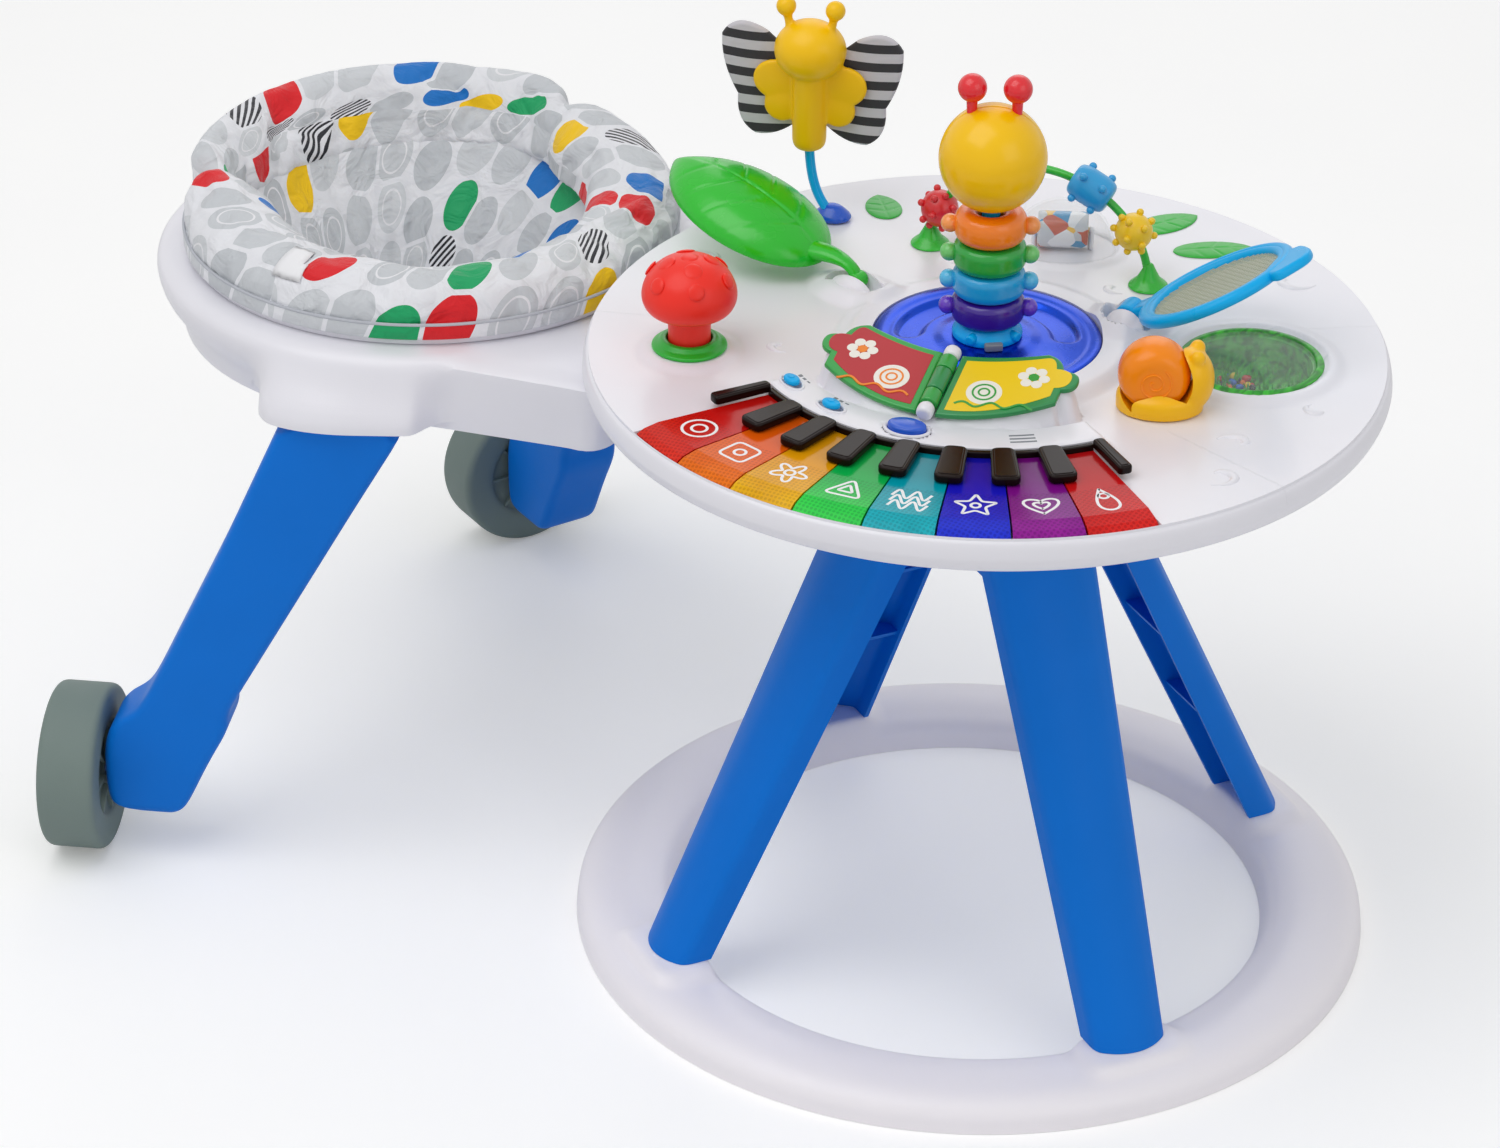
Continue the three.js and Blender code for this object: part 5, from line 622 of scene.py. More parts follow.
def top_height(x, y, base):
    """The table's moulded face over one point, from the plain height there."""
    reach = np.hypot(x, y)
    side = (np.degrees(np.arctan2(y, x)) - KEYS_FACING + 180) % 360 - 180
    z = base.copy()
    inner, outer = CONSOLE
    band = soft_step(reach, inner - 8, inner) * (1 - soft_step(reach, outer - 1.2, outer + 0.6))
    band *= 1 - soft_step(np.abs(side), CONSOLE_HALF_TURN - 2.5, CONSOLE_HALF_TURN)
    z = np.maximum(z, TABLE_HEIGHT + CONSOLE_RISE * band)
    free = soft_step(reach, DISC_RADIUS + 1, DISC_RADIUS + 4)
    across = (y + BOOK_REACH) / math.cos(BOOK_SLOPE)
    slope = TABLE_HEIGHT + BOOK_RISE + across * math.sin(BOOK_SLOPE)
    for page in (-1, 1):
        outline = page_outline(page, PAGE_THICKNESS, 4)
        share = 1 - soft_step(outline_distance(x, across, outline), *STAND_SLOPE)
        z += np.maximum(slope - PAGE_THICKNESS - REST_GAP - z, 0) * share * free
    spine = np.maximum(np.abs(x) - 2.4 * SLEEVE_RADIUS, np.abs(across) - BOOK_HALF)
    z += np.maximum(slope - SLEEVE_RADIUS - REST_GAP - z, 0) * (1 - soft_step(spine, *STAND_SLOPE)) * free
    mushroom = oval_distance(x, y, spot(*MUSHROOM), 2 * COLLAR_RADIUS, 2 * COLLAR_RADIUS)
    z += COLLAR_LIP * (1 - soft_step(mushroom, 0, 14))
    window = oval_distance(x, y, spot(*WINDOW), 2 * WINDOW_RADIUS, 2 * WINDOW_RADIUS)
    z += WINDOW_LIP * soft_step(window, 3.8, 8) * (1 - soft_step(window, 9, 24))
    for toy, size, slot in ((LEAF, LEAF_MOUND, LEAF_SLOT), (PADDLE, PADDLE_MOUND, PADDLE_SLOT)):
        place = spot(*toy)
        mound = oval_distance(x, y, place, *size)
        aside = (x - place.translation.x) * place[0][1] + (y - place.translation.y) * place[1][1]
        clear = soft_step(np.maximum(np.abs(aside) - slot, mound), 0, 3)
        flow = MOUND_FLOW * (1 - soft_step(mound, -4, 19)) * clear
        z = np.where(mound < 1, np.minimum(z, TABLE_HEIGHT), z) + flow
    dome = oval_distance(x, y, spot(*DOME), *DOME_SIZE)
    z += DOME_LIP * soft_step(dome, 0.6, 3) * (1 - soft_step(dome, 4, 15))
    for switch in SWITCHES:
        well = oval_distance(x, y, spot(*switch, switch[1] - 90), *SWITCH_WELL)
        z -= SWITCH_DEPTH * (1 - soft_step(well, -0.6, 0.4))
    well = oval_distance(x, y, spot(*BUTTON, BUTTON[1] - 90), *BUTTON_WELL)
    z -= BUTTON_DEPTH * (1 - soft_step(well, -0.4, 0.6))
    beyond = np.radians(np.abs(side) - KEYS_HALF_TURN) * reach
    tub = np.maximum(np.maximum(TUB_INNER - reach, reach - TUB_OUTER), beyond)
    return np.where(tub < 0.3, TUB_FLOOR, z)


# Rows and turns of points lie close together wherever the face has a wall.
reaches = [SPINDLE_RADIUS, *np.linspace(16, DISC_RADIUS + 0.5, 8), DISC_RADIUS + 0.6]
reaches += [*np.arange(DISC_RADIUS + 1.4, TUB_INNER - 0.6, 2.2), TUB_INNER - 0.6, TUB_INNER + 0.1]
reaches += [*np.linspace(TUB_INNER + 3, TUB_OUTER - 9, 34), TUB_OUTER - 3, TUB_OUTER - 0.1, TUB_OUTER + 0.6]
turns = np.arange(0, 360, 0.75)
for edge in (KEYS_HALF_TURN, CONSOLE_HALF_TURN - 1):
    near = [side * (edge + nudge) + KEYS_FACING for side in (-1, 1) for nudge in (-0.05, 0.12)]
    turns = np.concatenate([turns, np.array(near) % 360])
turns = np.radians(np.unique(np.round(turns, 4)))
profile = [(reach, DISC_FLOOR if reach < DISC_EDGE else PLATEAU_TOP) for reach in reaches]
rim = [(TUB_OUTER + 0.8, TABLE_HEIGHT - RIM_FALL), (TABLE_RADIUS - 2, UNDERSIDE), (TABLE_RADIUS, 498.5)]
rim += [(TABLE_RADIUS, 494), (TABLE_RADIUS - 4, SKIRT_BOTTOM), (TABLE_RADIUS - 8, SKIRT_BOTTOM)]
rim = fillet([*rim, (TABLE_RADIUS - 8, 496)], 5, 5, False)
under = [
    (reach, UNDERSIDE)
    for reach in (296, 280, TUB_OUTER - 30, *np.linspace(260, 20, 25), SPINDLE_RADIUS)
]
rows = np.array([*profile, *rim, *under])
radius, height = np.meshgrid(rows[:, 0], turns, indexing="ij")[0], np.repeat(rows[:, 1:], len(turns), 1)
x, y = radius * np.cos(turns), radius * np.sin(turns)
top = slice(0, len(profile))
below = slice(len(profile) + len(rim), None)
round_disc = radius[top] > DISC_EDGE
plateau = (PLATEAU_TOP - TABLE_HEIGHT) * (1 - soft_step(radius[top], PLATEAU_RADIUS, PLATEAU_FOOT))
plain = np.where(round_disc, TABLE_HEIGHT + plateau, height[top])
plain = plain - RIM_FALL * soft_step(radius[top], 284, TUB_OUTER + 0.8)
height[top] = np.where(round_disc, top_height(x[top], y[top], plain), plain)
side = (np.degrees(np.arctan2(y, x)) - KEYS_FACING + 180) % 360 - 180
tub_below = (np.abs(side) < KEYS_HALF_TURN + 1) & (radius > TUB_INNER - 3) & (radius < TUB_OUTER + 2)
height[below] = np.where(tub_below[below], TUB_FLOOR - 3, height[below])

# Two round holes: the nearest points are drawn onto the edge, the faces inside it go, and a wall lines it.
HOLES = [
    (WINDOW, WINDOW_RADIUS + 0.5, TABLE_HEIGHT),
    (MUSHROOM, MUSHROOM_HOLE + 0.5, TABLE_HEIGHT + COLLAR_LIP),
]
centres = [spot(*place).translation for place, hole, lip in HOLES]
for centre, (place, hole, lip) in zip(centres, HOLES):
    dx, dy = x - centre.x, y - centre.y
    far = np.hypot(dx, dy)
    snap = np.where(np.abs(far - hole) < 2.2, hole / np.maximum(far, 1e-6), 1)
    x, y = centre.x + dx * snap, centre.y + dy * snap
points = np.stack([x, y, height], -1).reshape(-1, 3)
kept = []
for face in grid_faces(len(rows), len(turns), True):
    middle = points[face].mean(0)
    away = [math.hypot(middle[0] - centre.x, middle[1] - centre.y) for centre in centres]
    if all(distance >= hole - 0.5 for distance, (place, hole, lip) in zip(away, HOLES)):
        kept.append(face)
top_shape = Shape(points, kept)
for place, hole, lip in HOLES:
    top_shape += lathe([(hole, UNDERSIDE), (hole, lip)], 64, False).through(spot(*place, height=0))

for sign in (-1, 1):
    post = lathe(fillet([(0, 0), (4.5, 0), (4.5, 17.5), (0, 19)], 2, 3, False), 24, False).stretch(0.5, 1, 1)
    top_shape += post.at(sign * 22.5).through(spot(*DOME))


def full_turn(count):
    """Angles all round, in radians."""
    return np.linspace(0, 2 * math.pi, count, endpoint=False)


def tube(path, radius, sides=12, closed=False, flat=1.0):
    """A round or flattened rod along a path; the radius may be a list, one for each point."""
    path = np.asarray(path, float)
    radius = np.broadcast_to(np.asarray(radius, float), (len(path),))
    ahead = np.roll(path, -1, 0) - np.roll(path, 1, 0) if closed else np.gradient(path, axis=0)
    ahead /= np.linalg.norm(ahead, axis=1)[:, None]
    side = np.cross(ahead[0], (0, 0, 1)) if abs(ahead[0][2]) < 0.9 else np.cross(ahead[0], (0, 1, 0))
    angles = full_turn(sides)
    rings = []
    for place, way, size in zip(path, ahead, radius):
        side = side - way * side.dot(way)
        side /= np.linalg.norm(side)
        up = np.cross(side, way)
        rings.append(place + size * (np.outer(np.cos(angles), side) + flat * np.outer(np.sin(angles), up)))
    return Shape(np.vstack(rings), grid_faces(len(path), sides, True)) if closed else skin_over(rings)


# Each swirl has a reach, a turn, a size and the hand that it curls to; its turn also sets where it begins.
SWIRLS = [(262, -33, 20, 1), (238, -22, 15, -1), (268, 44, 19, -1), (262, 107, 17, 1), (236, -178, 14, 1)]
SWIRLS += [(262, 166, 18, -1), (150, 118, 12, 1), (158, -158, 12, -1), (266, -4, 12, 1), (142, 62, 11, -1)]
SWIRL_SWEEP = 3.9
SWIRL_THICK = 3.6
steps = np.linspace(0, 1, 30)
thickness = SWIRL_THICK * np.sin(np.pi * np.clip(steps, 0.06, 0.97)) + 0.4
for reach, turn, size, hand in SWIRLS:
    angles = hand * steps * SWIRL_SWEEP + turn
    widths = size * (1 - 0.82 * steps)
    path = np.stack([widths * np.cos(angles), widths * np.sin(angles) * 0.8, 0 * steps - 0.15], -1)
    top_shape += tube(path, thickness, 10, flat=0.55).through(spot(reach, turn))


def beside_axis(finish):
    """How far a point lies from the table's axis, flat, in metres."""
    from_axis = finish.vector("SUBTRACT", finish.place, (TABLE_AXIS[0] / 1000, TABLE_AXIS[1] / 1000, 0))
    return finish.vector("MULTIPLY", from_axis, (1, 1, 0))


table_white = moulded("table_white", "white_plastic", "ecebf2", 0.32, 0.015, Coat_Weight=0.1)
flat = beside_axis(table_white)
parts = table_white.node("SeparateXYZ", {}, {0: flat})
turn_round = parts.math("ARCTAN2", parts["Y"], parts["X"])
reach_round = table_white.vector("LENGTH", flat, output="Value")
height = table_white.noise(900.0) * 0.12
for turn in FACE_SEAMS:
    away = turn_round.math("ABSOLUTE", turn_round - math.radians(turn + TABLE_TURN)) * reach_round
    height = height - (away < 0.0006) * (reach_round > 0.19)
table_white.relief(height, 5e-4)
make_piece("table_face", top_shape.through(table_place), table_white, "table", ["table_top"], 38)
dress("table_pan", white, 1.0)

# Piano
# Eight wide keys of clear coloured plastic, moulded with a fine dot screen and a printed outline each, rock
# on their heels in the tub. The short dark keys are one glossy moulding fixed over them.
KEY_TOP = 516
BLACK_LENGTH = 44
BLACK_HALF_WIDTH = 11
BLACK_RISE = 7
BLACK_EDGE = 1.8
KEY_EDGE = 0.9
DOT_SIZE = 0.33
DOTS_FROM = 0.247
PRINT_REACH = 264
PRINT_WIDTH = 1.7
PRINT_HEIGHT = 0.28
KEY_TINTS = ["d01410", "f06008", "f0a408", "0cb850", "00a2b4", "1c18c4", "82108a", "d01418"]
# Brighter tints for the keys' outer ends: a painted glow of light coming through the clear plastic.
KEY_PAINTED_GLOW = ["f83a20", "ff8a1c", "ffd018", "3cf84c", "18ccd8", "2c48f4", "b82ab4", "f83028"]
KEY_SLOTS = ["red", "orange", "amber", "green", "teal", "indigo", "magenta", "red"]


def inset_outline(outline, distance):
    """A closed outline that runs anticlockwise, moved inward."""
    ahead = np.roll(outline, -1, 0) - outline
    behind = outline - np.roll(outline, 1, 0)
    ahead = ahead / np.maximum(np.linalg.norm(ahead, axis=1)[:, None], 1e-9)
    behind = behind / np.maximum(np.linalg.norm(behind, axis=1)[:, None], 1e-9)
    way = ahead + behind
    way /= np.maximum(np.linalg.norm(way, axis=1)[:, None], 1e-9)
    inward = np.stack([-way[:, 1], way[:, 0]], 1)
    lean = np.clip((inward * np.stack([-ahead[:, 1], ahead[:, 0]], 1)).sum(1), 0.6, 1)
    return outline + inward * (distance / lean)[:, None]


def plate(outline, bottom, top, edge, steps=3, crown=0.0):
    """A flat piece with rounded edges; a crown lifts its top face towards the middle."""
    outline = np.asarray(outline, float)
    following = np.roll(outline, -1, 0)
    if (outline[:, 0] * following[:, 1] - following[:, 0] * outline[:, 1]).sum() < 0:
        outline = outline[::-1]
    quarter = np.linspace(0, math.pi / 2, steps + 1)
    rings_up = [(edge * (1 - math.sin(a)), bottom + edge * (1 - math.cos(a))) for a in quarter]
    rings_up += [(edge * (1 - math.cos(a)), top - edge * (1 - math.sin(a))) for a in quarter]
    rings_up = [(edge * 1.1, bottom), *rings_up, (edge * 1.1, top)]
    loops = [level(inset_outline(outline, inset), z) for inset, z in rings_up]
    if crown:
        middle = loops[-1].mean(0)
        for share in np.linspace(1, 0, 6)[1:-1]:
            loop = middle + (loops[len(rings_up) - 1] - middle) * share
            loop[:, 2] = top + crown * (1 - share * share)
            loops.append(loop)
    return skin_over(loops)


def ribbon(path, width, height=0.3, closed=False):
    """A printed line: a thin flat band along a path on a face."""
    path = np.asarray(path, float)
    ahead = np.roll(path, -1, 0) - np.roll(path, 1, 0) if closed else np.gradient(path, axis=0)
    ahead /= np.maximum(np.linalg.norm(ahead, axis=1)[:, None], 1e-9)
    aside = np.stack([-ahead[:, 1], ahead[:, 0]], 1) * width / 2
    corners = [path + aside, path + aside, path - aside, path - aside]
    rise = [0, height, height, 0]
    points = np.stack([level(corner, z) for corner, z in zip(corners, rise)], 1)
    return Shape(points.reshape(-1, 3), grid_faces(len(path), 4, True)) if closed else skin_over(points)


def circle(radius, x=0.0, y=0.0, count=28):
    """The outline of a circle round a point."""
    angles = np.radians(np.linspace(0, 360, count, endpoint=False))
    return np.stack([x + radius * np.cos(angles), y + radius * np.sin(angles)], 1)


print_white = moulded("print_white", "white_plastic", "f4f4f6", 0.45, 0.01)
square = fillet([(-9, -9), (9, -9), (9, 9), (-9, 9)], 4)
triangle = fillet([(-11, -8), (11, -8), (0, 11)], 4)
heart = 0.62 * np.array([
    (16 * math.sin(t) ** 3, 13 * math.cos(t) - 5 * math.cos(2 * t) - 2 * math.cos(3 * t))
    for t in full_turn(40)
])
spikes = [((11, 5)[i % 2], i * math.pi / 5) for i in range(10)]
star = 1.15 * fillet([(reach * math.sin(t), reach * math.cos(t)) for reach, t in spikes], 1.5)
drop = 1.1 * np.array([(7.5 * math.sin(t) * math.sin(t / 2) ** 1.3, 11 * math.cos(t)) for t in full_turn(40)])
wave = np.array([(t, 4.5 * math.sin(t * 0.62)) for t in np.linspace(-11, 11, 30)])
petals = [(8 + 3 * math.cos(5 * t), t) for t in full_turn(60)]
flower = np.array([(reach * math.cos(t), reach * math.sin(t)) for reach, t in petals])
# Every motif but the wave is two closed outlines.
MOTIFS = [
    [circle(10), circle(4.5)],
    [square, circle(3.4)],
    [flower, circle(3)],
    [triangle, triangle * 0.42],
    [wave + (0, 5.5), wave - (0, 0.5), wave - (0, 6.5)],
    [star, circle(2.6)],
    [heart, heart * 0.45],
    [drop, circle(2.8, 0, 4)],
]
for key, (slot, dark, bright, motif) in enumerate(zip(KEY_SLOTS, KEY_TINTS, KEY_PAINTED_GLOW, MOTIFS), 1):
    clear = {"IOR": 1.5, "Specular_IOR_Level": 0.12, "Coat_Weight": 0.03, "Coat_Roughness": 0.1}
    glow = Finish("key_%d_clear" % key, slot + "_plastic", **clear)
    flat = beside_axis(glow)
    out = glow.vector("LENGTH", flat, output="Value")
    grid = {"Vector": flat, "Scale": 300.0, "Randomness": 0.0}
    screen = glow.node("TexVoronoi", {"feature": "F1"}, grid)["Distance"]
    dots = (screen < DOT_SIZE) * (out > DOTS_FROM)
    # Each key's colour ramps from a darkened tint at its inner end to a brighter one at its outer end: painted
    # shade under the black keys and a painted glow of light through the clear plastic.
    stops = [(0.0, tint(dark, 0.42)), (0.55, tint(dark)), (1.0, tint(bright))]
    depth = glow.node("ValToRGB", {"stops": stops}, {0: (out - KEY_INNER / 1000) / 0.11})
    haze = glow.mix(glow.noise(28.0, 3.0), depth, tint(dark, 0.85))
    glow.colour(glow.mix(dots * 0.4, haze, tint(dark, 0.5)))
    glow.rough(0.1 + glow.noise(60.0) * 0.1)
    glow.relief(dots * -0.7 + glow.noise(500.0) * 0.1, 2.5e-4)
    dress("key_%d" % key, glow, KEY_EDGE)
    motif_print = joined(ribbon(line, PRINT_WIDTH, PRINT_HEIGHT, closed=len(motif) == 2) for line in motif)
    middle = KEYS_FACING - KEYS_HALF_TURN + (key - 0.5) * KEY_PITCH
    motif_print = motif_print.stretch(1.3, 1.3, 1).through(
        spot(PRINT_REACH, middle, middle + 90, KEY_TOP - 0.3)
    )
    make_piece("key_print_%d" % key, motif_print.through(table_place), print_white, "key_%d" % key)

glossy_dark = moulded("dark_key_gloss", "black_plastic", "180b08", 0.2, 0.12, 2e-5, Specular_IOR_Level=0.14)
black_bottom = KEY_TOP + 0.5
black_top = black_bottom + BLACK_RISE
black_keys = []
for key in range(KEY_COUNT + 1):
    turn = KEYS_FACING - KEYS_HALF_TURN + key * KEY_PITCH
    left = -BLACK_HALF_WIDTH if key > 0 else -0.4
    right = BLACK_HALF_WIDTH if key < KEY_COUNT else 0.4
    heel, tip = KEY_INNER - 4, KEY_INNER + BLACK_LENGTH
    tab = [(left * 0.82, heel), (right * 0.82, heel), (right, tip), (left, tip)]
    tab = fillet(tab, 6.5 if 0 < key < KEY_COUNT else 4, 6)
    lip = plate(inset_outline(tab, 2.6), black_top - 1, black_top + 0.5, 0.5, 2)
    black_keys.append((plate(tab, black_bottom, black_top, BLACK_EDGE, 4) + lip).turn(turn - 90))
inner, outer, low, high = KEY_INNER - 5, KEY_INNER - 0.6, TUB_FLOOR + 0.5, KEY_TOP + 4
section = fillet([(inner, low), (outer, low), (outer, high), (inner, high)], 1)
span = [math.radians(KEYS_FACING + turn) for turn in np.linspace(-KEYS_HALF_TURN, KEYS_HALF_TURN, 80)]
bar = skin_over([[(reach * math.cos(t), reach * math.sin(t), z) for reach, z in section] for t in span])
dark_shape = joined(black_keys) + bar
make_piece("dark_keys", dark_shape.through(table_place), glossy_dark, "table", ["black_keys"])

# Switches and mode button
# Small sky-blue sliders and one blue oval button, each in a well with a raised pale rim. The sound comes out
# through three curved slots beside them.
CONSOLE_TOP = TABLE_HEIGHT + CONSOLE_RISE
SWITCH_SIZE = (16, 11)
BUTTON_SIZE = (30, 20)
SPEAKER_HALF_TURN = 3.2
SPEAKER_SLOTS = (167, 172, 177)
MARK_WIDTHS = (1.2, 2.0, 3.0)
MARK_HEIGHT = 0.25


def oval(length, width, count=48):
    """The outline of an oval along X."""
    return circle(1.0, count=count) * (length / 2, width / 2)


def oval_rim(length, width, thickness, count=48, sides=8):
    """A round moulding that follows an oval."""
    return tube(level(oval(length, width, count), 0), thickness, sides, True)


sky_blue = moulded("sky_blue", "sky_blue_plastic", "04b2f4", 0.3, 0.05, Specular_IOR_Level=0.25)
button_blue = moulded("button_blue", "blue_plastic", "0c56d0", 0.24, 0.05, Coat_Weight=0.15)
soft_grey = moulded("mark_grey", "wheel_grey", "80858c", 0.5, 0.05)
for number, switch in enumerate(SWITCHES, 1):
    place = table_place @ spot(*switch, switch[1] - 90, CONSOLE_TOP)
    slider = plate(oval(*SWITCH_SIZE), 0.3, 5.0, 1.8, 4, 0.9)
    slider += plate(oval(6, 5), 5.2, 6.1, 0.5, 2)
    make_piece(
        "slider_%d" % number, slider.through(place), sky_blue, "switch_%d" % number, ["switch_%d" % number]
    )
    make_piece("slider_rim_%d" % number, oval_rim(26, 13.4, 1.3).through(place), table_white, "table")
    for mark, width in enumerate(MARK_WIDTHS):
        bar = ribbon([(mark * 6 - 7, -11.5), (mark * 6 - 3.6, -11.5)], width, MARK_HEIGHT)
        make_piece("slider_mark_%d_%d" % (number, mark), bar.through(place), soft_grey, "table")
place = table_place @ spot(*BUTTON, BUTTON[1] - 90, CONSOLE_TOP)
button = plate(oval(*BUTTON_SIZE), -2.8, 5.2, 2.2, 4, 1.2)
make_piece("mode_oval", button.through(place), button_blue, "mode_button", ["mode_button"])
make_piece("mode_rim", oval_rim(33.5, 23.5, 1.5).through(place), table_white, "table")
arc = np.radians(np.linspace(SPEAKER_TURN - SPEAKER_HALF_TURN, SPEAKER_TURN + SPEAKER_HALF_TURN, 12))
slots = [[(reach * math.cos(t), reach * math.sin(t)) for t in arc] for reach in SPEAKER_SLOTS]
speaker = joined(ribbon(slot, PRINT_WIDTH, MARK_HEIGHT) for slot in slots).at(0, 0, CONSOLE_TOP)
make_piece("speaker_slots", speaker.through(table_place), soft_grey, "table")

# Book
# Two thick pages of green plastic on a white rod with green sleeves. The left one is fixed on its stand and
# the right one turns over. Each carries a printed card with plain motifs.
FIELD_INSET = 5.5
ROD_RADIUS = 4
ROD_HALF = 33.5
PAGE_EDGE = 1.6
SLEEVE_HALF = 11.7
BADGE = (36, -3)
BADGE_RADIUS = 13.5
BLOOM = (67, 22)
PETAL_REACH = 8
PETAL_RADIUS = 4.2

book_place = table_place @ Matrix.Translation((0, -BOOK_REACH, TABLE_HEIGHT + BOOK_RISE))
book_place = book_place @ Matrix.Rotation(BOOK_SLOPE, 4, "X")
book_green = moulded("book_green", "green_plastic", "1f9f3c", 0.3, 0.05, Coat_Weight=0.3)
book_dark = moulded("book_dark_green", "dark_green_plastic", "0c8a44", 0.3, 0.05, Coat_Weight=0.3)
card_red = moulded("card_red", "red_plastic", "b8202a", 0.32, 0.08, 2e-5)
card_yellow = moulded("card_yellow", "yellow_plastic", "f4cf16", 0.32, 0.06, 2e-5)
card_white = moulded("card_white", "white_plastic", "f2efe6", 0.36, 0.02, 2e-5)
card_orange = moulded("card_orange", "orange_plastic", "f0861c", 0.36, 0.04, 2e-5)


def cylinder(radius, half, round_off, axis):
    """A bar with rounded ends that lies across an axis."""
    body = lathe(
        fillet([(0, -half), (radius, -half), (radius, half), (0, half)], round_off, 4, False), 48, False
    )
    return body.turn(90, axis)


left = plate(page_outline(-1, 0, 10), -PAGE_THICKNESS, 0, PAGE_EDGE, 4)
for along in (-19.5, 19.5):
    left += cylinder(SLEEVE_RADIUS, 7, 1.6, "X").at(0, along, 0)
make_piece("page_fixed", left.through(book_place), book_green, "table", ["book_page_left"])
right = plate(page_outline(1, 0, 10), -PAGE_THICKNESS, 0, PAGE_EDGE, 4)
right += cylinder(SLEEVE_RADIUS, SLEEVE_HALF, 1.6, "X")
make_piece("page_turning", right.through(book_place), book_dark, "page_right", ["book_page_right"])
rod = cylinder(ROD_RADIUS, ROD_HALF, 1, "X")
for side in (-1, 1):
    rod += cylinder(SLEEVE_RADIUS * 0.94, 5.4, 4.4, "X").at(0, side * 33, 0)
make_piece("page_rod", rod.through(book_place), table_white, "table")
for name, side, body, card, ink in (
    ("left", -1, "table", card_red, card_orange), ("right", 1, "page_right", card_yellow, book_green)
):
    field = plate(page_outline(side, FIELD_INSET, 10), -0.4, 0.35, 0.15, 2)
    make_piece("card_" + name, field.through(book_place), card, body)
    (badge_x, badge_y), (bloom_x, bloom_y) = (side * BADGE[0], BADGE[1]), (side * BLOOM[0], BLOOM[1])
    badge = plate(circle(BADGE_RADIUS, badge_x, badge_y), 0.2, 0.6, 0.1, 2)
    for a in np.radians(range(0, 360, 60)):
        petal = circle(
            PETAL_RADIUS, bloom_x + PETAL_REACH * math.cos(a), bloom_y + PETAL_REACH * math.sin(a), 20
        )
        badge += plate(petal, 0.2, 0.6, 0.1, 2)
    make_piece("card_badge_" + name, badge.through(book_place), card_white, body)
    mark = (
        ribbon(circle(8.5, badge_x, badge_y), 1.4, 0.9, True)
        + ribbon(circle(4, badge_x, badge_y), 1.4, 0.9, True)
    )
    mark += plate(circle(4, bloom_x, bloom_y, 20), 0.2, 0.9, 0.1, 2)
    hills = [(side * (18 + t), -20 + 2.6 * math.sin(t / 3.4) + t * 0.16) for t in np.linspace(0, 58, 40)]
    mark += ribbon(hills, 1.8, 0.8)
    make_piece("card_mark_" + name, mark.through(book_place), ink, body)

# Disc and stacking toy
# A glossy metallic-blue disc with three finger hollows spins in the raised middle. Its post carries four
# rings with clear knobs and a plain round head with ball feelers.
DISC_BOTTOM = 514.5
DISC_TOP = 520.5
HOLLOW_TURNS = (-74, 46, 166)
HOLLOW_SPAN = 25
HOLLOW_REACH = 60
HOLLOW_HALF = 11
HOLLOW_DEPTH = 3.9
DISC_BORE = 8
DISC_DISH = 2.0
POST_RADIUS = 7
POST_TOP = 650
KNOB_RADIUS = 7.2
KNOB_REACH = 30.6
STACK_TURN = 16
STACK_BORE = 7.6
STACK_RADIUS = 28
HEAD_HEIGHT = 668.3
HEAD_RADIUS = (41, 40.5, 42)
FEELER_HALF = 17
FEELER_BALL = 11
STACK = [
    ("purple", 533.3, 555.3, "3c1494", "6a38c8", 8),
    ("blue", 555.8, 577.8, "14a4e0", "50c0f0", 8),
    ("green", 578.3, 600.3, "1ca83a", "70d070", 8),
    ("orange", 600.8, 625.8, "ff8608", "ffa050", 12),
]

metal_blue = moulded(
    "disc_metal_blue", "metallic_blue", "0640c0", 0.28, 0.08, 2e-5, Metallic=0.85, Coat_Weight=0.1
)
reaches = np.array([DISC_BORE, 14, 20, 26, 30, *np.arange(33, 84, 1.5), 85, DISC_RADIUS - 1])
turns = np.radians(np.arange(0, 360, 2))
radius = reaches[:, None] + 0 * turns
bead = 0.8 * soft_step(radius, 76, 80) - 0.7 * soft_step(radius, 84, DISC_RADIUS)
height = DISC_TOP - DISC_DISH * soft_step(radius, 30, 44) + bead
for turn in HOLLOW_TURNS:
    apart = np.abs((turns - math.radians(turn) + math.pi) % (2 * math.pi) - math.pi)
    beyond = np.maximum(apart - math.radians(HOLLOW_SPAN), 0) * HOLLOW_REACH
    distance = np.hypot(beyond, radius - HOLLOW_REACH) - HOLLOW_HALF
    height = height - HOLLOW_DEPTH * (1 - soft_step(distance, -3, 1))
edge = [(DISC_RADIUS, 517.2), (DISC_RADIUS, DISC_BOTTOM + 0.8), (DISC_RADIUS - 1, DISC_BOTTOM)]
rows = [*zip(radius, height), *edge, (DISC_BORE, DISC_BOTTOM)]
loops = [np.stack([reach * np.cos(turns), reach * np.sin(turns), z + 0 * turns], -1) for reach, z in rows]
disc = Shape(np.vstack(loops), grid_faces(len(loops), len(turns), True))
make_piece("disc_plate", disc.through(table_place), metal_blue, "disc", ["spin_disc"], 60)
post = [(0, 520.8), (27, 520.8), (27, 525.5), (21.6, 532.8), (POST_RADIUS, 532.8)]
post = lathe(fillet([*post, (POST_RADIUS, POST_TOP), (0, POST_TOP)], 1.6, 4, False), 72, False)
for turn in (-100, -20, 80, 160):
    post += cylinder(4, 5, 2, "X").at(0, -25, 527).turn(turn + 90)
make_piece("post", post.through(table_place), sky_blue, "disc", ["stack_post"])
clip = plate(fillet([(-7, -3), (7, -3), (7, 3), (-7, 3)], 2), 520.9, 526.5, 1, 3).at(0, -29, 0).turn(27)
make_piece("post_clip", clip.through(table_place), soft_grey, "disc")
stack_place = turned(table_place, STACK_TURN)


def plastic(name):
    """The record's slot for a toy's plain colour."""
    return name.replace("blue", "sky_blue") + "_plastic"


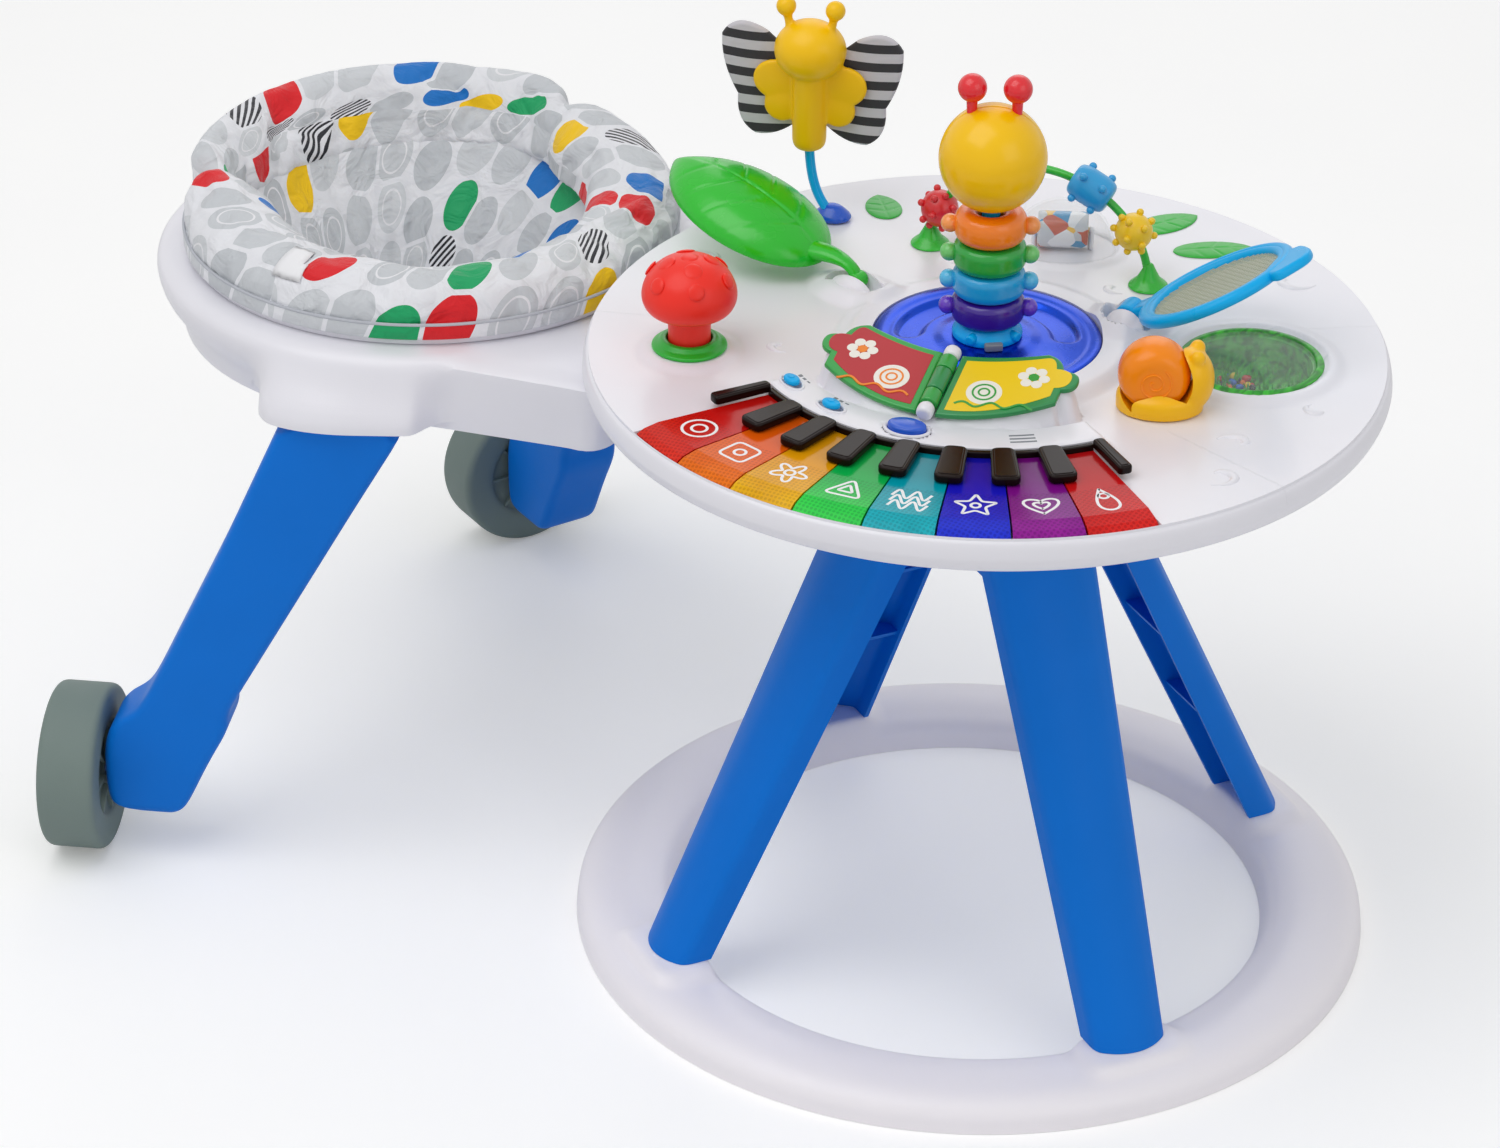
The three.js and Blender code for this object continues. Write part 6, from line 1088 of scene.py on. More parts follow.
for name, low, high, code, pale, rounding in STACK:
    gloss = moulded("ring_" + name, plastic(name), code, 0.22, 0.06, Coat_Weight=0.15)
    section = [(STACK_BORE, low), (STACK_RADIUS, low), (STACK_RADIUS, high), (STACK_BORE, high)]
    ring = lathe(fillet(section, rounding, 8), 96)
    make_piece("stack_" + name, ring.through(stack_place), gloss, "ring_" + name, ["ring_" + name])
    clear = moulded("knob_" + name, plastic(name), pale, 0.12, 0.04, 2e-5, Coat_Weight=0.2)
    arc = np.linspace(-math.pi / 2, math.pi / 2, 17)
    knob = lathe([(KNOB_RADIUS * math.cos(a), KNOB_RADIUS * math.sin(a)) for a in arc], 32, False)
    knobs = joined(knob.at(side * KNOB_REACH, 0, (low + high) / 2) for side in (-1, 1))
    make_piece("knobs_" + name, knobs.through(stack_place), clear, "ring_" + name)


def ball(x, y, z, rows=24, sides=48):
    """A rounded body with its three half sizes."""
    half = np.linspace(-math.pi / 2, math.pi / 2, rows + 1)
    return lathe(np.stack([np.cos(half), np.sin(half)], -1), sides, False).stretch(x, y, z)


head_yellow = moulded("head_yellow", "yellow_plastic", "fdc800", 0.22, 0.04, 2e-5, Specular_IOR_Level=0.35)
feeler_red = moulded("feeler_red", "red_plastic", "e81c28", 0.22, 0.05, 3e-5, Coat_Weight=0.15)
head = ball(*HEAD_RADIUS, 32, 72).at(0, 0, HEAD_HEIGHT)
across, tall = HEAD_RADIUS[1] + 0.1, HEAD_RADIUS[2] + 0.1
seam = [(0, across * math.cos(a), HEAD_HEIGHT + tall * math.sin(a)) for a in full_turn(96)]
head += tube(seam, 0.5, 6, True).turn(90)
make_piece("head_ball", head.through(stack_place), head_yellow, "head", ["stack_head"])
feelers = []
for side in (-1, 1):
    stem = [(side * FEELER_HALF * 0.8, 0, 694), (side * FEELER_HALF, 0, 706), (side * FEELER_HALF, 0, 718)]
    feelers.append(
        tube(stem, [4.4, 3.9, 4.4], 20) + ball(*[FEELER_BALL] * 3).at(side * FEELER_HALF, 0, 724.8)
    )
make_piece("head_feeler_balls", joined(feelers).through(stack_place), feeler_red, "head", ["head_feelers"])

# Leaf lid
# A hollow green leaf, blow-thin and glossy, with pressed veins. Its broad stem curls down into a mound of
# the table and turns on a pin there.
LEAF_LENGTH = 156
LEAF_WIDTH = 102
LEAF_START = 36
LEAF_DROP = -8
LEAF_CROWN = 30
LEAF_LIFT = 15
LEAF_HINGE = 521
LEAF_WALL = 2.6
VEIN_WIDTH = 1.3
PIN_RADIUS = 2.5
MOUND_SHARES = (0, 0.02, 0.06, 0.2, 0.4, 0.6, 0.75, 0.87, 0.95, 0.99)


def cubic(start, pull, push, end):
    """Points along a cubic path."""
    t = np.linspace(0, 1, 25)[:, None]
    start, pull, push, end = (np.array(p, float) for p in (start, pull, push, end))
    return (1 - t) ** 3 * start + 3 * t * (1 - t) ** 2 * pull + 3 * t * t * (1 - t) * push + t**3 * end


def leaf_outline(length, width):
    """A pointed leaf from its stem at the origin to its tip."""
    upper = cubic((0, 0), (length * 0.02, width * 0.6), (length * 0.78, width * 0.7), (length, 0))
    return np.vstack([upper[:-1], upper[:0:-1] * (1, -1)])


def leaf_veins(x, y, length, count):
    """How near a point is to the midrib or to one of the side veins, which sweep towards the tip."""
    near = np.abs(y)
    for vein in range(1, count + 1):
        start = length * vein / (count + 1.3)
        near = np.minimum(near, np.abs(x - start - np.abs(y) * 0.55 - y * y * 0.004) * 0.85)
    return near


def leaf_dome(length, width, crown, groove, count, rows=44, sides=200):
    """A domed leaf with pressed veins, from its middle out to its edge."""
    turns = full_turn(sides)
    edge = reach_to(leaf_outline(length, width)[::-1] - (length / 2, 0), turns)
    share = np.sin(np.linspace(0, math.pi / 2, rows))[:, None]
    x, y = length / 2 + share * edge * np.cos(turns), share * edge * np.sin(turns)
    height = crown * (np.sqrt(np.maximum(1 - share**2, 0)) * 0.92 + 0.08) + 0 * x
    height = height - groove * np.exp(-((leaf_veins(x, y, length, count) / VEIN_WIDTH) ** 2)) * (1 - share**6)
    return Shape(np.stack([x, y, height], -1).reshape(-1, 3), grid_faces(rows, sides))


def split_mound(length, width, rise, slot, base):
    """A rounded mound split by a slot along X, with a pin across the slot."""
    pin_height = LEAF_HINGE - TABLE_HEIGHT
    made = tube([(0, -slot / 2 - 2, pin_height), (0, slot / 2 + 2, pin_height)], PIN_RADIUS, 16)
    for side in (-1, 1):
        loops = []
        for share in MOUND_SHARES:
            y = slot / 2 + share * (width / 2 - slot / 2)
            size = math.sqrt(max(1 - (y / (width / 2)) ** 2, 0)) * (0.95 if share == 0 else 1)
            arc = np.linspace(0, math.pi, 25)
            x, z = length / 2 * size * np.cos(arc), base + rise * size * np.sin(arc)
            loops.append(np.stack([x, 0 * arc + side * y, z], -1))
        made += skin_over(loops)
    return made


leaf_green = moulded("leaf_green", "green_plastic", "16c21a", 0.26, 0.06, 3e-5, Coat_Weight=0.15)
leaf_frame = turned(table_place @ spot(*LEAF, LEAF_HINGE), -LEAF_LIFT, "Y")
lid = leaf_dome(LEAF_LENGTH, LEAF_WIDTH, LEAF_CROWN, 1.1, 4).at(LEAF_START, 0, LEAF_DROP)
lid_piece = make_piece("leaf_shell", lid.through(leaf_frame), leaf_green, "leaf", ["leaf_lid"], 60)
modify(lid_piece, "wall", "SOLIDIFY", thickness=LEAF_WALL / 1000, offset=-1)
stem_path = curve([(50, -1), ((30, 8), (16, 8.6)), ((4, 8.6), (0, 0))], 8)
stem_path = np.column_stack([stem_path[:, 0], 0 * stem_path[:, 0], stem_path[:, 1]])
stem = tube(stem_path, np.interp(stem_path[:, 0], [0, 12, 30, 50], [6, 6.2, 9.5, 12]), 20, flat=0.62)
stem += cylinder(7, 6, 1.5, "X")
make_piece("leaf_stem", stem.through(leaf_frame), leaf_green, "leaf")
mound = split_mound(46, 34, 16, 13.4, 0.3)
make_piece("leaf_mound", mound.through(table_place @ spot(*LEAF)), table_white, "table", ["leaf_base"], 50)

# Paddle
# A sky-blue hand-held frame with a scalloped tab, holding a fine woven net. Its neck hinges in a second
# mound beside the snail.
PADDLE_HINGE = 524
PADDLE_LIFT = 29
PADDLE_MIDDLE = 79
PADDLE_SIZE = (128, 130)
PADDLE_EDGE = 3
NET_RADIUS = 54.5
NET_PITCH = 4.4

paddle_frame = turned(table_place @ spot(*PADDLE, PADDLE_HINGE), -PADDLE_LIFT, "Y")
rims = [oval_rim(PADDLE_SIZE[0] - 10, PADDLE_SIZE[1] - 10, 4.9, 120, 16)]
rims += [oval_rim(PADDLE_SIZE[0] - 18, PADDLE_SIZE[1] - 18, 4.2, 120, 16)]
hoop = joined(rims).at(PADDLE_MIDDLE)
scallops = [
    (17 + 1.8 * math.cos(3 * a), 27 * (1 + 0.1 * math.cos(2 * a - 0.3) ** 2), a) for a in full_turn(60)
]
tab = [(144 + long * math.cos(a), wide * math.sin(a) * 0.92) for long, wide, a in scallops]
hoop += plate(tab, -4, 4, PADDLE_EDGE, 4)
neck = fillet([(0, -9), (21, -12), (21, 12), (0, 9)], 3)
hoop += plate(neck, -4, 4, PADDLE_EDGE, 4) + cylinder(9, 10, 2, "X")
make_piece("paddle_hoop", hoop.through(paddle_frame), sky_blue, "paddle", ["paddle_frame"], 60)
net_grey = moulded("net_thread", "net", "b8bca6", 0.6, 0.08)
strands = []
for angle, lift in ((45, 0.25), (135, -0.25)):
    along, across = math.radians(angle), math.radians(angle + 90)
    for step in np.arange(-52, 53, NET_PITCH):
        chord = math.sqrt(max(NET_RADIUS**2 - step * step, 0))
        middle = np.array([math.cos(across), math.sin(across)]) * step
        ends = [middle + side * chord * np.array([math.cos(along), math.sin(along)]) for side in (-1, 1)]
        strands.append(tube(level(ends, lift), 0.5, 5))
net = joined(strands).at(PADDLE_MIDDLE)
make_piece("paddle_net", net.through(paddle_frame), net_grey, "paddle", ["paddle_mesh"])
mound = split_mound(38, 46, 21, 21.4, 0.3)
make_piece(
    "paddle_mound", mound.through(table_place @ spot(*PADDLE)), table_white, "table", ["paddle_base"], 50
)

# Bead window
# A green tray, moulded with grass in its floor, hangs in the table's round hole. A clear lens is pressed in
# over it and keeps the loose beads inside.
TRAY_DEPTH = 23.4
BEAD_COUNT = 34
BEAD_COLOURS = {"red": "d02020", "blue": "1c6cd0", "yellow": "f4d020", "black": "20242a", "orange": "f07018"}
GRASS_COUNT = 70
GRASS_RADIUS = 41
GRASS_FOOT = -23
LENS_CLEAR = 0.03
LENS_RIM = 0.16

tray_green = Finish("tray_green", "green_plastic", Coat_Weight=0.2)
drawn_out = tray_green.vector("MULTIPLY", tray_green.place, (1.0, 0.25, 1.0))
blades = tray_green.node(
    "TexNoise", {}, {"Vector": drawn_out, "Scale": 130.0, "Detail": 2.0, "Distortion": 1.2}
)
tray_green.colour(tray_green.mix((blades - 0.35) * 3.0, tint("0c7a14"), tint("3cc42a")))
tray_green.rough(0.4 + tray_green.noise(60.0) * 0.1)
tray_green.relief(blades, 8e-4)
window_place = table_place @ spot(*WINDOW)
tray_outside = [(0, -26), (52, -26), (52, 0.3), (56, 0.3), (55, 1.6), (51, 2.6), (49.4, 1.6)]
tray_inside = [(49.4, -1.9), (46.8, -1.9), (46.8, -TRAY_DEPTH), (0, -TRAY_DEPTH)]
window_tray = lathe(fillet(tray_outside + tray_inside, 0.8, 3, False), 120, False)
make_piece("window_tray", window_tray.through(window_place), tray_green, "table", ["bead_tray"])
lens_clear = Finish("lens_clear", "clear_plastic", Coat_Weight=0.2, Roughness=0.04)
lens_clear.colour(lens_clear.mix(lens_clear.noise(30.0), tint("eef4f2"), tint("f8fbfa")))
rim_share = lens_clear.node("LayerWeight", {}, {"Blend": 0.35}, "Facing")
lens_clear.feed(lens_clear.surface, {"Alpha": LENS_CLEAR + rim_share * LENS_RIM})
lens = lathe(
    [(0, 1.4), (20, 1.0), (36, 0.2), (49, -1.5), (49, 1.4), (36, 2.9), (20, 3.8), (0, 4.1)], 96, False
)
make_piece("window_glass", lens.through(window_place), lens_clear, "table", ["window_lens"])
draw = random.Random(7)
loose = {}
for _ in range(BEAD_COUNT):
    size = draw.uniform(2.2, 3.1)
    x, y = draw.gauss(-12, 11), draw.gauss(-4, 9)
    x, y = max(-40, min(30, x)), max(-32, min(32, y))
    kind = draw.choice(["red", "blue", "yellow", "black", "black", "orange"])
    lump = ball(size, size, size, 8, 14).at(x, y, size + draw.choice([0, 0, 3.4]) - TRAY_DEPTH)
    loose.setdefault(kind, []).append(lump)
for kind, code in BEAD_COLOURS.items():
    paint = moulded("bead_" + kind, kind + "_plastic", code, 0.25, 0.05, 2e-5)
    make_piece("loose_beads_" + kind, joined(loose[kind]).through(window_place), paint, "table")
tufts = []
for _ in range(GRASS_COUNT):
    x, y = draw.uniform(-38, 38), draw.uniform(-38, 38)
    lean = draw.uniform(-0.5, 0.5)
    if math.hypot(x, y) < GRASS_RADIUS:
        tall = draw.uniform(9, 17)
        blade = [(0, 0, 0), (lean * 4, 0, tall * 0.6), (lean * 9, 2, tall)]
        tufts.append(tube(blade, [1.5, 1.2, 0.2], 5, flat=0.4).at(x, y, GRASS_FOOT))
make_piece("window_grass", joined(tufts).through(window_place), tray_green, "table")

# Snail
# A yellow snail screwed to the table, moulded with a plain head and ball feelers. Its orange shell is a
# roller on a pin between the body's two walls.
SNAIL = (162, -20, 16)
SNAIL_BASE = 0.5
SHELL_PLACE = (-5, 0, 29)
MELT_VOXEL = 1.3


def settle(piece):
    """Turns a piece's modifiers into its mesh."""
    piece.data = bpy.data.meshes.new_from_object(piece.evaluated_get(bpy.context.evaluated_depsgraph_get()))
    piece.modifiers.clear()


def merged(name, shape, finish, body, replaces, gone=None):
    """One moulding from overlapping bodies: they are melted together, and a room may be cut out of them."""
    piece = make_piece(name, shape, finish, body, replaces)
    modify(piece, "melt", "REMESH", mode="VOXEL", voxel_size=MELT_VOXEL / 1000)
    modify(piece, "soften", "SMOOTH", iterations=8)
    if gone is not None:
        tool = make_piece(name + "_room", gone, finish, body)
        modify(piece, "room", "BOOLEAN", operation="DIFFERENCE", object=tool)
    bpy.context.view_layer.update()
    settle(piece)
    piece.data.shade_smooth()
    piece.data.set_sharp_from_angle(angle=math.radians(42))
    if gone is not None:
        bpy.data.objects.remove(tool)
    return piece


snail_place = table_place @ spot(*SNAIL)
snail_yellow = moulded("snail_yellow", "yellow_plastic", "fdc000", 0.3, 0.04, 3e-5, Specular_IOR_Level=0.35)
shell_orange = moulded("snail_orange", "orange_plastic", "ff8e00", 0.24, 0.05, 2e-5, Specular_IOR_Level=0.35)
snail = plate(oval(66, 54), SNAIL_BASE, 17, 6, 5) + ball(33, 26, 31).at(0, 0, 1.5)
snail.points[:, 2] = np.maximum(snail.points[:, 2], SNAIL_BASE)
snail += ball(18, 20, 25).at(22, 0, 25)
for side in (-1, 1):
    snail += tube([(26, side * 6, 34), (26.4, side * 8.6, 42), (26.4, side * 9, 46)], 3.1, 14)
    snail += ball(6, 6, 6, 12, 20).at(26.4, side * 9, 47)
room = cylinder(28.4, 20.6, 1, "X").at(*SHELL_PLACE).through(snail_place)
merged("snail", snail.through(snail_place), snail_yellow, "table", ["snail_body"], room)
half_round = [(0, -20), (15, -20), (20.5, -18.4), (24.4, -14), (26.8, -7.5), (27.5, 0)]
half_round += [(radius, -height) for radius, height in half_round[-2::-1]]
roller = lathe(fillet(half_round, 3, 4, False), 72, False).turn(90, "X")
for side in (-1, 1):
    coil = [
        (0.9 * t * math.cos(t * 0.9), side * 20.1, 0.9 * t * math.sin(t * 0.9))
        for t in np.linspace(2, 15, 50)
    ]
    roller += tube(coil, 0.9, 6)
make_piece(
    "snail_roller", roller.at(*SHELL_PLACE).through(snail_place), shell_orange, "snail_shell", ["snail_shell"]
)

# Mushroom
# A red push toy of soft-touch plastic, moulded with low round bumps on its cap. It stands on a spring and
# slides in a green collar that is pressed into the table.
cap_red = moulded("mushroom_red", "red_plastic", "f83022", 0.36, 0.05, 5e-5, Specular_IOR_Level=0.35)
collar_green = moulded("collar_green", "green_plastic", "1cb42c", 0.3, 0.06)
stem = [(0, -7), (17, -7), (16.2, 12), (16.6, 33)]
cap = [(25, 33.5), (32, 36), (36.6, 44), (36.4, 54), (31, 66), (20, 75.5), (8, 79.2), (0, 79.5)]
mushroom = lathe(fillet(stem + cap, 6, 6, False), 96, False)
bumps = [(turn, 58, 6.6) for turn in range(0, 360, 60)] + [(turn + 30, 30, 7.4) for turn in range(0, 360, 90)]
for turn, tilt, size in [*bumps, (0, 0, 7)]:
    reach = 36.2 - 2.2 * math.cos(2 * math.radians(tilt))
    mushroom += ball(size, size, 1.6, 8, 28).at(0, 0, reach).turn(tilt, "Y").turn(turn).at(0, 0, 45)
mushroom_place = table_place @ spot(*MUSHROOM)
make_piece("mushroom_cap", mushroom.through(mushroom_place), cap_red, "mushroom", ["mushroom"])
collar = fillet([(17.6, 4.3), (29, 4.3), (29, 6.8), (24, 9), (21.5, 12.3), (17.6, 12.3)], 1.3)
make_piece(
    "mushroom_ring", lathe(collar, 96).through(mushroom_place), collar_green, "table", ["mushroom_collar"]
)

# Bug on a stalk
# A bendy grooved stalk in a shiny blue foot, with a yellow bug on top. The bug's body, head and short wings
# are one moulding. The striped wings behind are padded cloth, sewn to its back.
BUG_LEAN = -20
BUG_BOTTOM = 61
BUG_HEAD = 145.65
BUG_TURN = 5
WING = (74, 56.8, 41.2)
STRIPE_RATE = 400.0

bug_place = table_place @ spot(*STALK, BUG_TURN)
foot = fillet([(0, 0.5), (11, 0.5), (13, 4), (9, 9), (4.8, 13), (0, 14)], 3, 5, False)
foot = lathe(foot, 48, False).stretch(1.25, 1, 1)
stalk_path = cubic((0, 0, 4), (-10, 0, 14), (-20, 0, 28), (BUG_LEAN, 0, 73))
stalk = tube(stalk_path, 3.9, 20)
for side in (-1, 1):
    stalk += tube(stalk_path + (0, side * 3.4, 0), 2.3, 12)
make_piece("bug_stalk", stalk.through(bug_place), sky_blue, "bug", ["stalk"])
make_piece("bug_foot", foot.through(bug_place), button_blue, "table")
bug_yellow = moulded("bug_yellow", "yellow_plastic", "fdc800", 0.34, 0.04, 3e-5, Specular_IOR_Level=0.35)
bug = lathe(fillet([(0, BUG_BOTTOM), (13.8, BUG_BOTTOM), (13.8, 132), (0, 132)], 10, 8, False), 40, False)
bug += ball(29, 26, 25).at(0, 0, BUG_HEAD)
for side in (-1, 1):
    bug += tube([(side * 16, 0, 160), (side * 18, 0, 170), (side * 19.4, 0, 178)], 3.6, 14)
    bug += ball(8.2, 8.2, 8.2, 14, 22).at(side * 20, 0, 181)
    for radius, long, reach, height in ((17, 1.1, 28, 117), (14.5, 1, 23, 96)):
        wing = plate(circle(radius), -2.8, 2.8, 2.3, 4, 0.8).stretch(long, 1, 1)
        bug += wing.turn(90, "X").at(side * reach, 0.4, height)
merged("bug_figure", bug.at(BUG_LEAN).through(bug_place), bug_yellow, "bug", ["bug_body"])
span, high, low = WING
half_wing = curve(
    [
        (0, -low * 0.35),
        ((span * 0.3, -low * 1.05), (span * 0.62, -low)),
        ((span * 0.85, -low * 0.8), (span * 0.82, -low * 0.2)),
        ((span * 1.02, high * 0.3), (span, high * 0.75)),
        ((span * 0.85, high * 1.1), (span * 0.5, high * 0.85)),
        (0, high * 0.3),
    ],
    10,
)
wing_outline = np.vstack([half_wing, half_wing[-2:0:-1] * (-1, 1)])
striped = Finish("wing_stripes", "striped_fabric", Sheen_Weight=0.3)
axes = striped.node("SeparateXYZ", {}, {0: striped.place})
wavy = axes["Z"] + (axes["X"] * 70.0).sine() * 0.0016
striped.colour(striped.mix((wavy * STRIPE_RATE).sine() > 0.05, tint("c9c6cc"), tint("242228")))
striped.rough(0.62 + striped.noise(80.0) * 0.12)
striped.relief(striped.noise(120.0, 3.0), 1.2e-3)
wings = plate(wing_outline, -3.4, 2.6, 2.6, 4).turn(90, "X").at(BUG_LEAN, 6.8, 107)
wing_piece = make_piece("cloth_wings", wings.through(bug_place), striped, "bug", ["bug_wings"], 70)

# Bead arch
# A green plastic rod, bent to an arch and stepped into flared feet that are screwed to the table. Three
# tumbling beads are threaded on it.
ARCH = (145, 91, -4)
ARCH_SPAN = 92
ARCH_RISE = 84
ARCH_ROD = 3.3
SPIKY_RADIUS = 15

arch_place = table_place @ spot(*ARCH)
arch_green = moulded("arch_green", "green_plastic", "28b82e", 0.27, 0.06, Coat_Weight=0.1)
steps = np.linspace(0, math.pi, 60)
arch = tube(np.stack([ARCH_SPAN * np.cos(steps), 0 * steps, ARCH_RISE * np.sin(steps)], -1), ARCH_ROD, 16)
foot = fillet([(0, 0.3), (16, 0.3), (15.4, 2), (9.5, 7), (5.2, 15), (3, 20), (0, 20)], 2.4, 4, False)
for side in (-1, 1):
    arch += lathe(foot, 48, False).at(side * ARCH_SPAN)
make_piece("arch_rod", arch.through(arch_place), arch_green, "table", ["bead_arch"])


def arch_spot(turn):
    """A place on the arch's rod, with Z along it."""
    angle = math.radians(turn)
    ahead = Vector((-ARCH_SPAN * math.sin(angle), 0, ARCH_RISE * math.cos(angle)))
    place = Matrix.Translation((ARCH_SPAN * math.cos(angle), 0, ARCH_RISE * math.sin(angle)))
    return arch_place @ place @ ahead.to_track_quat("Z", "Y").to_matrix().to_4x4()


def stub(tilt, turn, reach, size):
    """A short rounded stud that stands out from a bead."""
    arm = tube([(0, 0, reach - 5), (0, 0, reach + size * 0.6)], size * 0.8, 12)
    arm += ball(size, size, size, 8, 14).at(0, 0, reach + size * 0.7)
    return arm.turn(tilt, "Y").turn(turn)


spiky = ball(*[SPIKY_RADIUS] * 3)
for tilt, count, shift in ((90, 6, 0), (48, 4, 30), (132, 4, 30), (18, 1, 0), (162, 1, 0)):
    for i in range(count):
        spiky += stub(tilt, shift + i * 360 / count, 14, 3)
barrel = lathe(
    fillet([(0, -17), (12, -17), (14.6, -9), (14.6, 9), (12, 17), (0, 17)], 4, 5, False), 48, False
)
for tilt in (60, 120):
    for i in range(4):
        barrel += stub(tilt, 45 + i * 90, 15.5, 3.2)
ARCH_BEADS = [("red", 157, "d8232a", spiky), ("blue", 63, "2aa2de", barrel), ("yellow", 32, "f8cc14", spiky)]
for name, turn, code, shape in ARCH_BEADS:
    paint = moulded("arch_bead_" + name, plastic(name), code, 0.3, 0.06, 3e-5, Coat_Weight=0.1)
    make_piece("tumble_bead_" + name, shape.through(arch_spot(turn)), paint, "bead_" + name, ["bead_" + name])

# Dome with a drum
# A clear blown dome that is pressed into the table. Under it an orange plastic drum with a printed skin
# tumbles between two posts.
DOME_RISE = 42
DRUM_HALF = 20
DRUM_RADIUS = 15

dome_place = table_place @ spot(*DOME)
half_arc = np.linspace(math.pi / 2, 0.007, 24)
outer = np.stack([np.cos(half_arc), np.sin(half_arc)], -1)
dome = lathe(
    np.vstack([outer, [(1.05, 0.008), (1.05, 0.03), (0.952, 0.03)], outer[::-1][1:] * 0.953]), 96, False
)
dome = dome.stretch(DOME_SIZE[0] / 2, DOME_SIZE[1] / 2, DOME_RISE)
make_piece("clear_dome", dome.through(dome_place), lens_clear, "table", ["dome_lens"], 50)
drum_print = Finish("drum_print", "orange_plastic", Coat_Weight=0.5)
grid = {"Vector": drum_print.place, "Scale": 75.0, "Randomness": 0.8}
bits = drum_print.node("TexVoronoi", {"feature": "F1"}, grid)
shade = drum_print.node("SeparateColor", {}, {0: bits["Color"]})
inks = [(0.0, "c8ccd2"), (0.35, "e8eaee"), (0.55, "c0563c"), (0.7, "3a8fc0"), (0.85, "e8b83a")]
stops = [(place, tint(code)) for place, code in inks]
drum_print.colour(drum_print.node("ValToRGB", {"stops": stops, "hard": True}, {0: shade["Red"]}))
drum_print.rough(0.2 + drum_print.noise(50.0) * 0.1)
drum = cylinder(DRUM_RADIUS - 0.4, DRUM_HALF, 2.4, "Y") + cylinder(2.4, DRUM_HALF + 4, 0.5, "Y")
make_piece("drum", drum.at(0, 0, DRUM_AXIS).through(dome_place), drum_print, "tumbler", ["tumbler"])

# Leaf pads
# Three flat green plastic leaves, moulded thin with pressed veins. They are pinned down to the table round
# the arch.
PADS = [("left", 252, 126.7, 120, 46, 30), ("middle", 262, 74, 50, 62, 32), ("right", 250, 61, 26, 66, 30)]
PAD_SIDES = 120

pad_green = moulded("pad_green", "green_plastic", "20b030", 0.3, 0.1)
for name, reach, turn, heading, length, width in PADS:
    top = leaf_dome(length, width, 2.4, 0.5, 3, 20, PAD_SIDES)
    pad = top + Shape(top.points * (1, 1, 0), [face[::-1] for face in top.faces])
    upper, lower = len(top.points) - PAD_SIDES, 2 * len(top.points) - PAD_SIDES
    for i in range(PAD_SIDES):
        after = (i + 1) % PAD_SIDES
        pad.faces.append([upper + i, upper + after, lower + after, lower + i])
    pad = pad.at(-length / 2).through(table_place @ spot(reach, turn, heading, TABLE_HEIGHT + 0.35))
    make_piece("ground_leaf_" + name, pad, pad_green, "table", ["leaf_pad_" + name], 60)

# Walker frame
# One white moulding, open below: a deep rim round the seat's bore, an apron with a socket over each leg, and
# the arm that hooks round the hub under the table.
SEAT_REACH = 516
SHELL_TOP = 472
SHELL_BORE = 172
SHELL_PROFILE = [(408, 198), (424, 203.8), (432, 212), (440, 219), (450, 223.4), (460, 225), (466, 223.4)]
SHELL_PROFILE += [(470, 219), (472, 211)]
SHELL_WALL = 4
SHELL_SHOULDER = 464
SHELL_INSIDE = (462, 450, 436, 426, 416, 408)
SHELL_OUTSIDE = (
    408, 409, 415.2, 415.4, 420, 426, 432, 438, 443, 448, 453, 458, 462, 465, 467.5, 469.5, 471, 472,
)
APRON_BOTTOM = 408
APRON_TOP = 470
APRON_RADIUS = (205, 209)
APRON_FRONT = (256, 264)
APRON_FRONT_HALF = (150, 158)
SOCKET_REACH = (446.3, 555.9)
SOCKET_HALF = 34
SOCKET_BOTTOM = 415.3
SOCKET_FADE = (420, 469)
SOCKET_BLEND = 22
SOCKET_ROOT = 180.0
SOCKET_FLARE = 6
SOCKET_TURNS = {"near": 203.95, "far": 153.45}
ARM = (-266, -76)
ARM_HALF = 62
ARM_BOTTOM = 423.8
COLLAR = (60.6, 98)
SEAT_TURN = 57


def soft_max(a, b, blend):
    """The larger of two values, with a smooth change from one to the other."""
    share = np.clip(0.5 + 0.5 * (a - b) / blend, 0, 1)
    return a * share + b * (1 - share) + blend * share * (1 - share)


walker_place = Matrix.Translation((*TABLE_AXIS, 0))
seat_place = walker_place @ Matrix.Translation((-SEAT_REACH, 0, 0))
shell_turns = np.radians(np.arange(0, 360, 1.0))
sockets = np.full(len(shell_turns), SOCKET_ROOT)
for turn in SOCKET_TURNS.values():
    near, far = SOCKET_REACH
    box = fillet([(near, -SOCKET_HALF), (far, -SOCKET_HALF), (far, SOCKET_HALF), (near, SOCKET_HALF)], 14)
    spin = np.array(Matrix.Rotation(math.radians(turn), 2))
    sockets = np.maximum(sockets, reach_to(box @ spin.T + (SEAT_REACH, 0), shell_turns))
for blend in (np.max, np.mean):
    sockets = blend([np.roll(sockets, step) for step in range(-SOCKET_FLARE, SOCKET_FLARE + 1)], 0)


def shell_outline(reach, height):
    """A loop of points at a height, from how far it reaches at each turn."""
    return level(np.stack([reach * np.cos(shell_turns), reach * np.sin(shell_turns)], -1), height)


def apron_reach(height):
    """How far the apron reaches at each turn: round at the back, straight towards the table."""
    share = (height - APRON_BOTTOM) / (APRON_TOP - APRON_BOTTOM)
    radius, front, half = (
        low + share * (high - low) for low, high in (APRON_RADIUS, APRON_FRONT, APRON_FRONT_HALF)
    )
    back = [
        (radius * math.cos(math.radians(t)), radius * math.sin(math.radians(t))) for t in range(64, 297, 4)
    ]
    ahead = fillet([(150, -half), (front, -half), (front, half), (150, half)], 26, 6, False)
    return reach_to(np.vstack([back, ahead[1:-1]]), shell_turns)


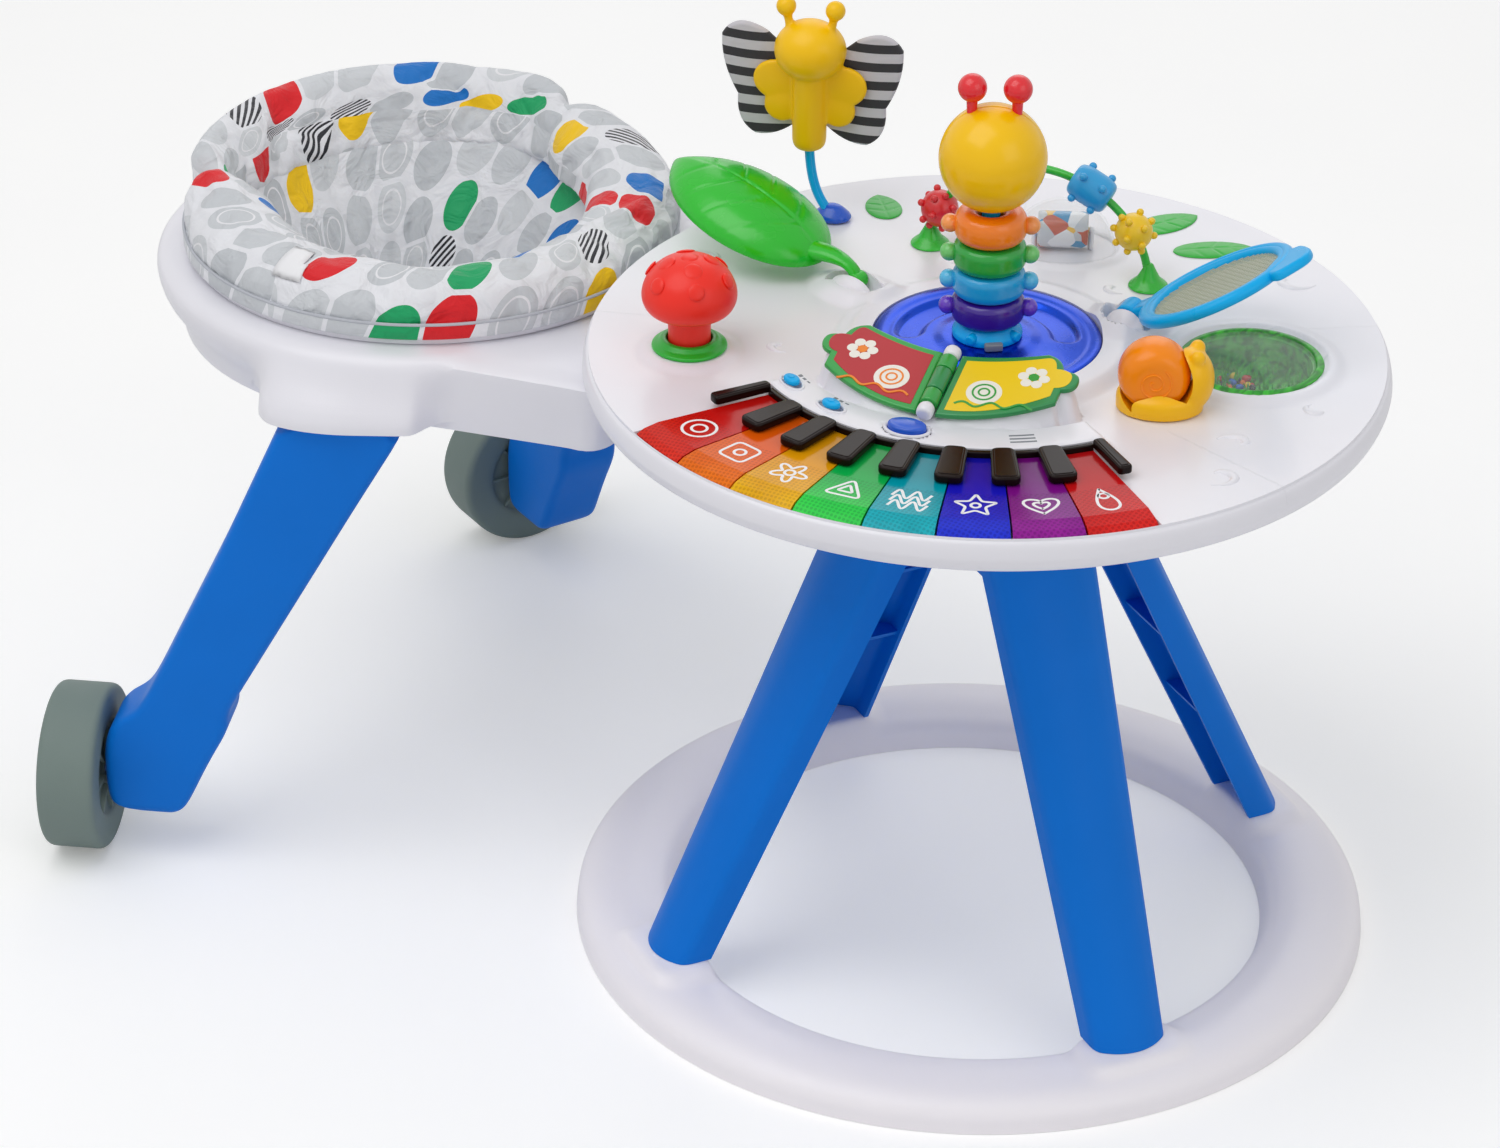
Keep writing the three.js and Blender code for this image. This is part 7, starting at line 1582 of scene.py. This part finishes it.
def shell_loop(height, inset=0.0):
    """The shell's outside at a height: its round wall, the apron and the two sockets, blended."""
    levels, radii = zip(*SHELL_PROFILE)
    wall = np.full(len(shell_turns), np.interp(height, levels, radii))
    shoulder = 30 * max(height - SHELL_SHOULDER, 0) ** 2 / 64
    reach = soft_max(wall, apron_reach(min(height, APRON_TOP)) - shoulder, 5)
    if height > SOCKET_BOTTOM:
        start, end = SOCKET_FADE
        fade = min(max((height - start) / (end - start), 0), 1) ** 1.7
        reach = soft_max(reach, sockets * (1 - fade) + (reach - SOCKET_BLEND) * fade, SOCKET_BLEND)
    return shell_outline(reach - inset, height)


inner = SHELL_BORE + SHELL_WALL
bore = [(SHELL_BORE, APRON_BOTTOM), (inner, APRON_BOTTOM), (inner, SHELL_TOP - 6)]
lip = [(SHELL_BORE + 3, SHELL_TOP), (SHELL_BORE + 0.8, SHELL_TOP - 0.6), (SHELL_BORE, SHELL_TOP - 3)]
loops = [shell_outline(*row) for row in bore]
loops += [shell_loop(height, SHELL_WALL) for height in SHELL_INSIDE]
loops += [shell_loop(height) for height in SHELL_OUTSIDE]
loops += [shell_outline(*row) for row in lip]
shell = Shape(np.vstack(loops), grid_faces(len(loops), len(shell_turns), True))
make_piece("seat_shell", shell.through(seat_place), white, "walker", ["walker_frame"], 45)


def tray(outline, bottom, top, edge, wall):
    """A box open below, with a rounded top edge."""
    rings = [(wall, top - wall), (wall, bottom), (0, bottom), (0, top - edge)]
    rings += [
        (edge * (1 - math.cos(a)), top - edge * (1 - math.sin(a))) for a in np.linspace(0.3, math.pi / 2, 4)
    ]
    return skin_over([level(inset_outline(outline, inset), z) for inset, z in rings])


arm = fillet([(ARM[0], -ARM_HALF), (ARM[1], -ARM_HALF + 14), (ARM[1], ARM_HALF - 14), (ARM[0], ARM_HALF)], 6)
make_piece("arm", tray(arm, ARM_BOTTOM, APRON_TOP, 8, SHELL_WALL).through(walker_place), white, "walker")
low, high = ARM_BOTTOM, APRON_TOP
collar = fillet([(COLLAR[0], low), (COLLAR[1], low), (COLLAR[1], high), (COLLAR[0], high)], 6)
make_piece("arm_collar", lathe(collar).through(walker_place), white, "walker")

# Walker legs
# Two blue mouldings with rounded edges. Each fills its socket, tapers to the knee and ends in a stout boss,
# which holds the axle with its rounded head.
WALKER_LEG_INNER = 446
WALKER_LEG_ACROSS = 265.5
WALKER_LEG_TOP = 415
WALKER_LEG_THICKNESS = 58
WALKER_LEG_EDGE = 9
WALKER_LEG_SHARES = [
    (0.395, 1), (0.608, 0.699), (0.86, 0.366), (0.898, 0.333), (0.97, 0.304), (1, 0.253), (1, 0.145), (0.98, 0.111),
    (0.799, 0.099), (0.755, 0.113), (0.675, 0.222), (0.604, 0.306), (0.606, 0.342), (0.181, 0.822), (0.02, 1),
]
WHEEL_REACH = 736
WHEEL_RADIUS = 69
WHEEL_HALF = 24
AXLE_RADIUS = 6
AXLE_HEAD = 11

walker_blue = moulded("walker_blue", "blue_plastic", "0074da", 0.44, 0.05, Specular_IOR_Level=0.16)
side_view = np.array(WALKER_LEG_SHARES) * (WALKER_LEG_ACROSS, WALKER_LEG_TOP) + (WALKER_LEG_INNER, 0)
side_view = fillet(side_view, 16, 5)
foot = side_view[:, 1].min()


def leg_loop(height):
    """The leg's section at a height: as wide as the side view there, with rounded corners."""
    here, after = side_view, np.roll(side_view, -1, 0)
    crossed = (here[:, 1] - height) * (after[:, 1] - height) < 0
    here, after = here[crossed], after[crossed]
    across = here[:, 0] + (height - here[:, 1]) / (after[:, 1] - here[:, 1]) * (after[:, 0] - here[:, 0])
    low, high = across.min(), across.max()
    lift = max(WALKER_LEG_EDGE - (height - foot), 0)
    half = WALKER_LEG_THICKNESS / 2 - WALKER_LEG_EDGE + math.sqrt(WALKER_LEG_EDGE**2 - lift**2)
    corners = fillet([(low, -half), (high, -half), (high, half), (low, half)], WALKER_LEG_EDGE, 6)
    return level(corners, height)


edge_heights = foot + WALKER_LEG_EDGE * (1 - np.cos(np.linspace(0.2, math.pi / 2, 6)))[:-1]
boss_heights = np.linspace(foot + WALKER_LEG_EDGE, 160, 44)
shank_heights = np.linspace(164, WALKER_LEG_TOP - 0.01, 26)
walker_leg = skin_over([leg_loop(height) for height in [*edge_heights, *boss_heights, *shank_heights]])
axle = [(0, -12), (AXLE_RADIUS, -12), (AXLE_RADIUS, 22), (AXLE_HEAD, 22), (AXLE_HEAD, 25), (6, 29), (0, 30)]
walker_leg += lathe(fillet(axle, 2, 3, False), 40, False).turn(90, "Y").at(WHEEL_REACH - 6, 0, WHEEL_RADIUS)
for name, turn in SOCKET_TURNS.items():
    place = turned(walker_place, turn)
    make_piece("leg_" + name, walker_leg.through(place), walker_blue, "walker", ["walker_leg_" + name], 36)

# Wheels
# Grey-green wheels of hard rubbery plastic with rounded shoulders and a dished, ribbed face. They turn on
# the axles that the legs hold.
wheel_grey = moulded("wheel_rubber", "wheel_grey", "74847f", 0.62, 0.06, 1.2e-4)
dish = WHEEL_HALF - 6
face = [(AXLE_RADIUS + 0.5, -dish), (13, -dish - 3), (16, -dish), (38, -dish), (42, -WHEEL_HALF)]
face.append((WHEEL_RADIUS, -WHEEL_HALF))
profile = face + [(radius, -height) for radius, height in face[::-1]]
wheel = lathe(fillet(profile, 7, 6), 120)
rib = plate([(15, -1.2), (40, -1.2), (40, 1.2), (15, 1.2)], -dish - 4, dish + 4, 0.6, 2)
wheel = joined([wheel, *(rib.turn(turn) for turn in range(0, 360, 45))])
wheel = wheel.turn(90, "Y").at(WHEEL_REACH, 0, WHEEL_RADIUS)
for name, turn in SOCKET_TURNS.items():
    place = turned(walker_place, turn)
    make_piece("roller_" + name, wheel.through(place), wheel_grey, "wheel_" + name, ["wheel_" + name], 36)

# Swivel ring
# A white moulded ring that hangs in the shell's bore by its flange and turns there. It carries the seat's
# fabric.
FLANGE_BOTTOM = 472.3
FLANGE_TOP = 477.8
section = [(164.5, 446.3), (170.5, 446.3), (170.5, FLANGE_BOTTOM), (198, FLANGE_BOTTOM), (198, FLANGE_TOP)]
section = fillet([*section, (164.5, FLANGE_TOP)], 1.6)
make_piece("swivel_ring", lathe(section, 160).through(seat_place), white, "seat", ["seat_ring"])

# Seat
# A padded collar with a tall back, sewn from printed satin cloth over wadding, with a sling below it that
# has two leg holes. A seam and a printed strip run round its foot, and pleats part the back from the roll.
PAD_BASE = 478.2
PAD_INNER = 122
PAD_OUTER = 200
ROLL_RISE = 42
BACK_RISE = 60
PLEATS = [150, 28]
FRONT_SEAM = -152
SIDE_SEAM = -62
ROLL = [
    (0.9, 0), (1, 0.1), (1, 0.36), (0.95, 0.63), (0.84, 0.86), (0.66, 0.98), (0.46, 1), (0.26, 0.9), (0.1, 0.68),
]
ROLL += [(0.02, 0.4), (0.06, 0.12), (0.24, 0.01), (0.5, 0), (0.75, 0)]
PANEL = [(0.9, 0), (1.0, 0.08), (1.03, 0.32), (1.04, 0.6), (1.02, 0.85), (0.97, 0.97), (0.9, 1), (0.82, 0.93)]
PANEL += [(0.7, 0.7), (0.56, 0.38), (0.46, 0.1), (0.48, 0.0), (0.6, 0), (0.75, 0)]
SLING = [(163, 486), (157.5, 474), (149, 461), (128, 440), (112, 412), (98, 384), (84, 352), (66, 334)]
SLING += [(40, 328.5), (14, 328), (2, 328)]
SLING_CLOTH = 2.2
LEG_HOLE_HEIGHT = 374
LEG_HOLE_RADIUS = 38
LEG_HOLE_TURN = 42
TAG_CLOTH = 0.8
WELT_REACH = 201.6
WELT_RADIUS = 1.3
STRIP = (198, 202.4)
STRIP_HEIGHT = 12.6
PEBBLE_SCALE = 30.0
PEBBLE_GAP = 0.045
SWELL = 4.0
SWELL_LIMIT = 8
SWELL_FRAMES = 20
SWELL_VOXEL = 5


def printed_cloth(name, rolled):
    """Satin cloth printed with pebbles in staggered rows, which run round the roll or up the sling."""
    cloth = Finish(name, "seat_fabric", Sheen_Weight=0.2, Sheen_Roughness=0.4, Specular_IOR_Level=0.35)
    centre = seat_place.translation / 1000
    from_centre = cloth.vector("SUBTRACT", cloth.place, (centre.x, centre.y, 0))
    axes = cloth.node("SeparateXYZ", {}, {0: from_centre})
    seam = math.radians(SEAT_TURN + FRONT_SEAM)
    ahead = axes["X"] * -math.cos(seam) + axes["Y"] * -math.sin(seam)
    aside = axes["X"] * math.sin(seam) + axes["Y"] * -math.cos(seam)
    turn = aside.math("ARCTAN2", aside, ahead)
    reach = cloth.vector("LENGTH", cloth.vector("MULTIPLY", from_centre, (1, 1, 0)), output="Value")
    along = axes["Z"] * 1.3
    if rolled:
        back = math.radians(SEAT_TURN + 90)
        behind = (axes["X"] * math.cos(back) + axes["Y"] * math.sin(back)) / reach
        panel = cloth.node("Clamp", {}, {0: (behind - 0.2) / 0.4})
        rise, run = axes["Z"] - 0.499 - panel * 0.01, reach - 0.161 - panel * 0.022
        along = rise.math("ARCTAN2", rise, run) * -0.036
    sheet = cloth.node("CombineXYZ", {}, {0: turn * 0.155 + along * 0.33, 1: along * 0.66})
    cells = {"Vector": sheet, "Scale": PEBBLE_SCALE, "Randomness": 0.34}
    pebble = cloth.node("TexVoronoi", {"feature": "F1", "voronoi_dimensions": "2D"}, cells)
    edge = cloth.node("TexVoronoi", {"feature": "DISTANCE_TO_EDGE", "voronoi_dimensions": "2D"}, cells)
    pick = cloth.node("SeparateColor", {}, {0: pebble["Color"]})
    inside = (edge > PEBBLE_GAP) * (pebble["Distance"] < 0.46)
    greys = cloth.mix(pick["Green"], tint("c6cacf"), tint("d8dbdf"))
    bright = [(0.0, "e01822"), (0.065, "14a565"), (0.135, "0f74c8"), (0.2, "fccc08"), (0.265, "e9e9ee")]
    stops = [(place, tint(code)) for place, code in bright]
    inks = cloth.node("ValToRGB", {"stops": stops, "hard": True}, {0: pick["Red"]})
    plain = pick["Red"] > 0.33
    banded = (pick["Red"] > 0.27) * (pick["Red"] < 0.33)
    bars = banded * ((turn * 130.0 + along * 900.0).sine() > 0.0)
    shade = cloth.mix(plain, inks, greys)
    shade = cloth.mix(bars, shade, tint("22222a"))
    veins = pebble.math("ABSOLUTE", pebble["Distance"] - 0.3) < 0.018
    shade = cloth.mix(veins * (pick["Blue"] > 0.75) * plain, shade, tint("eeeef2"))
    cloth.colour(cloth.mix(inside, tint("ecedf2"), shade))
    cloth.rough(0.48 + cloth.noise(60.0) * 0.14)
    crease = cloth.node(
        "TexNoise", {}, {"Vector": cloth.place, "Scale": 30.0, "Detail": 3.0, "Distortion": 1.6}
    )
    thread = cloth.noise(1800.0, 1.0)
    gathers = (turn * 44.0 + cloth.noise(8.0) * 9.0).sine()
    cloth.relief(crease + gathers * 0.1 + thread * 0.04, 5e-3)
    return cloth


cloth = printed_cloth("pad_print", True)
sling_cloth = printed_cloth("sling_print", False)


def angle_apart(turn, other):
    """From one turn to another the shorter way round, in degrees."""
    return (turn - other + 180) % 360 - 180


def pad_loop(turn):
    """The collar's section at a turn: the roll, or the panel at the back, drawn in at the seams."""
    back = ((1 + math.sin(math.radians(turn))) / 2) ** 1.3
    panel = float(1 - soft_step(abs(angle_apart(turn, 90)), 46, 80))
    section = np.array(ROLL) * (1 - panel) + np.array(PANEL) * panel
    rise = ROLL_RISE + (BACK_RISE - ROLL_RISE) * back + 4 * panel * back
    reach = PAD_INNER + section[:, 0] * (PAD_OUTER - PAD_INNER)
    height = PAD_BASE + section[:, 1] * rise
    tuck = max(math.exp(-((angle_apart(turn, pleat) / 3.2) ** 2)) for pleat in PLEATS)
    middle = (PAD_INNER + PAD_OUTER) / 2
    groove = max(math.exp(-((angle_apart(turn, seam) / 1.1) ** 2)) for seam in (FRONT_SEAM, SIDE_SEAM))
    reach = reach + (middle - reach) * (0.28 * tuck + 0.1 * groove) * (section[:, 1] > 0.05)
    height = height - (9 * tuck + 2.5 * groove) * (section[:, 1] > 0.3)
    angle = math.radians(turn)
    return np.stack([reach * math.cos(angle), reach * math.sin(angle), height], -1)


def swollen(piece, holds):
    """Cloth pressed out from inside: the piece is remeshed, blown up a little and fixed in that shape."""
    modify(piece, "even", "REMESH", mode="VOXEL", voxel_size=SWELL_VOXEL / 1000)
    settle(piece)
    start = np.empty(len(piece.data.vertices) * 3)
    piece.data.vertices.foreach_get("co", start)
    start = start.reshape(-1, 3)
    pins = piece.vertex_groups.new(name="seams")
    pins.add(np.nonzero(holds(start * 1000))[0].tolist(), 1.0, "REPLACE")
    sim = piece.modifiers.new("cloth", "CLOTH")
    sim.settings.vertex_group_mass = "seams"
    sim.settings.quality = 5
    sim.settings.use_pressure = True
    sim.settings.uniform_pressure_force = SWELL
    sim.settings.shrink_min = -0.035
    sim.settings.effector_weights.gravity = 0
    sim.point_cache.frame_end = SWELL_FRAMES
    for step in range(1, SWELL_FRAMES + 1):
        scene.frame_set(step)
    moved = np.empty(len(start) * 3)
    soft = piece.evaluated_get(bpy.context.evaluated_depsgraph_get()).to_mesh()
    soft.vertices.foreach_get("co", moved)
    shift = moved.reshape(-1, 3) - start
    far = np.maximum(np.linalg.norm(shift, axis=1) * 1000 / SWELL_LIMIT, 1)[:, None]
    piece.modifiers.clear()
    piece.data.vertices.foreach_set("co", (start + shift / far).ravel())
    piece.data.materials.clear()
    scene.frame_set(1)


def seam_holds(points):
    """Where the thread holds the pad's cloth: the foot all round, the pleats and the front seam."""
    local = np.array(seat_turned.inverted().to_3x3())
    centre = np.array(seat_turned.translation)
    flat = (points - centre) @ local.T
    turns = np.degrees(np.arctan2(flat[:, 1], flat[:, 0]))
    reach = np.hypot(flat[:, 0], flat[:, 1])
    held = points[:, 2] < PAD_BASE + 3
    for seam in [*PLEATS, FRONT_SEAM, SIDE_SEAM]:
        held |= np.abs(np.radians(angle_apart(turns, seam))) * reach < 3
    return held


seat_turned = turned(seat_place, SEAT_TURN)
pad = Shape(np.vstack([pad_loop(turn) for turn in np.arange(0, 360)]), grid_faces(360, len(ROLL), True))
pad_piece = make_piece("seat_collar", pad.through(seat_turned), cloth, "seat", ["seat_pad"], 180)
swollen(pad_piece, seam_holds)
pad_piece.data.materials.append(cloth.material)
pad_piece.data.shade_smooth()
modify(pad_piece, "round", "SUBSURF", levels=1, render_levels=1)

sling_rows = np.array(SLING, float)
steps = np.radians(np.arange(0, 360, 2.5))
radius, height = sling_rows[:, :1], sling_rows[:, 1:] + 0 * steps
folds = 1 + 0.012 * np.sin(11 * steps) * np.linspace(0, 1, len(sling_rows))[:, None]
grid = np.stack([radius * folds * np.cos(steps), radius * folds * np.sin(steps), height], -1).reshape(-1, 3)
sling_faces = []
for face in grid_faces(len(sling_rows), len(steps)):
    middle = grid[face].mean(0)
    turn = math.degrees(math.atan2(middle[1], middle[0]))
    away = min(abs(angle_apart(turn, -90 + side * LEG_HOLE_TURN)) for side in (-1, 1))
    aside = math.radians(away) * math.hypot(middle[0], middle[1])
    if math.hypot(aside, middle[2] - LEG_HOLE_HEIGHT) > LEG_HOLE_RADIUS:
        sling_faces.append(face)
sling = make_piece("sling", Shape(grid, sling_faces).through(seat_turned), sling_cloth, "seat", (), 180)
modify(sling, "cloth", "SOLIDIFY", thickness=SLING_CLOTH / 1000)

trim = moulded("seam_grey", "seat_fabric", "b9bcc4", 0.6, 0.05)
tag_white = moulded("tag_white", "seat_fabric", "f2f2f5", 0.6, 0.03)
felt = pad_piece.evaluated_get(bpy.context.evaluated_depsgraph_get())
tag_rows = []
for turn in np.linspace(FRONT_SEAM - 1, FRONT_SEAM + 7.5, 6):
    around = turned(seat_turned, turn)
    middle = around @ Vector(((PAD_INNER + PAD_OUTER) / 2, 0, 500))
    for lean in np.radians(np.linspace(20, 84, 8)):
        away = around.to_3x3() @ Vector((math.cos(lean), 0, math.sin(lean)))
        touched = felt.ray_cast((middle + away * 90) / 1000, -away)[1]
        tag_rows.append(touched * 1000 + away * 1.2)
tag = Shape(np.array(tag_rows), grid_faces(6, 8)[: 5 * 7])
tag_piece = make_piece("seat_tag", tag, tag_white, "seat", (), 180)
modify(tag_piece, "cloth", "SOLIDIFY", thickness=-TAG_CLOTH / 1000)
welt = level(circle(WELT_REACH, count=160), PAD_BASE + 13)
make_piece("seat_welt", tube(welt, WELT_RADIUS, 8, True).through(seat_turned), trim, "seat")
(inner, outer), low, high = STRIP, PAD_BASE, PAD_BASE + STRIP_HEIGHT
strip = lathe(fillet([(inner, low), (outer, low), (outer, high), (inner, high)], 1.4, 2), 180)
make_piece("seat_strip", strip.through(seat_turned), cloth, "seat", (), 60)

low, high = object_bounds()
